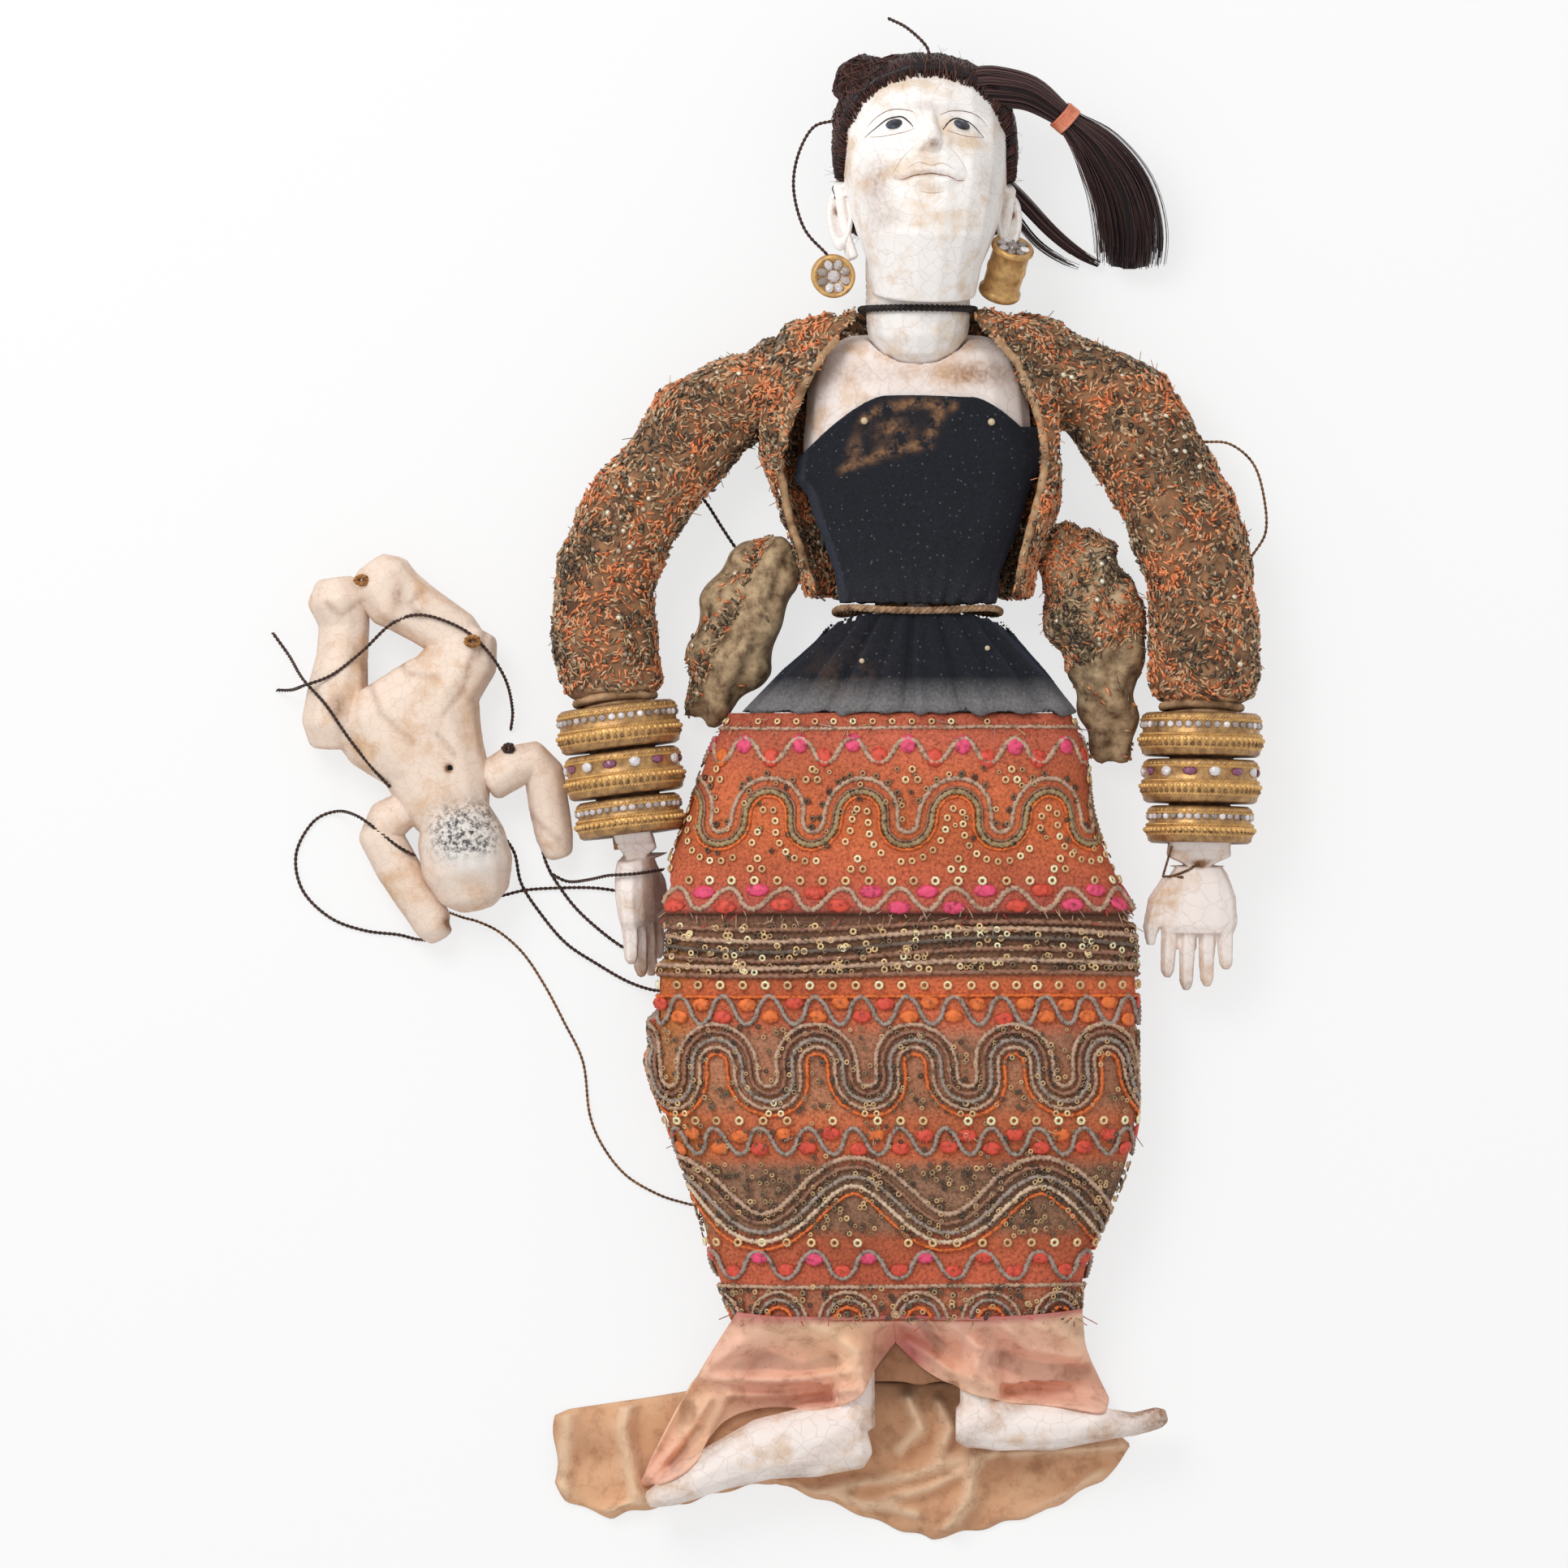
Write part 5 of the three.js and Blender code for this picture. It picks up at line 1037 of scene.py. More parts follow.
rng = np.random.default_rng(21)
jacket = softened(["jacket_body"], 1.9 * MM, 2)
rumpled(jacket, 0.9, rng, 12)
coat = place("jacket_cloth", jacket, backing, "chest", "embroidery", ["jacket_body"])
visible = lambda middle, out: np.where(out[:, 2] > -0.3, 1.0, 0.35 * (middle[:, 2] > 3 * MM)) * np.where(
    (np.abs(middle[:, 0] - 4 * MM) < 62 * MM) & (out[:, 2] < -0.1) & (middle[:, 2] > 30 * MM), 0, 1)
for piece in embroidered("jacket", jacket, 8800, 520, rng, visible):
    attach(piece, "chest")

FRONT_EDGES = {"right": [(-32, 221), (-38, 214), (-44, 206), (-58, 176), (-62, 150), (-56, 134), (-50, 120), (-43, 102)],
               "left": [(39, 221), (45, 214), (52, 204), (62, 172), (60, 150), (52, 120), (49.5, 102)]}
front = tree_of(jacket)
rolled = []
for side, sign in (("right", -1), ("left", 1)):
    line = rounded(np.array(FRONT_EDGES[side], float), 8)
    seats = np.array([dropped(front, x + sign * 2.2, y, -0.2)[0] for x, y in line])
    seats[:, 0] -= sign * 1.0 * MM
    seats = np.stack([np.convolve(np.pad(seats[:, k], 3, mode="edge"), np.ones(7) / 7, "valid") for k in range(3)], axis=1)
    rolled.append((seats, 1.9 * MM * (1 + 0.1 * np.sin(np.arange(len(seats)) * 1.9)), 0.5))
tan_cotton = cloth_finish("tan_cotton_piping", "#7C5A3C", "#C8A27A", thread=0.7)
place("rolled_front_edges", tubes("rolled_front_edges", rolled, 10), tan_cotton, "chest", "embroidery")

ARMS = {"left": ((80, 210, 28), (138, 114, 28), (136, -13, 31.5)),
        "right": ((-80, 203, 28), (-145, 113, 28), (-130, -9, 31.5))}
for side, (shoulder, elbow, wrist) in ARMS.items():
    sleeve = softened(["sleeve_upper_" + side, "sleeve_lower_" + side], 1.9 * MM, 3)
    rumpled(sleeve, 1.15, rng, 11)
    # The sleeve is set in under the jacket's shoulder.
    arm_way = np.array((Vector(elbow) - Vector(shoulder)).normalized())
    moved = spots_of(sleeve)
    reach = (moved / MM - np.array(shoulder)) @ arm_way
    moved[:, 0] -= np.sign(shoulder[0]) * np.clip((26 - reach) * 0.75, 0, 20) * MM
    moved[:, 1] -= np.clip((10 - reach) * 0.25, 0, 5) * MM
    reshape(sleeve, moved)
    made = [place("sleeve_cloth_" + side, sleeve, backing, None, "embroidery",
                  ["sleeve_upper_" + side, "sleeve_lower_" + side])]
    outer = lambda middle, out: np.where((out[:, 2] > -0.2), 1.0, 0.4) * np.where(middle[:, 1] < (wrist[1] + 66) * MM, 0.0, 1.0)
    made += embroidered("sleeve_" + side, sleeve, 8400, 420, rng, outer)
    low = Vector(elbow) + (Vector(elbow) - Vector(shoulder)).normalized() * -16
    high = Vector(elbow) + (Vector(wrist) - Vector(elbow)).normalized() * 16
    for piece in made:
        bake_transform(piece)
    cuff_way = (Vector(wrist) - Vector(elbow)).normalized()
    down = (Vector(wrist) - Vector(elbow)).length - 64
    for i, (radius, shift) in enumerate(((19.2, -3), (18.2, 1.5), (17.2, 6))):
        hoop = np.linspace(0, 2 * math.pi, 60)
        around = np.c_[radius * np.cos(hoop), radius * np.sin(hoop), (0.8 * np.sin(hoop * 2 + i))] * MM
        stand = axle(tuple(Vector(elbow) + cuff_way * (down + shift)), tuple(Vector(elbow) + cuff_way * (down + shift + 5)))
        place(f"sleeve_binding_{side}_{i + 1}", tubes("binding", [(turned(stand, around), 2.1 * MM, 0.5)], 8),
              tan_cotton, "forearm_" + side, "embroidery")


# The bangles
# Three turned wooden rings on each wrist, built up in lacquer and gilded, with twisted wire, rows
# of granules and glass stones set round them; the middle one carries larger white and ruby ones.
rng = np.random.default_rng(51)
dark_lacquer = gilt_finish("grimy_lacquer_beads", "#2E2622", "#7A6A58", 0.6)
for side, (shoulder, elbow, wrist) in ARMS.items():
    way = (Vector(wrist) - Vector(elbow)).normalized()
    for number, R in enumerate((29.0, 28.0, 25.6), start=1):
        low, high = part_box(f"bangle_{side}_{number}")
        centre = (low + high) / 2 / MM
        H = 20.4 if number < 3 else 17.4
        stand = axle(tuple(centre), tuple(centre + way * 10))
        h = H / 2
        profile = [(16.8, -h + 1), (16.8, h - 1), (18.5, h - 0.2), (R - 3.0, h), (R - 1.4, h - 1.0), (R - 0.9, h - 3.6),
                   (R - 0.5, h - 5.6), (R, h - 7.4), (R - 0.4, 1.2), (R - 1.5, 0.2), (R - 1.7, -h + 5.2), (R - 1.0, -h + 4.0),
                   (R - 1.6, -h + 1.2), (R - 3.2, -h + 0.1), (18.5, -h + 0.2)]
        ring = spun(profile + profile[:1], stand, 72)
        local = turned(stand.inverted(), spots_of(ring)) / MM
        radius = np.hypot(local[:, 0], local[:, 1])
        marked(ring, "tint", np.clip(0.25 + 0.45 * (radius - R + 3) / 3, 0, 0.75) * np.where(local[:, 2] > h - 5, 0.75, 1))
        name = f"gilt_bangle_{side}_{number}"
        place(name, ring, gilding, "forearm_" + side, "gilt", [f"bangle_{side}_{number}"])
        hoop = np.linspace(0, 2 * math.pi, 120)
        lines = []
        for at, r in ((-h + 3.6, R - 1.1), (0.4, R - 0.9), (h - 3.8, R - 1.3)):
            lines += plies(turned(stand, np.c_[r * np.cos(hoop), r * np.sin(hoop), np.full(120, at)] * MM), 1.7 * MM, 3.4 * MM)
        place(name + "_wires", tubes("wires", [(p, r, 0.75) for p, r, _ in lines], 4), gilding, "forearm_" + side, "gilt")

        def row(count, radius, at, turn0=0.0):
            turn = (np.arange(count) + turn0) / count * 2 * math.pi
            flat = np.c_[np.cos(turn), np.sin(turn), 0 * turn]
            points = turned(stand, (flat * radius + [0, 0, at]) * MM)
            around = np.c_[-np.sin(turn), np.cos(turn), 0 * turn]
            aim = stand.to_3x3().to_4x4()
            return points, turned(aim, flat), turned(aim, around)

        count = 14 if number == 2 else 38
        points, out, along = row(count, R - 1.3, -h / 2 + 0.8)
        if number == 2:
            tints, sizes = np.where(np.arange(14) % 2, 0.7, 1.0), np.where((np.arange(14) % 2)[:, None], (6.2, 5.6, 3.2), (7.4, 4.2, 2.6))
        else:
            tints, sizes = np.clip(rng.normal(0.5, 0.24, count), 0.1, 0.8), np.tile((3.7, 3.5, 2.4), (count, 1))
        place(name + "_stones", planted("stones", stone(7, 4), frames(points, out, sizes * MM, along=along), tints), glass,
              "forearm_" + side, "gilt")
        for size, at, r, tint, material, tag in ((2.5, 2.6, R - 0.1, 0.85, gilding, "_granules"),
                                                 (2.3, h - 5.4, R - 0.7, 0.3, dark_lacquer, "_dark_beads"),
                                                 (2.0, -h + 2.2, R - 2.0, 0.6, gilding, "_rim_beads")):
            points, out, along = row(54, r, at)
            beads = planted("beads", stone(6, 4), frames(points, out, np.array([size, size, size]) * MM, along=along), tint)
            place(name + tag, beads, material, "forearm_" + side, "gilt")


# The hands and feet
# Carved with the wrists and shins and whitened, and browned at the fingertips and toes. The faces
# that turn sideways are painted darker, as shade and as ground rubbed off the edges. A brown thread
# runs out of a hole in the left hand, which is painted dark as shade.
for name in ("hand_left", "hand_right", "shin_left", "shin_right"):
    limb = softened([name], (0.8 if name.startswith("hand") else 1.1) * MM, 3)
    spots, out = spots_of(limb), normals_of(limb)
    rumpled(limb, 0.12, rng, 4)
    if name.startswith("hand"):
        # The wrist is as broad as the bangle's hole lets through.
        _, _, wrist = ARMS[name[5:]]
        share = np.clip((spots[:, 1] / MM - (wrist[1] - 13)) / 5, 0, 1)
        span = 15.0 if name == "hand_left" else 11.5
        half = np.abs(spots[share > 0.99, 0] / MM - wrist[0]).max()
        moved = spots_of(limb)
        moved[:, 0] = (wrist[0] + (moved[:, 0] / MM - wrist[0]) * (1 + share * max(span / half - 1, 0))) * MM
        moved[:, 2] = (wrist[2] + (moved[:, 2] / MM - wrist[2]) * (1 + share * 0.5)) * MM
        reshape(limb, moved)
    # Darker where the surface turns sideways: painted shade, standing also for ground rubbed off the edges.
    edge = np.clip(1.1 - np.abs(out[:, 2]), 0, 1) ** 1.5
    cloud = 0.5 + 0.5 * np.sin(spots[:, 0] / (5 * MM) + 2 * np.sin(spots[:, 1] / (7 * MM)))
    if name.startswith("hand"):
        low = spots[:, 1].min()
        darkened = 0.55 * edge + 0.5 * near(spots[:, 1:2], np.array([low]), 9 * MM) * cloud
        if name == "hand_left":
            # The hole the thread comes out of is not cut: a dark spot is painted there, as shade.
            darkened += 1.8 * near(spots[:, :2], np.array([136, -24.5]) * MM, 1.8 * MM)
    else:
        toe = -150 if name == "shin_right" else 120
        darkened = 0.5 * edge * cloud + 0.8 * near(spots[:, :1], np.array([toe]) * MM, 14 * MM)
        darkened += 0.4 * np.clip(np.sin(spots[:, 0] / (9 * MM) - spots[:, 1] / (6 * MM)) - 0.3, 0, 1)
    marked(limb, "stain", darkened)
    place("carved_" + name, limb, white_wood, name, "gesso", [name])
palm = tree_of(bpy.data.objects["carved_hand_left"].data)
thread_line = np.array([dropped(palm, x, y, 0.5)[0] for x, y in
                        rounded(np.array([(117, -31), (122, -30.6), (128, -28.6), (133, -26), (136, -24.4)], float), 5)])
place("hand_thread", tubes("hand_thread", plies(thread_line, 1.3 * MM, 3 * MM), 5), pale_cord, "hand_left", "pale_string")


# The jacket's tails
# The jacket flares below the waist, where its two fronts fall back: the tan cotton lining of the
# right one shows, crumpled and dirty, and the left one is embroidered outside with its lining out.
lining = cloth_finish("stained_tan_lining", "#6E543C", "#C8AC86", thread=0.7, grain=6)
for side, sign in (("right", -1), ("left", 1)):
    tail = softened(["jacket_tail_" + side], 1.4 * MM, 2)
    spots, out = spots_of(tail), normals_of(tail)
    across, down = spots[:, 0] / MM, spots[:, 1] / MM
    ridges = (2.6 * np.sin(across / 3.6 + down / 9 * sign + 1.2 * np.sin(down / 8)) + 1.6 * np.sin(across / 2.1 - down / 6 + 2)
              + 1.3 * np.sin(down / 4.4 + across / 11))
    ridges = np.sign(ridges) * np.abs(ridges) ** 0.85
    moved = spots + out * (ridges * 0.75 * MM)[:, None]
    moved[:, 2] = np.maximum(moved[:, 2], 0.2 * MM)
    reshape(tail, moved)
    made = [place("jacket_tail_cloth_" + side, tail, lining, None, "plain_cloth" if side == "right" else "embroidery",
                  ["jacket_tail_" + side])]
    if side == "right":
        keep = lambda m, o: np.exp(-((m[:, 0] + (62 + (130 * MM - m[:, 1]) / MM * 0.52) * MM) / (7 * MM)) ** 2) * (o[:, 2] > -0.2) * (
            m[:, 0] < (-64 - (130 * MM - m[:, 1]) / MM * 0.46) * MM) + 0.001
        made += embroidered("tail_" + side, tail, 260, 30, rng, keep)
    else:
        keep = lambda m, o: (m[:, 1] > (74 + 0.5 * (m[:, 0] / MM - 92)) * MM) * np.where(o[:, 2] > -0.4, 1.0, 0.2) + 0.02
        made += embroidered("tail_" + side, tail, 2000, 130, rng, keep)
    for piece in made:
        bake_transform(piece)


# The skirt
# A wrapped skirt of orange-red cotton, folded over itself below the hips and covered with couched
# beaded cords, satin-stitched drops and rings of sequins. It hangs flattened round both legs.
SKIRT_SECTIONS = np.array([
    (-5, 46, 32, 80, 30), (-6, 26, 32, 88, 34), (-7.5, 0, 32, 93.5, 35), (-9, -24, 31, 103, 34),
    (-11, -52, 30, 116, 33), (-10, -78, 29, 117, 32), (-7, -124.5, 28, 114, 31),
    (-2, -167.3, 26, 103, 29), (-3, -204.5, 24, 90, 27.5), (-1, -238, 23, 81, 26)], float)
ROW_STEP = 2.0
SKIRT_TOP, SKIRT_HEM, FOLD_AT = 46.0, -238.0, -47.5
skirt_under = [tree_of(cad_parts[name].data) for name in ("skirt_upper", "skirt_lower")]


def skirt_row(y, columns=181):
    """Points round the skirt at a height, evenly spaced from the back seam round the front, in mm."""
    along = rounded(SKIRT_SECTIONS, 8)
    x, _, z, wide, deep = [np.interp(-y, -along[:, 1], along[:, k]) for k in range(5)]
    turn = math.pi / 2 - np.linspace(-math.pi, math.pi, 1441)
    p = np.c_[x + wide * np.sign(np.cos(turn)) * np.abs(np.cos(turn)) ** 0.8, np.full(1441, y),
              np.maximum(z + deep * np.sign(np.sin(turn)) * np.abs(np.sin(turn)) ** 0.8, 2.6)]
    length = run(p)
    even = np.linspace(0, length[-1], columns)
    return np.stack([np.interp(even, length, p[:, k]) for k in range(3)], axis=1), length[-1]


heights = np.arange(SKIRT_TOP, SKIRT_HEM - 0.1, -ROW_STEP)
made = [skirt_row(y) for y in heights]
skirt_rows = np.array([m[0] for m in made])
girth = np.array([m[1] for m in made])
middle = skirt_rows.mean(axis=1, keepdims=True)
outward = skirt_rows - middle
outward[:, :, 1] = 0
outward /= np.linalg.norm(outward, axis=2, keepdims=True)
# The right hand lies in a hollow of the cloth, found on the solid by rays from outside.
sunk = np.zeros(skirt_rows.shape[:2])
for i, j in zip(*np.nonzero((skirt_rows[:, :, 0] < -70) & (heights[:, None] > -110) & (heights[:, None] < 20))):
    start = Vector((skirt_rows[i, j] + outward[i, j] * 60) * MM)
    hits = [tree.ray_cast(start, Vector(-outward[i, j]))[3] for tree in skirt_under]
    hits = [h for h in hits if h is not None]
    if hits:
        sunk[i, j] = max(min(hits) / MM - 60, 0)
sunk = np.where(sunk > 2.5, np.minimum(sunk + 1.5, 30), 0)
for axis in (0, 1, 0, 1):
    sunk = np.maximum(sunk, np.maximum(np.roll(sunk, 1, axis), np.roll(sunk, -1, axis)) * 0.9)
for _ in range(2):
    sunk = (sunk + np.roll(sunk, 1, 0) + np.roll(sunk, -1, 0) + np.roll(sunk, 1, 1) + np.roll(sunk, -1, 1)) / 5
wave_u = np.linspace(-1, 1, skirt_rows.shape[1])[None, :]
billow = (0.8 * np.sin(heights[:, None] / 17 + 9 * wave_u) + 0.7 * np.sin(heights[:, None] / 29 - 14 * wave_u + 1)
          + 0.5 * np.sin(heights[:, None] / 9 + 23 * wave_u))
flap = 1.5 * np.exp(-(((heights[:, None] - FOLD_AT - 3) / 5.5) ** 2)) * (heights[:, None] > FOLD_AT - 1)
below = -1.2 * (heights[:, None] < FOLD_AT) * np.exp(-((heights[:, None] - FOLD_AT) / 9) ** 2)
skirt_rows = skirt_rows + outward * (billow * 0.8 + flap + below - sunk)[:, :, None]
skirt_rows[:, :, 2] = np.maximum(skirt_rows[:, :, 2], 2.6)
skirt_out = np.cross(np.gradient(skirt_rows, axis=1), np.gradient(skirt_rows, axis=0))
skirt_out /= np.linalg.norm(skirt_out, axis=2, keepdims=True) + 1e-9
if (skirt_out * outward).sum() < 0:
    skirt_out = -skirt_out


def on_skirt(s, y, lift=0.5):
    """A place on the skirt, s mm round from the middle of the front and y up; and the way out."""
    row = np.clip((SKIRT_TOP - np.asarray(y, float)) / ROW_STEP, 0, len(heights) - 1.001)
    i = row.astype(int)
    f = row - i
    around = girth[i] * (1 - f) + girth[i + 1] * f
    column = ((np.asarray(s, float) / around + 0.5) % 1.0) * (skirt_rows.shape[1] - 1)
    j = np.minimum(column.astype(int), skirt_rows.shape[1] - 2)
    g = column - j
    got = []
    for table in (skirt_rows, skirt_out):
        top = table[i, j] * (1 - g)[:, None] + table[i, j + 1] * g[:, None]
        low = table[i + 1, j] * (1 - g)[:, None] + table[i + 1, j + 1] * g[:, None]
        got.append(top * (1 - f)[:, None] + low * f[:, None])
    out = got[1] / (np.linalg.norm(got[1], axis=1)[:, None] + 1e-9)
    return (got[0] + out * np.reshape(lift, (-1, 1))) * MM, out


def girth_at(y):
    return float(np.interp(-y, -heights, girth))


# The dark brown band at -48, just under the fold, is painted shadow of the overhanging cloth.
CLOTH_BANDS_AND_FOLD_SHADOW = [(46, "#CE6A4C"), (34, "#D97358"), (19, "#DF7851"), (-8, "#E47C4A"), (-30, "#DD7351"), (-45, "#D1685A"),
               (-48, "#6F4937"), (-52, "#98715A"), (-74, "#AD7E61"), (-79, "#EE7E4F"), (-98, "#E77E5A"),
               (-106, "#C38A6D"), (-136, "#CC8E6A"), (-143, "#E48358"), (-160, "#E77E53"), (-168, "#AB836A"),
               (-194, "#B78A6D"), (-200, "#DD7751"), (-219, "#E27353"), (-226, "#CC8566"), (-238, "#CA7156")]
skirt_ground, tree, shader = finish("couched_orange_cotton", Roughness=0.9)
ground_bands = node(tree, "Attribute", attribute_name="ground")
spot = node(tree, "TexCoord").outputs["Object"]
stitch = node(tree, "TexNoise", {"Vector": spot, "Scale": 1 / (1.5 * MM), "Detail": 5.0, "Roughness": 0.7})
shade = node(tree, "ValToRGB", {"Fac": stitch.outputs["Fac"]}, [(0.3, "#8E8078"), (0.5, "#E2DAD4"), (0.68, "#FFFFFF")])
worked = node(tree, "Mix", {0: 1.0, 6: ground_bands.outputs["Color"], 7: shade.outputs[0]}, data_type="RGBA", blend_type="MULTIPLY")
tree.links.new(worked.outputs[2], shader.inputs["Base Color"])
bump = node(tree, "Bump", {"Height": stitch.outputs["Fac"], "Strength": 0.8, "Distance": 0.6 * MM})
tree.links.new(bump.outputs[0], shader.inputs["Normal"])


def banded_cloth(mesh, s, y):
    """The cloth's colour by its bands, one of them painted shadow under the fold, with faded and golden patches at the
    sides.
    """
    colour = np.array([linear(c) for _, c in CLOTH_BANDS_AND_FOLD_SHADOW])
    at = np.array([-b for b, _ in CLOTH_BANDS_AND_FOLD_SHADOW])
    got = np.stack([np.interp(-y, at, colour[:, k]) for k in range(4)], axis=1)
    patch = np.clip(0.5 + 0.5 * np.sin(s / 31 + 1.3 * np.sin(y / 23)) * np.sin(y / 19 + s / 47), 0, 1)[:, None]
    got[:, :3] *= 0.8 + 0.4 * patch
    gold = (np.exp(-((s + 108) / 16) ** 2) * (y < -60) * (0.4 + 0.6 * np.sin(y / 9) ** 2))[:, None]
    got = got * (1 - 0.7 * gold) + 0.7 * gold * np.array(linear("#C98A3A"))
    mesh.attributes.new("ground", "FLOAT_COLOR", "POINT").data.foreach_set("color", got.astype("f").ravel())


def skirt_cloth(name, first, last, sink, nodes):
    """A run of the skirt's rows as cloth of 1.2 mm, closed at both edges."""
    columns = skirt_rows.shape[1] - 1
    grid = (skirt_rows[first:last] - skirt_out[first:last] * sink)[:, :-1]
    grid[:, :, 2] = np.maximum(grid[:, :, 2], 2.5)
    count = last - first
    index = np.arange(count * columns).reshape(count, columns)
    after = np.roll(index, -1, axis=1)
    faces = np.stack([index[:-1], index[1:], after[1:], after[:-1]], axis=2).reshape(-1, 4)
    mesh = bpy.data.meshes.new(name)
    mesh.from_pydata((grid.reshape(-1, 3) * MM).tolist(), [], faces.tolist())
    round_s = ((np.arange(columns) / columns - 0.5)[None, :] * girth[first:last, None]).ravel()
    banded_cloth(mesh, round_s, np.repeat(heights[first:last], columns))
    flat = bmesh.new()
    flat.from_mesh(mesh)
    bmesh.ops.recalc_face_normals(flat, faces=flat.faces)
    area = sum(f.calc_area() for f in flat.faces)
    flat.to_mesh(mesh)
    flat.free()
    body = bpy.data.objects.new("draft", mesh)
    bpy.context.scene.collection.objects.link(body)
    thick = body.modifiers.new("thick", "SOLIDIFY")
    thick.thickness = 1.2 * MM
    thick.offset = -1
    solid = bpy.data.meshes.new_from_object(body.evaluated_get(bpy.context.evaluated_depsgraph_get()))
    bpy.data.objects.remove(body)
    made = place(name, solid, skirt_ground, None, "skirt_cloth", nodes)
    return made


cut = int((SKIRT_TOP + 49) / ROW_STEP)
upper_pieces = [skirt_cloth("skirt_cloth_upper", 0, cut + 1, 0.0, ["skirt_upper"])]
lower_pieces = [skirt_cloth("skirt_cloth_lower", cut - 1, len(heights), 0.9, ["skirt_lower"])]

# The cords: each is one line of thread round the skirt, couched so that it looks like beads.
THREADS = {"tan": 0.05, "olive": 0.15, "orange": 0.25, "magenta": 0.35, "red": 0.45, "brown": 0.55, "grey": 0.65,
           "dark": 0.75, "gold": 0.85, "light": 0.95}
couching, tree, shader = finish("couched_beaded_cord", Roughness=0.6)
tint = node(tree, "Attribute", attribute_name="tint")
palette = node(tree, "ValToRGB", {"Fac": tint.outputs["Fac"]},
               [(0.0, "#D6B49B"), (0.1, "#B7A076"), (0.2, "#F77F3A"), (0.3, "#F95483"), (0.4, "#EA5641"), (0.5, "#A97B64"),
                (0.6, "#B4A499"), (0.7, "#78675B"), (0.8, "#E6C691"), (0.9, "#F3DABE")])
palette.color_ramp.interpolation = "CONSTANT"
age = node(tree, "TexNoise", {"Vector": node(tree, "TexCoord").outputs["Object"], "Scale": 1 / (2.5 * MM), "Detail": 5.0})
dust = node(tree, "ValToRGB", {"Fac": age.outputs["Fac"]}, [(0.3, "#9C9088"), (0.5, "#ECE6E0"), (0.7, "#FFFFFF")])
aged = node(tree, "Mix", {0: 1.0, 6: palette.outputs[0], 7: dust.outputs[0]}, data_type="RGBA", blend_type="MULTIPLY")
tree.links.new(aged.outputs[2], shader.inputs["Base Color"])


def resampled(points, step):
    length = run(points)
    even = np.arange(0, length[-1], step)
    return np.stack([np.interp(even, length, points[:, k]) for k in range(points.shape[1])], axis=1)


def meander(y, half_height, period, phase, offset):
    """A winding line of half circles round the skirt, or one parallel to it at the offset."""
    around = girth_at(y)
    period = around / max(round(around / period), 1)
    quarter = period / 4
    straight = half_height - quarter
    points = []
    for k in np.arange(-around / 2 - period, around / 2 + period, period):
        start = k + phase
        for side, radius in ((1, quarter + offset), (-1, quarter - offset)):
            turn = np.linspace(math.pi, 0, 13)
            points += [(start + (0 if side > 0 else period / 2) + radius * math.cos(t),
                        y + side * (straight + radius * math.sin(t))) for t in turn]
    return np.array(points)


def zigzag(y, half_height, period, phase, offset=0.0, sharp=0.75):
    around = girth_at(y)
    period = around / max(round(around / period), 1)
    s = np.arange(-around / 2, around / 2 + 1, 0.8)
    swing = np.sin((s - phase) / period * 2 * math.pi)
    swing = np.sign(swing) * np.abs(swing) ** sharp
    return np.c_[s, y + half_height * swing + offset]


def rolling(y, half_height, period, phase, offset):
    """A long smooth wave; the offset is square to it."""
    line = zigzag(y, half_height, period, phase, 0.0, 1.0)
    way = np.gradient(line, axis=0)
    way /= np.linalg.norm(way, axis=1)[:, None]
    return line + np.c_[-way[:, 1], way[:, 0]] * offset


cords = {"upper": [], "lower": []}
rings = {"upper": [], "lower": []}


def couch(zone, line, colour, radius=1.0, step=1.15, lift=0.55):
    line = resampled(line, step)
    points, _ = on_skirt(line[:, 0] + rng.normal(0, 0.14, len(line)), line[:, 1] + rng.normal(0, 0.14, len(line)), lift)
    cords[zone].append((points, radius * MM * (1 + 0.24 * np.cos(np.arange(len(line)) * math.pi)), THREADS[colour]))


def ring_row(zone, line, step, size, keep=0.94):
    line = resampled(line, step)
    line = line[rng.random(len(line)) < keep] + rng.normal(0, 0.25, (1, 2))
    rings[zone].append(np.c_[line, np.full(len(line), size)])


def level(y, amount=0.0):
    s = np.arange(-girth_at(y) / 2, girth_at(y) / 2, 1.0)
    return np.c_[s, y + amount * np.sin(s / 37)]


rng = np.random.default_rng(41)
# The upper flounce, down to the fold.
couch("upper", level(39, 0.5), "tan", 0.9)
couch("upper", zigzag(28.5, 5.6, 26, -1.5, sharp=0.85), "tan", 1.3)
for offset, colour, radius in ((0, "olive", 1.35), (1.9, "brown", 0.7), (6.2, "tan", 1.2), (-2.3, "orange", 0.8)):
    couch("upper", meander(-3, 12.5, 45, -15.3, offset), colour, radius)
ring_row("upper", meander(-3, 12.5, 45, -15.3, -7.2), 5.4, 3.9)
ring_row("upper", meander(-3, 12.5, 45, -15.3, 8.3), 6.4, 3.3, 0.75)
ring_row("upper", level(-32.3), 10.6, 4.9)
ring_row("upper", level(42), 9.0, 3.6, 0.6)
couch("upper", zigzag(-40.5, 4.9, 26, -1.0, sharp=0.85), "tan", 1.3)
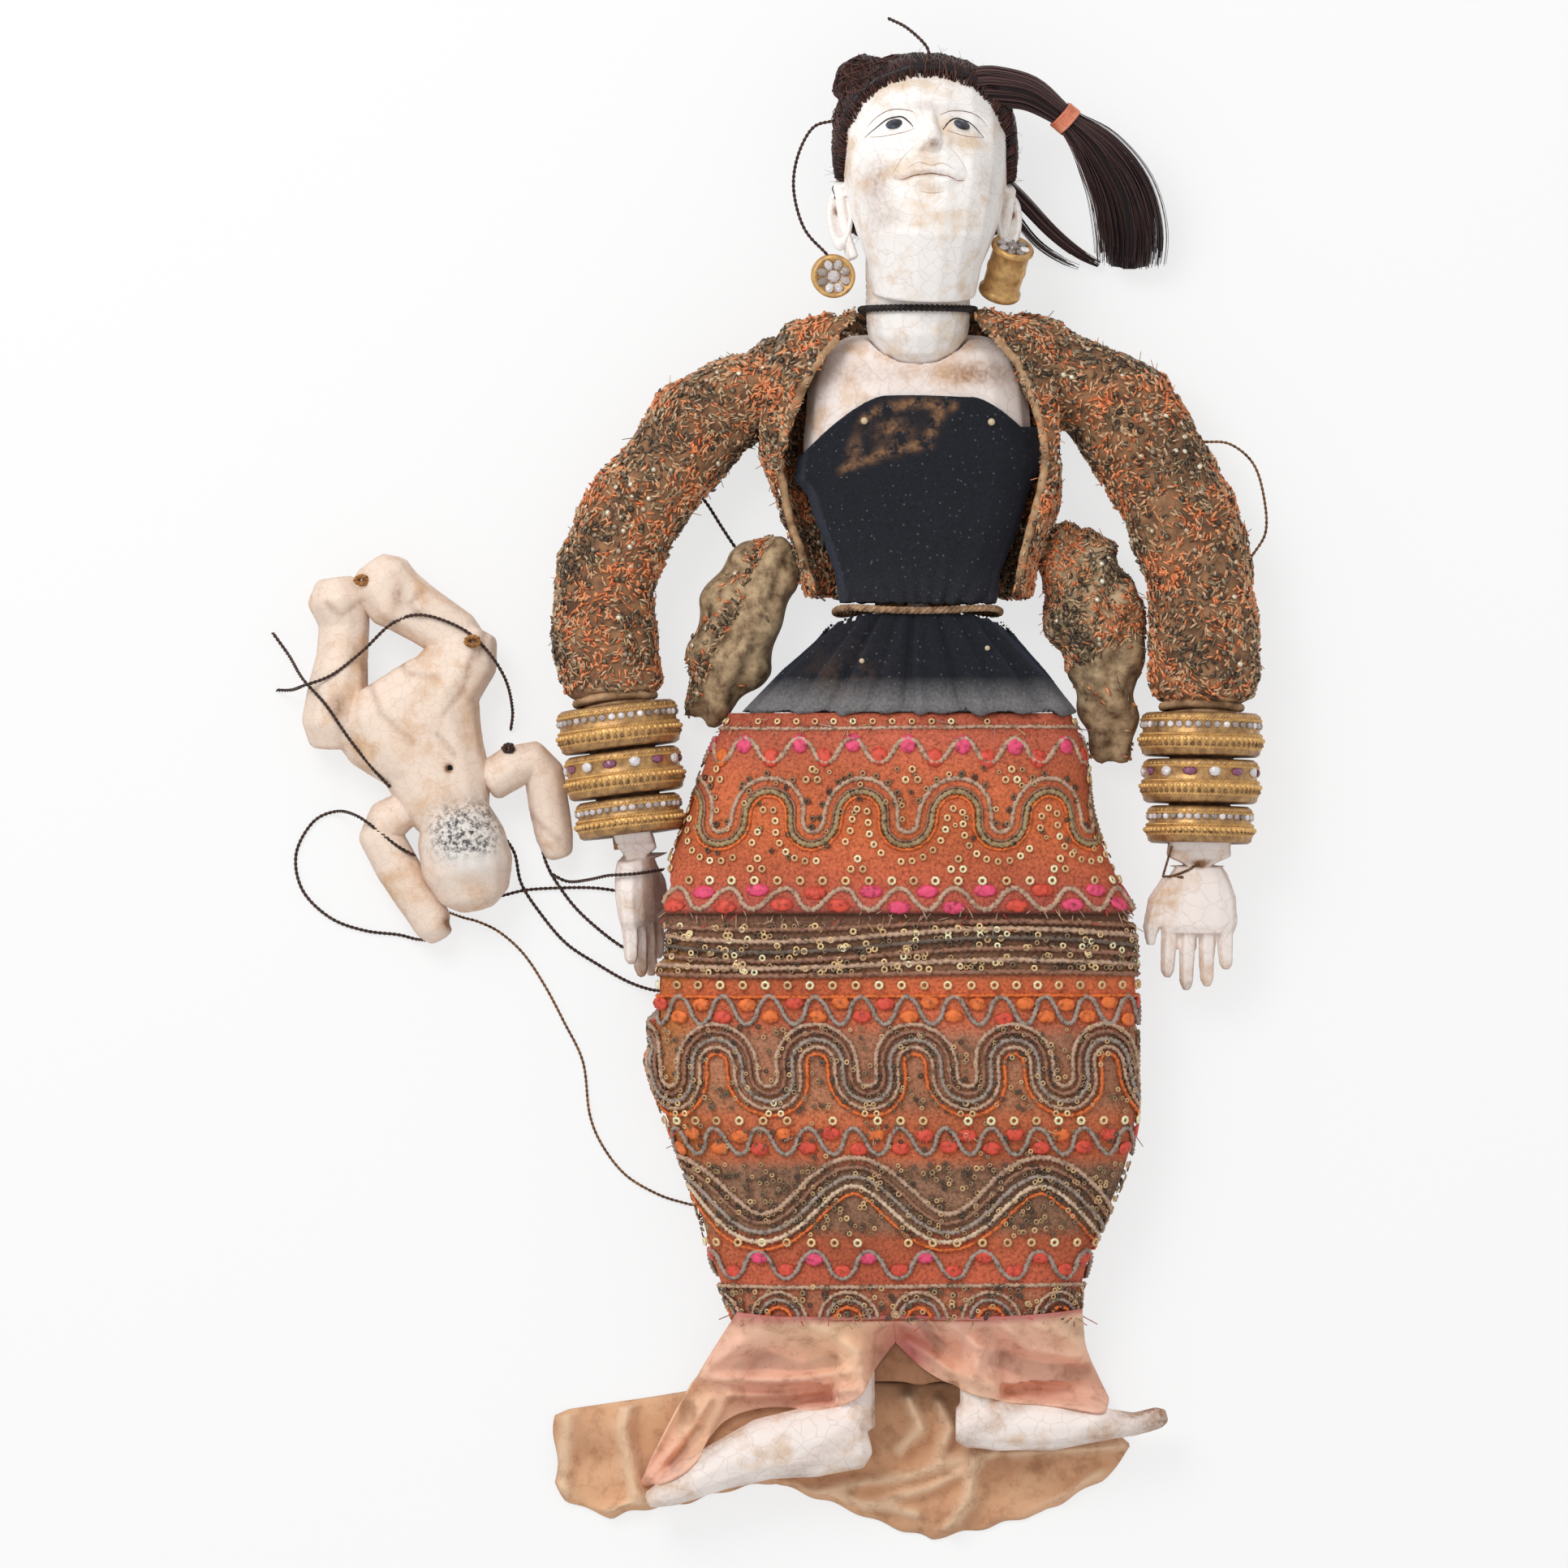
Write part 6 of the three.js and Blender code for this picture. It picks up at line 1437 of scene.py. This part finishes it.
# The band under the fold, and the lower field.
for y, colour, bend in ((-53, "brown", 2.0), (-57.5, "tan", 3.0), (-62, "dark", 3.5), (-66.5, "brown", 3.0),
                        (-71, "tan", 2.0), (-75.5, "brown", 1.0)):
    couch("lower", level(y, bend), colour, 1.3, 1.6)
ring_row("lower", level(-81.3), 10.6, 4.9)
couch("lower", zigzag(-92.5, 6.6, 21.5, 3), "grey", 1.15)
couch("lower", level(-86, 0.4), "orange", 0.8)
for offset, colour, radius in ((0, "grey", 1.2), (3.6, "brown", 1.1), (7.0, "tan", 1.1), (-3.6, "tan", 1.0), (-6.8, "orange", 0.9)):
    couch("lower", meander(-120.5, 14.5, 45, -13, offset), colour, radius)
ring_row("lower", level(-143.8), 10.6, 4.9)
couch("lower", zigzag(-153.6, 6.2, 21.5, -6), "grey", 1.15)
for offset, colour, radius in ((6.6, "tan", 1.3), (2.2, "brown", 1.1), (-2.2, "grey", 1.2), (-6.6, "light", 1.15), (-10.4, "orange", 0.8)):
    couch("lower", rolling(-181, 13.2, 94, -45.5, offset), colour, radius)
ring_row("lower", level(-201), 11.5, 4.9)
couch("lower", zigzag(-211.5, 6.4, 27, 4), "grey", 1.15)
couch("lower", level(-221.5, 0.5), "tan", 1.0)
for radius, colour in ((13.2, "tan"), (9.6, "grey"), (6.0, "orange")):
    turn = np.linspace(0.08, math.pi - 0.08, 26)
    for k in np.arange(-5, 6):
        couch("lower", np.c_[k * 33 + 6 + radius * np.cos(turn), -237.5 + radius * np.sin(turn)], colour, 1.0)
# Trefoils of sequins, and the filling between the lines.
def trefoils(zone, y, period, phase, size=4.2):
    around = girth_at(y)
    period = around / max(round(around / period), 1)
    at = np.arange(-around / 2, around / 2, period)
    for k in np.arange(-6, 7):
        centre = np.array([phase + k * period, y])
        rings[zone].append(np.c_[centre + np.array([(0, 2.7), (-2.7, -2.1), (2.7, -2.1)]), np.full(3, size)])


trefoils("upper", -24.5, 45, -15.3)
trefoils("upper", 17, 45, 7.2)
trefoils("lower", -138.5, 45, -13, 3.6)
for name, zone, y, high, count, size in (
        ("top", "upper", 0, 22, 130, 3.0), ("fold", "lower", -64, 11, 620, 3.4), ("field", "lower", -120, 20, 900, 2.7),
        ("wave", "lower", -181, 17, 900, 2.9), ("hem", "lower", -229, 8, 340, 3.0), ("zig", "lower", -153, 8, 160, 2.6)):
    around = girth_at(y)
    rings[zone].append(np.c_[rng.uniform(-around / 2, around / 2, count), y + rng.uniform(-high, high, count),
                             size * rng.uniform(0.8, 1.15, count)])


def ring_bit(sides=7):
    """A flat ring with a raised rim, like a cup sequin seen from above."""
    shape = bmesh.new()
    points = [shape.verts.new(p) for p in ((0.15, 0, 0.05), (0.38, 0, 0.22), (0.5, 0, -0.06))]
    for a, b in zip(points, points[1:] + points[:1]):
        shape.edges.new((a, b))
    bmesh.ops.spin(shape, geom=shape.verts[:] + shape.edges[:], axis=(0, 0, 1), cent=(0, 0, 0),
                   angle=2 * math.pi, steps=sides, use_merge=True)
    bmesh.ops.remove_doubles(shape, verts=shape.verts, dist=1e-5)
    bmesh.ops.recalc_face_normals(shape, faces=shape.faces)
    return bit_of(shape)


def drops(zone, line_y, period, phase, size, tints, flip, seat):
    """Padded satin stitch drops set in the bends of a winding cord."""
    around = girth_at(line_y)
    period = around / max(round(around / period), 1)
    s = np.arange(round(around / period)) * period - around / 2
    s = (s + phase + around / 2) % around - around / 2
    s, y = s + rng.normal(0, 0.5, len(s)), line_y + flip + rng.normal(0, 0.5, len(s))
    points, out = on_skirt(s, y, 0.5)
    seat.append((points, out, np.tile(np.array(size) * MM, (len(s), 1)), rng.choice([THREADS[t] for t in tints], len(s))))


seats = {"upper": [], "lower": []}
for flip, phase, tints in ((3.0, -8, ("red", "magenta", "magenta")), (-3.4, 5, ("red", "orange", "red"))):
    drops("upper", 28.5, 26, phase - 13, (8.4, 9.6, 2.4), tints, flip, seats["upper"])
for flip, phase, tints in ((3.4, -7.5, ("magenta", "magenta", "red")), (-3.0, 5.5, ("magenta", "red"))):
    drops("upper", -40.5, 26, phase - 13, (11.5, 6.4, 2.2), tints, flip, seats["upper"])
for y, period, phase in ((-92.5, 21.5, 3), (-153.6, 21.5, -6), (-211.5, 27, 4)):
    tints = ("red", "magenta", "red") if y < -200 else ("red", "orange", "red")
    drops("lower", y, period, phase - period / 4, (9.4, 6.6, 2.0), tints, 3.2, seats["lower"])
    drops("lower", y, period, phase + period / 4, (9.4, 6.6, 2.0), tints, -3.2, seats["lower"])

gold_sequin, tree, shader = finish("tarnished_gold_sequins", Roughness=0.4, Metallic=0.35)
tint = node(tree, "Attribute", attribute_name="tint")
shade = node(tree, "ValToRGB", {"Fac": tint.outputs["Fac"]},
             [(0.0, "#57493F"), (0.3, "#91785E"), (0.6, "#D4B081"), (0.85, "#FBDAA4"), (1.0, "#FFFFD4")])
tree.links.new(shade.outputs[0], shader.inputs["Base Color"])
for zone, pieces in (("upper", upper_pieces), ("lower", lower_pieces)):
    pieces.append(place(f"skirt_cords_{zone}", tubes(f"skirt_cords_{zone}", cords[zone], 4), couching, None, "skirt_cloth"))
    given = np.concatenate(rings[zone])
    points, out = on_skirt(given[:, 0], given[:, 1], 1.0)
    out = out + rng.normal(0, 0.1, out.shape)
    fill = given[:, 2] < 3.5
    tints = np.where(fill, rng.random(len(given)) ** 1.3 * 0.75, rng.uniform(0.62, 1.0, len(given)))
    work = planted("rings", ring_bit(), frames(points, out, np.c_[given[:, 2], given[:, 2], given[:, 2] * 0.8] * MM, rng=rng), tints)
    pieces.append(place(f"skirt_sequins_{zone}", work, gold_sequin, None, "skirt_cloth"))
    points, out, sizes, tints = [np.concatenate(part) for part in zip(*seats[zone])]
    along = np.tile([1.0, 0, 0], (len(points), 1))
    satin = planted("satin_drops", stone(8, 5), frames(points, out, sizes, along=along), tints)
    pieces.append(place(f"skirt_satin_drops_{zone}", satin, couching, None, "skirt_cloth"))
# Broken threads stand out along the fold and the hem.
for zone, pieces, edges in (("upper", upper_pieces, (-47.5, 40)), ("lower", lower_pieces, (-237, -52, -150))):
    frays = []
    for _ in range(260):
        y = rng.choice(edges) + rng.normal(0, 2.0)
        point, out = on_skirt([rng.uniform(-1, 1) * girth_at(y) / 2], [y], 0.3)
        way = out[0] * rng.uniform(0.2, 0.9) + [rng.normal(0, 0.5), -rng.uniform(0.1, 0.9), rng.normal(0, 0.2)]
        line = point + np.linspace(0, 1, 4)[:, None] * way * rng.uniform(2.5, 6.5) * MM
        line[:, 2] = np.maximum(line[:, 2] + [0, 0.2 * MM, 0, -0.4 * MM], 0.6 * MM)
        frays.append((line, 0.28 * MM, rng.choice([THREADS[t] for t in ("tan", "brown", "grey", "red", "gold")])))
    pieces.append(place(f"skirt_frayed_threads_{zone}", tubes("frays", frays, 3), couching, None, "skirt_cloth"))
for piece in upper_pieces:
    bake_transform(piece)
for piece in lower_pieces:
    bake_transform(piece)


# The underskirt and the train
# Faded pink-tan cotton, wound under the skirt: its lower edge parts in front in two crumpled
# flaps over the feet, and its long end lies under them as a train, folded over at both sides.
def dyed_finish(name, roughness=0.9):
    """Plain cloth in the colours kept on it, with its weave, slubs and brown spots."""
    made, tree, shader = finish(name, Roughness=roughness, Sheen_Weight=0.1)
    colour = node(tree, "Attribute", attribute_name="ground")
    spot = node(tree, "TexCoord").outputs["Object"]
    slub = node(tree, "TexNoise", {"Vector": spot, "Scale": 1 / (9 * MM), "Detail": 8.0, "Roughness": 0.65})
    tone = node(tree, "ValToRGB", {"Fac": slub.outputs["Fac"]}, [(0.3, "#D2C4BA"), (0.5, "#FAF6F2"), (0.7, "#FFFFFF")])
    mixed = node(tree, "Mix", {0: 1.0, 6: colour.outputs["Color"], 7: tone.outputs[0]}, data_type="RGBA", blend_type="MULTIPLY")
    freckle = node(tree, "TexNoise", {"Vector": spot, "Scale": 1 / (3 * MM), "Detail": 4.0})
    amount = node(tree, "MapRange", {"Value": freckle.outputs["Fac"], "From Min": 0.66, "From Max": 0.76, "To Max": 0.25})
    spotted = node(tree, "Mix", {0: amount.outputs[0], 6: mixed.outputs[2], 7: linear("#8A5A34")}, data_type="RGBA")
    tree.links.new(spotted.outputs[2], shader.inputs["Base Color"])
    weave = node(tree, "TexNoise", {"Vector": spot, "Scale": 1 / (0.8 * MM), "Detail": 3.0})
    bump = node(tree, "Bump", {"Height": weave.outputs["Fac"], "Strength": 0.35, "Distance": 0.3 * MM})
    tree.links.new(bump.outputs[0], shader.inputs["Normal"])
    return made


faded_cotton = dyed_finish("faded_pink_cotton")
inner = softened(["underskirt"], 1.4 * MM, 3)
spots, out = spots_of(inner), normals_of(inner)
pleat = 1.4 * np.sin(spots[:, 0] / (6.5 * MM) + spots[:, 1] / (15 * MM)) + 0.8 * np.sin(spots[:, 0] / (3.7 * MM))
moved = spots + out * ((pleat - 2.4) * MM)[:, None]
moved[:, 2] = np.maximum(moved[:, 2] * 0.5, 0.3 * MM)
reshape(inner, moved)
tan = np.tile(linear("#A5795A"), (len(spots), 1))
inner.attributes.new("ground", "FLOAT_COLOR", "POINT").data.foreach_set("color", tan.astype("f").ravel())
place("underskirt_inner", inner, faded_cotton, "shin_left", "plain_cloth", ["underskirt"])
under_flaps = tree_of(inner)
feet = [tree_of(bpy.data.objects["carved_shin_" + s].data) for s in ("left", "right")]


def highest(x, y, others=()):
    """The highest surface under a place, seen from above, in mm; the ground is 0."""
    tops = [t.ray_cast(Vector((x * MM, y * MM, 0.3)), Vector((0, 0, -1)))[0] for t in (*feet, *others)]
    return max([t.z / MM for t in tops if t is not None], default=0.0)


def laid_cloth(name, grid, colour, nodes=()):
    """A grid of points in mm as cloth of 1 mm."""
    rows, columns, _ = grid.shape
    index = np.arange(rows * columns).reshape(rows, columns)
    faces = np.stack([index[:-1, :-1], index[:-1, 1:], index[1:, 1:], index[1:, :-1]], axis=2).reshape(-1, 4)
    mesh = bpy.data.meshes.new(name)
    mesh.from_pydata((grid.reshape(-1, 3) * MM).tolist(), [], faces.tolist())
    if sum(p.normal.z for p in mesh.polygons) < 0:
        mesh.flip_normals()
    mesh.attributes.new("ground", "FLOAT_COLOR", "POINT").data.foreach_set("color", colour.astype("f").ravel())
    body = bpy.data.objects.new("draft", mesh)
    bpy.context.scene.collection.objects.link(body)
    thick = body.modifiers.new("thick", "SOLIDIFY")
    thick.thickness = 0.9 * MM
    thick.offset = -1
    thick.use_even_offset = False
    solid = bpy.data.meshes.new_from_object(body.evaluated_get(bpy.context.evaluated_depsgraph_get()))
    bpy.data.objects.remove(body)
    made = place(name, solid, faded_cotton, "shin_left", "plain_cloth", nodes)
    return made


def creased(x, y, lines):
    """Soft ridges along lines: each is (points, height, width) in mm."""
    flat = np.c_[x.ravel(), y.ravel()]
    return sum(1.35 * high * near_line(flat, np.array(points, float), wide * 0.85) for points, high, wide in lines).reshape(x.shape)


# The train: its front edge is hidden, its lower edge is the outline on the ground.
across = np.linspace(-166, 104, 151)
top = np.interp(across, [-166, -160, -120, -78, 70, 90, 104], [-284, -281, -275, -268, -268, -282, -297])
low = np.interp(across, [-166, -160, -140, -110, -62, -30, 10, 32, 62, 92, 104], [-316, -324, -332, -326, -315, -328, -343, -337, -331, -314, -300])
low = low + 0.8 * np.sin(across / 3.1) + 0.6 * np.sin(across / 7.3)
share = np.linspace(0, 1, 47)[:, None]
y = top[None] * (1 - share) + low[None] * share
x = np.tile(across, (47, 1)) + 1.2 * np.sin(y / 5)
TRAIN_FOLDS = [([(-130, -270), (-134, -290), (-128, -320)], 8, 4), ([(-150, -332), (-120, -322), (-100, -318)], 4, 3),
               ([(-160, -280), (-162, -318)], 4, 5), ([(-40, -318), (0, -312), (40, -300)], 5, 3.5),
               ([(-20, -326), (10, -318), (34, -306)], 4, 3), ([(16, -342), (28, -322), (32, -298)], 7, 3.5),
               ([(30, -336), (44, -318), (44, -300)], -3, 3), ([(38, -302), (70, -300), (100, -298)], 4, 3),
               ([(0, -276), (6, -290), (-4, -300)], 6, 4), ([(14, -278), (20, -290), (14, -304)], 5, 3.5),
               ([(-66, -316), (-30, -322), (4, -330)], 3.5, 3), ([(60, -330), (90, -310)], 3, 3)]
z = 3.0 + creased(x, y, TRAIN_FOLDS) + 0.5 * np.sin(x / 5 + y / 9) + 0.4 * np.sin(y / 3.4 - x / 8)
ceiling = np.full(x.shape, 30.0)
for i in range(x.shape[0]):
    for j in range(x.shape[1]):
        ups = [t.ray_cast(Vector((x[i, j], y[i, j], -1)) * MM, Vector((0, 0, 1)))[0] for t in feet]
        ceiling[i, j] = min([u.z / MM for u in ups if u is not None], default=30.0)
rim = np.minimum(share, 1 - share) * 60
z = np.clip(np.minimum(np.where(rim < 3, np.minimum(z, 1.4 + rim), z), ceiling - 0.6), 1.1, None)
base, brown, light = (np.array(linear(c)) for c in ("#EABA93", "#B07E5F", "#FFE4C4"))
stained = np.clip(0.5 + 0.4 * np.sin(x / 17 + np.sin(y / 9)) + 0.3 * np.sin(y / 7), 0, 1)[..., None]
# Higher parts of the train are painted lighter: painted highlight on the crests of its folds.
raised_highlight = np.clip((z - 3.4) / 4, 0, 1)[..., None]
colour = base * (1 - 0.45 * stained) + brown * 0.45 * stained
colour = colour * (1 - 0.5 * raised_highlight) + light * 0.5 * raised_highlight
laid_cloth("train_cloth", np.stack([x, y, z], axis=2), colour, ["train"])


def flap(name, upper, lower, bulge, folds, seed):
    """A flap from the skirt's hem to its own lower edge, lying over the feet, with its folds."""
    count, deep = 110, 56
    ends = [resampled(rounded(np.array(line, float), 8), 0.25) for line in (upper, lower)]
    a, b = [e[np.linspace(0, len(e) - 1, count).astype(int)] for e in ends]
    share = np.linspace(0, 1, deep)[:, None, None]
    flat = a[None] * (1 - share) + b[None] * share
    flat[..., 1] += bulge * np.sin(share[..., 0] * math.pi)
    x, y = flat[..., 0], flat[..., 1]
    floor = np.array([[highest(px, py, [under_flaps]) for px, py in zip(rx, ry)] for rx, ry in zip(x, y)]) + 1.8
    sheet_z = 44 * (1 - share[..., 0]) ** 1.3 * np.clip(1 - (np.abs(x) / 100) ** 6, 0.2, 1) + 6
    z = np.maximum(sheet_z, floor)
    for _ in range(5):
        padded_z = np.pad(z, 1, mode="edge")
        soft = (padded_z[:-2, 1:-1] + padded_z[2:, 1:-1] + padded_z[1:-1, :-2] + padded_z[1:-1, 2:]) / 4
        z = np.maximum(soft, floor)
    wave = creased(x, y, folds) * np.clip(share[..., 0] * 5, 0, 1)
    rng = np.random.default_rng(seed)
    for _ in range(5):
        wx, wy, at = rng.normal(0, 1 / 9, 1)[0], rng.normal(0, 1 / 9, 1)[0], rng.uniform(0, 6)
        wave = wave + 0.5 * np.sin(x * wx + y * wy + at) * np.clip(share[..., 0] * 3, 0, 1)
    z = np.maximum(z + wave, floor)
    pink, tan, red = (np.array(linear(c)) for c in ("#F8BFAD", "#FFD8B5", "#C04D5D"))
    mix = np.clip(0.5 + 0.5 * np.sin(x / 21 + y / 13) + 0.2 * share[..., 0], 0, 1)[..., None]
    colour = tan * (1 - mix * 0.7) + pink * mix * 0.7
    hem_red = np.clip(1 - share[..., 0] * 9, 0, 1) * 0.8
    middle_red = np.exp(-((x + 2) / 13) ** 2) * np.exp(-((y + 256) / 16) ** 2) * 0.85
    crimson = np.clip(hem_red + middle_red, 0, 0.9)[..., None]
    colour = colour * (1 - crimson) + red * crimson
    # Darker in the hollows of the folds: painted shade.
    fold_shade = np.clip(-wave / 2.5, 0, 0.6)[..., None]
    colour = colour * (1 - fold_shade) + colour * 0.55 * fold_shade
    return laid_cloth(name, np.stack([x, y, z], axis=2), colour)


flap("underskirt_flap_right", [(-80.5, -234), (-60, -236), (-40, -236), (-20, -236), (-3, -236)],
     [(-128, -319), (-104, -308), (-88, -288), (-72, -281), (-54, -280), (-38, -279), (-24, -274), (-15, -260), (-5, -247)], 3,
     [([(-80, -250), (-104, -268), (-126, -306)], 5, 4.5), ([(-44, -240), (-24, -252), (-20, -272)], 5, 5),
      ([(-30, -262), (-60, -266), (-96, -266)], 4, 3.5), ([(-26, -270), (-60, -274), (-84, -274)], 3.5, 2.6),
      ([(-70, -256), (-50, -262), (-34, -258)], -3, 4), ([(-108, -274), (-100, -290), (-112, -306)], -4, 3.5),
      ([(-94, -276), (-104, -294), (-122, -314)], 4, 3)], 5)
flap("underskirt_flap_left", [(-8, -236), (20, -236), (40, -236), (60, -235), (81, -233)],
     [(-6, -249), (8, -262), (28, -272), (48, -276), (64, -277), (78, -279), (90, -281), (94, -275), (84, -262)], 2,
     [([(0, -248), (20, -262), (50, -272), (90, -277)], 4, 3.5), ([(20, -240), (34, -252), (30, -264)], 4.5, 4),
      ([(44, -240), (56, -252), (80, -256)], 4, 3.5), ([(40, -256), (60, -262), (82, -262)], -3, 3.5),
      ([(60, -240), (74, -246), (82, -252)], 3, 3), ([(6, -240), (14, -250)], -3, 3)], 8)


# The child
# A small carved figure in pale painted wood, browner along its carved creases; its holes and the
# faces that turn sideways are painted dark as shade. Its head is chalk white with tufts of painted
# hair. Its strings run through holes with knots.
child_paint = gesso_finish("handled_pale_paint", "#F5DFCD", "#E2BC99", "#956544", roughness=0.6, craze=5)
tree = child_paint.node_tree
shader = tree.nodes["Principled BSDF"]
under = shader.inputs["Base Color"].links[0].from_socket
spot = node(tree, "TexCoord").outputs["Object"]
brushed = node(tree, "TexNoise", {"Vector": spot, "Scale": 1 / (2.6 * MM), "Detail": 7.0, "Roughness": 0.7})
chalk = node(tree, "Attribute", attribute_name="chalk")
whitened = node(tree, "Mix", {0: chalk.outputs["Fac"], 6: under, 7: linear("#E9E4DF")}, data_type="RGBA")
inked = node(tree, "Attribute", attribute_name="inked")
dabs = node(tree, "MapRange", {"Value": brushed.outputs["Fac"], "From Min": 0.44, "From Max": 0.58})
amount = node(tree, "Math", {0: inked.outputs["Fac"], 1: dabs.outputs[0]}, operation="MULTIPLY", use_clamp=True)
painted = node(tree, "Mix", {0: amount.outputs[0], 6: whitened.outputs[2], 7: linear("#3A3639")}, data_type="RGBA")
tree.links.new(painted.outputs[2], shader.inputs["Base Color"])
rng = np.random.default_rng(81)
child = softened(["child"], 1.2 * MM, 8)
reshape(child, spots_of(child) + normals_of(child) * 1.9 * MM)
low = spots_of(child)
low[:, 2] = np.maximum(low[:, 2], 0.1 * MM)
reshape(child, low)
rumpled(child, 0.22, rng, 8)
spots, out = spots_of(child), normals_of(child)


def at_photo(px, py):
    """A place in mm from one in the picture."""
    return np.array([(px - 1120) * 0.38, (1000 - py) * 0.38])


flat = spots[:, :2] / MM
navel, foot_hole = at_photo(554, 947), at_photo(555, 1137)
hole = near(flat, navel, 1.7)
moved = spots - out * ((3.0 * hole + 1.2 * near(flat, foot_hole, 3.2)) * MM)[:, None]
CREASES_OF_CHILD = [[(478, 800), (505, 830), (540, 835)], [(585, 800), (572, 850), (548, 880)], [(440, 800), (470, 880), (510, 915)],
                    [(600, 770), (590, 810)], [(540, 905), (560, 930)], [(402, 742), (420, 760), (445, 742)],
                    [(520, 730), (505, 745), (520, 760)], [(648, 1000), (668, 1020), (690, 1035)]]
line_marks = sum(near_line(flat, np.array([at_photo(*p) for p in line]), 1.6) for line in CREASES_OF_CHILD)
moved -= out * (0.5 * line_marks * MM * (out[:, 2] > 0))[:, None]
reshape(child, moved)
skull = near(flat, at_photo(578, 1036), 21)
marked(child, "chalk", np.clip(1.6 * skull - 0.35, 0, 0.85) * (out[:, 2] > -0.4))
tufts = (near(flat, at_photo(568, 1008), (15, 8)) + 0.9 * near(flat, at_photo(552, 1030), (9, 10))
         + 0.7 * near(flat, at_photo(600, 1012), (7, 12)) + 0.6 * near(flat, at_photo(585, 1044), (11, 3)))
marked(child, "inked", np.clip(1.2 * tufts, 0, 1) * (spots[:, 2] > 17 * MM) * np.clip(1.3 * skull, 0, 1))
# The holes are darkened as painted shade, the faces that turn sideways are painted darker as shade, and the creases and
# two spots are browner.
marked(child, "stain", 2.4 * hole + 1.5 * near(flat, foot_hole, 3.4) + 0.35 * line_marks + 0.3 * np.clip(1 - np.abs(out[:, 2]), 0, 1)
       + 0.9 * near(flat, at_photo(417, 870), (3, 6)) + 0.6 * near(flat, at_photo(490, 735), (3, 6)))
place("carved_child", child, child_paint, "chest", "child_wood", ["child"])
body_of_child = tree_of(child)
# A dark disc in the navel's hollow: painted shade.
hole_shade, tree, shader = finish("painted_shade_in_hole", Roughness=1.0)
shader.inputs["Base Color"].default_value = linear("#0E0908")
point, up = dropped(body_of_child, *navel, 0.15)
hole_shade_disc = planted("navel_hole_shade", stone(12, 6), frames(np.array([point]), np.array([up]), np.array([[4.2, 5.6, 1.2]]) * MM,
                                                       along=np.array([[1.0, 0.3, 0]])), 0.0)
place("navel_hole_shade", hole_shade_disc, hole_shade, "chest", "child_wood")
knot_cotton = string_finish("orange_brown_knots", "#7A4820", "#C28A4E", 0.8)
for name, px, py, size, material in (("knot_at_knee", 449, 716, 7.0, knot_cotton), ("knot_at_hip", 598, 771, 8.0, knot_cotton),
                                     ("knot_by_arm", 627, 925, 6.0, dark_cord)):
    point, up = dropped(body_of_child, *at_photo(px, py), 1.6)
    turn = np.linspace(0, 4 * math.pi, 60)
    coil = np.c_[np.cos(turn) * (1 + 0.3 * np.sin(turn * 1.5)), 0.8 * np.sin(turn), 0.5 * np.sin(turn * 1.5)] * size * 0.32 * MM
    place(name, tubes(name, plies(point + coil, 2.4 * MM, 3.5 * MM), 5), material, "chest", "pale_string")
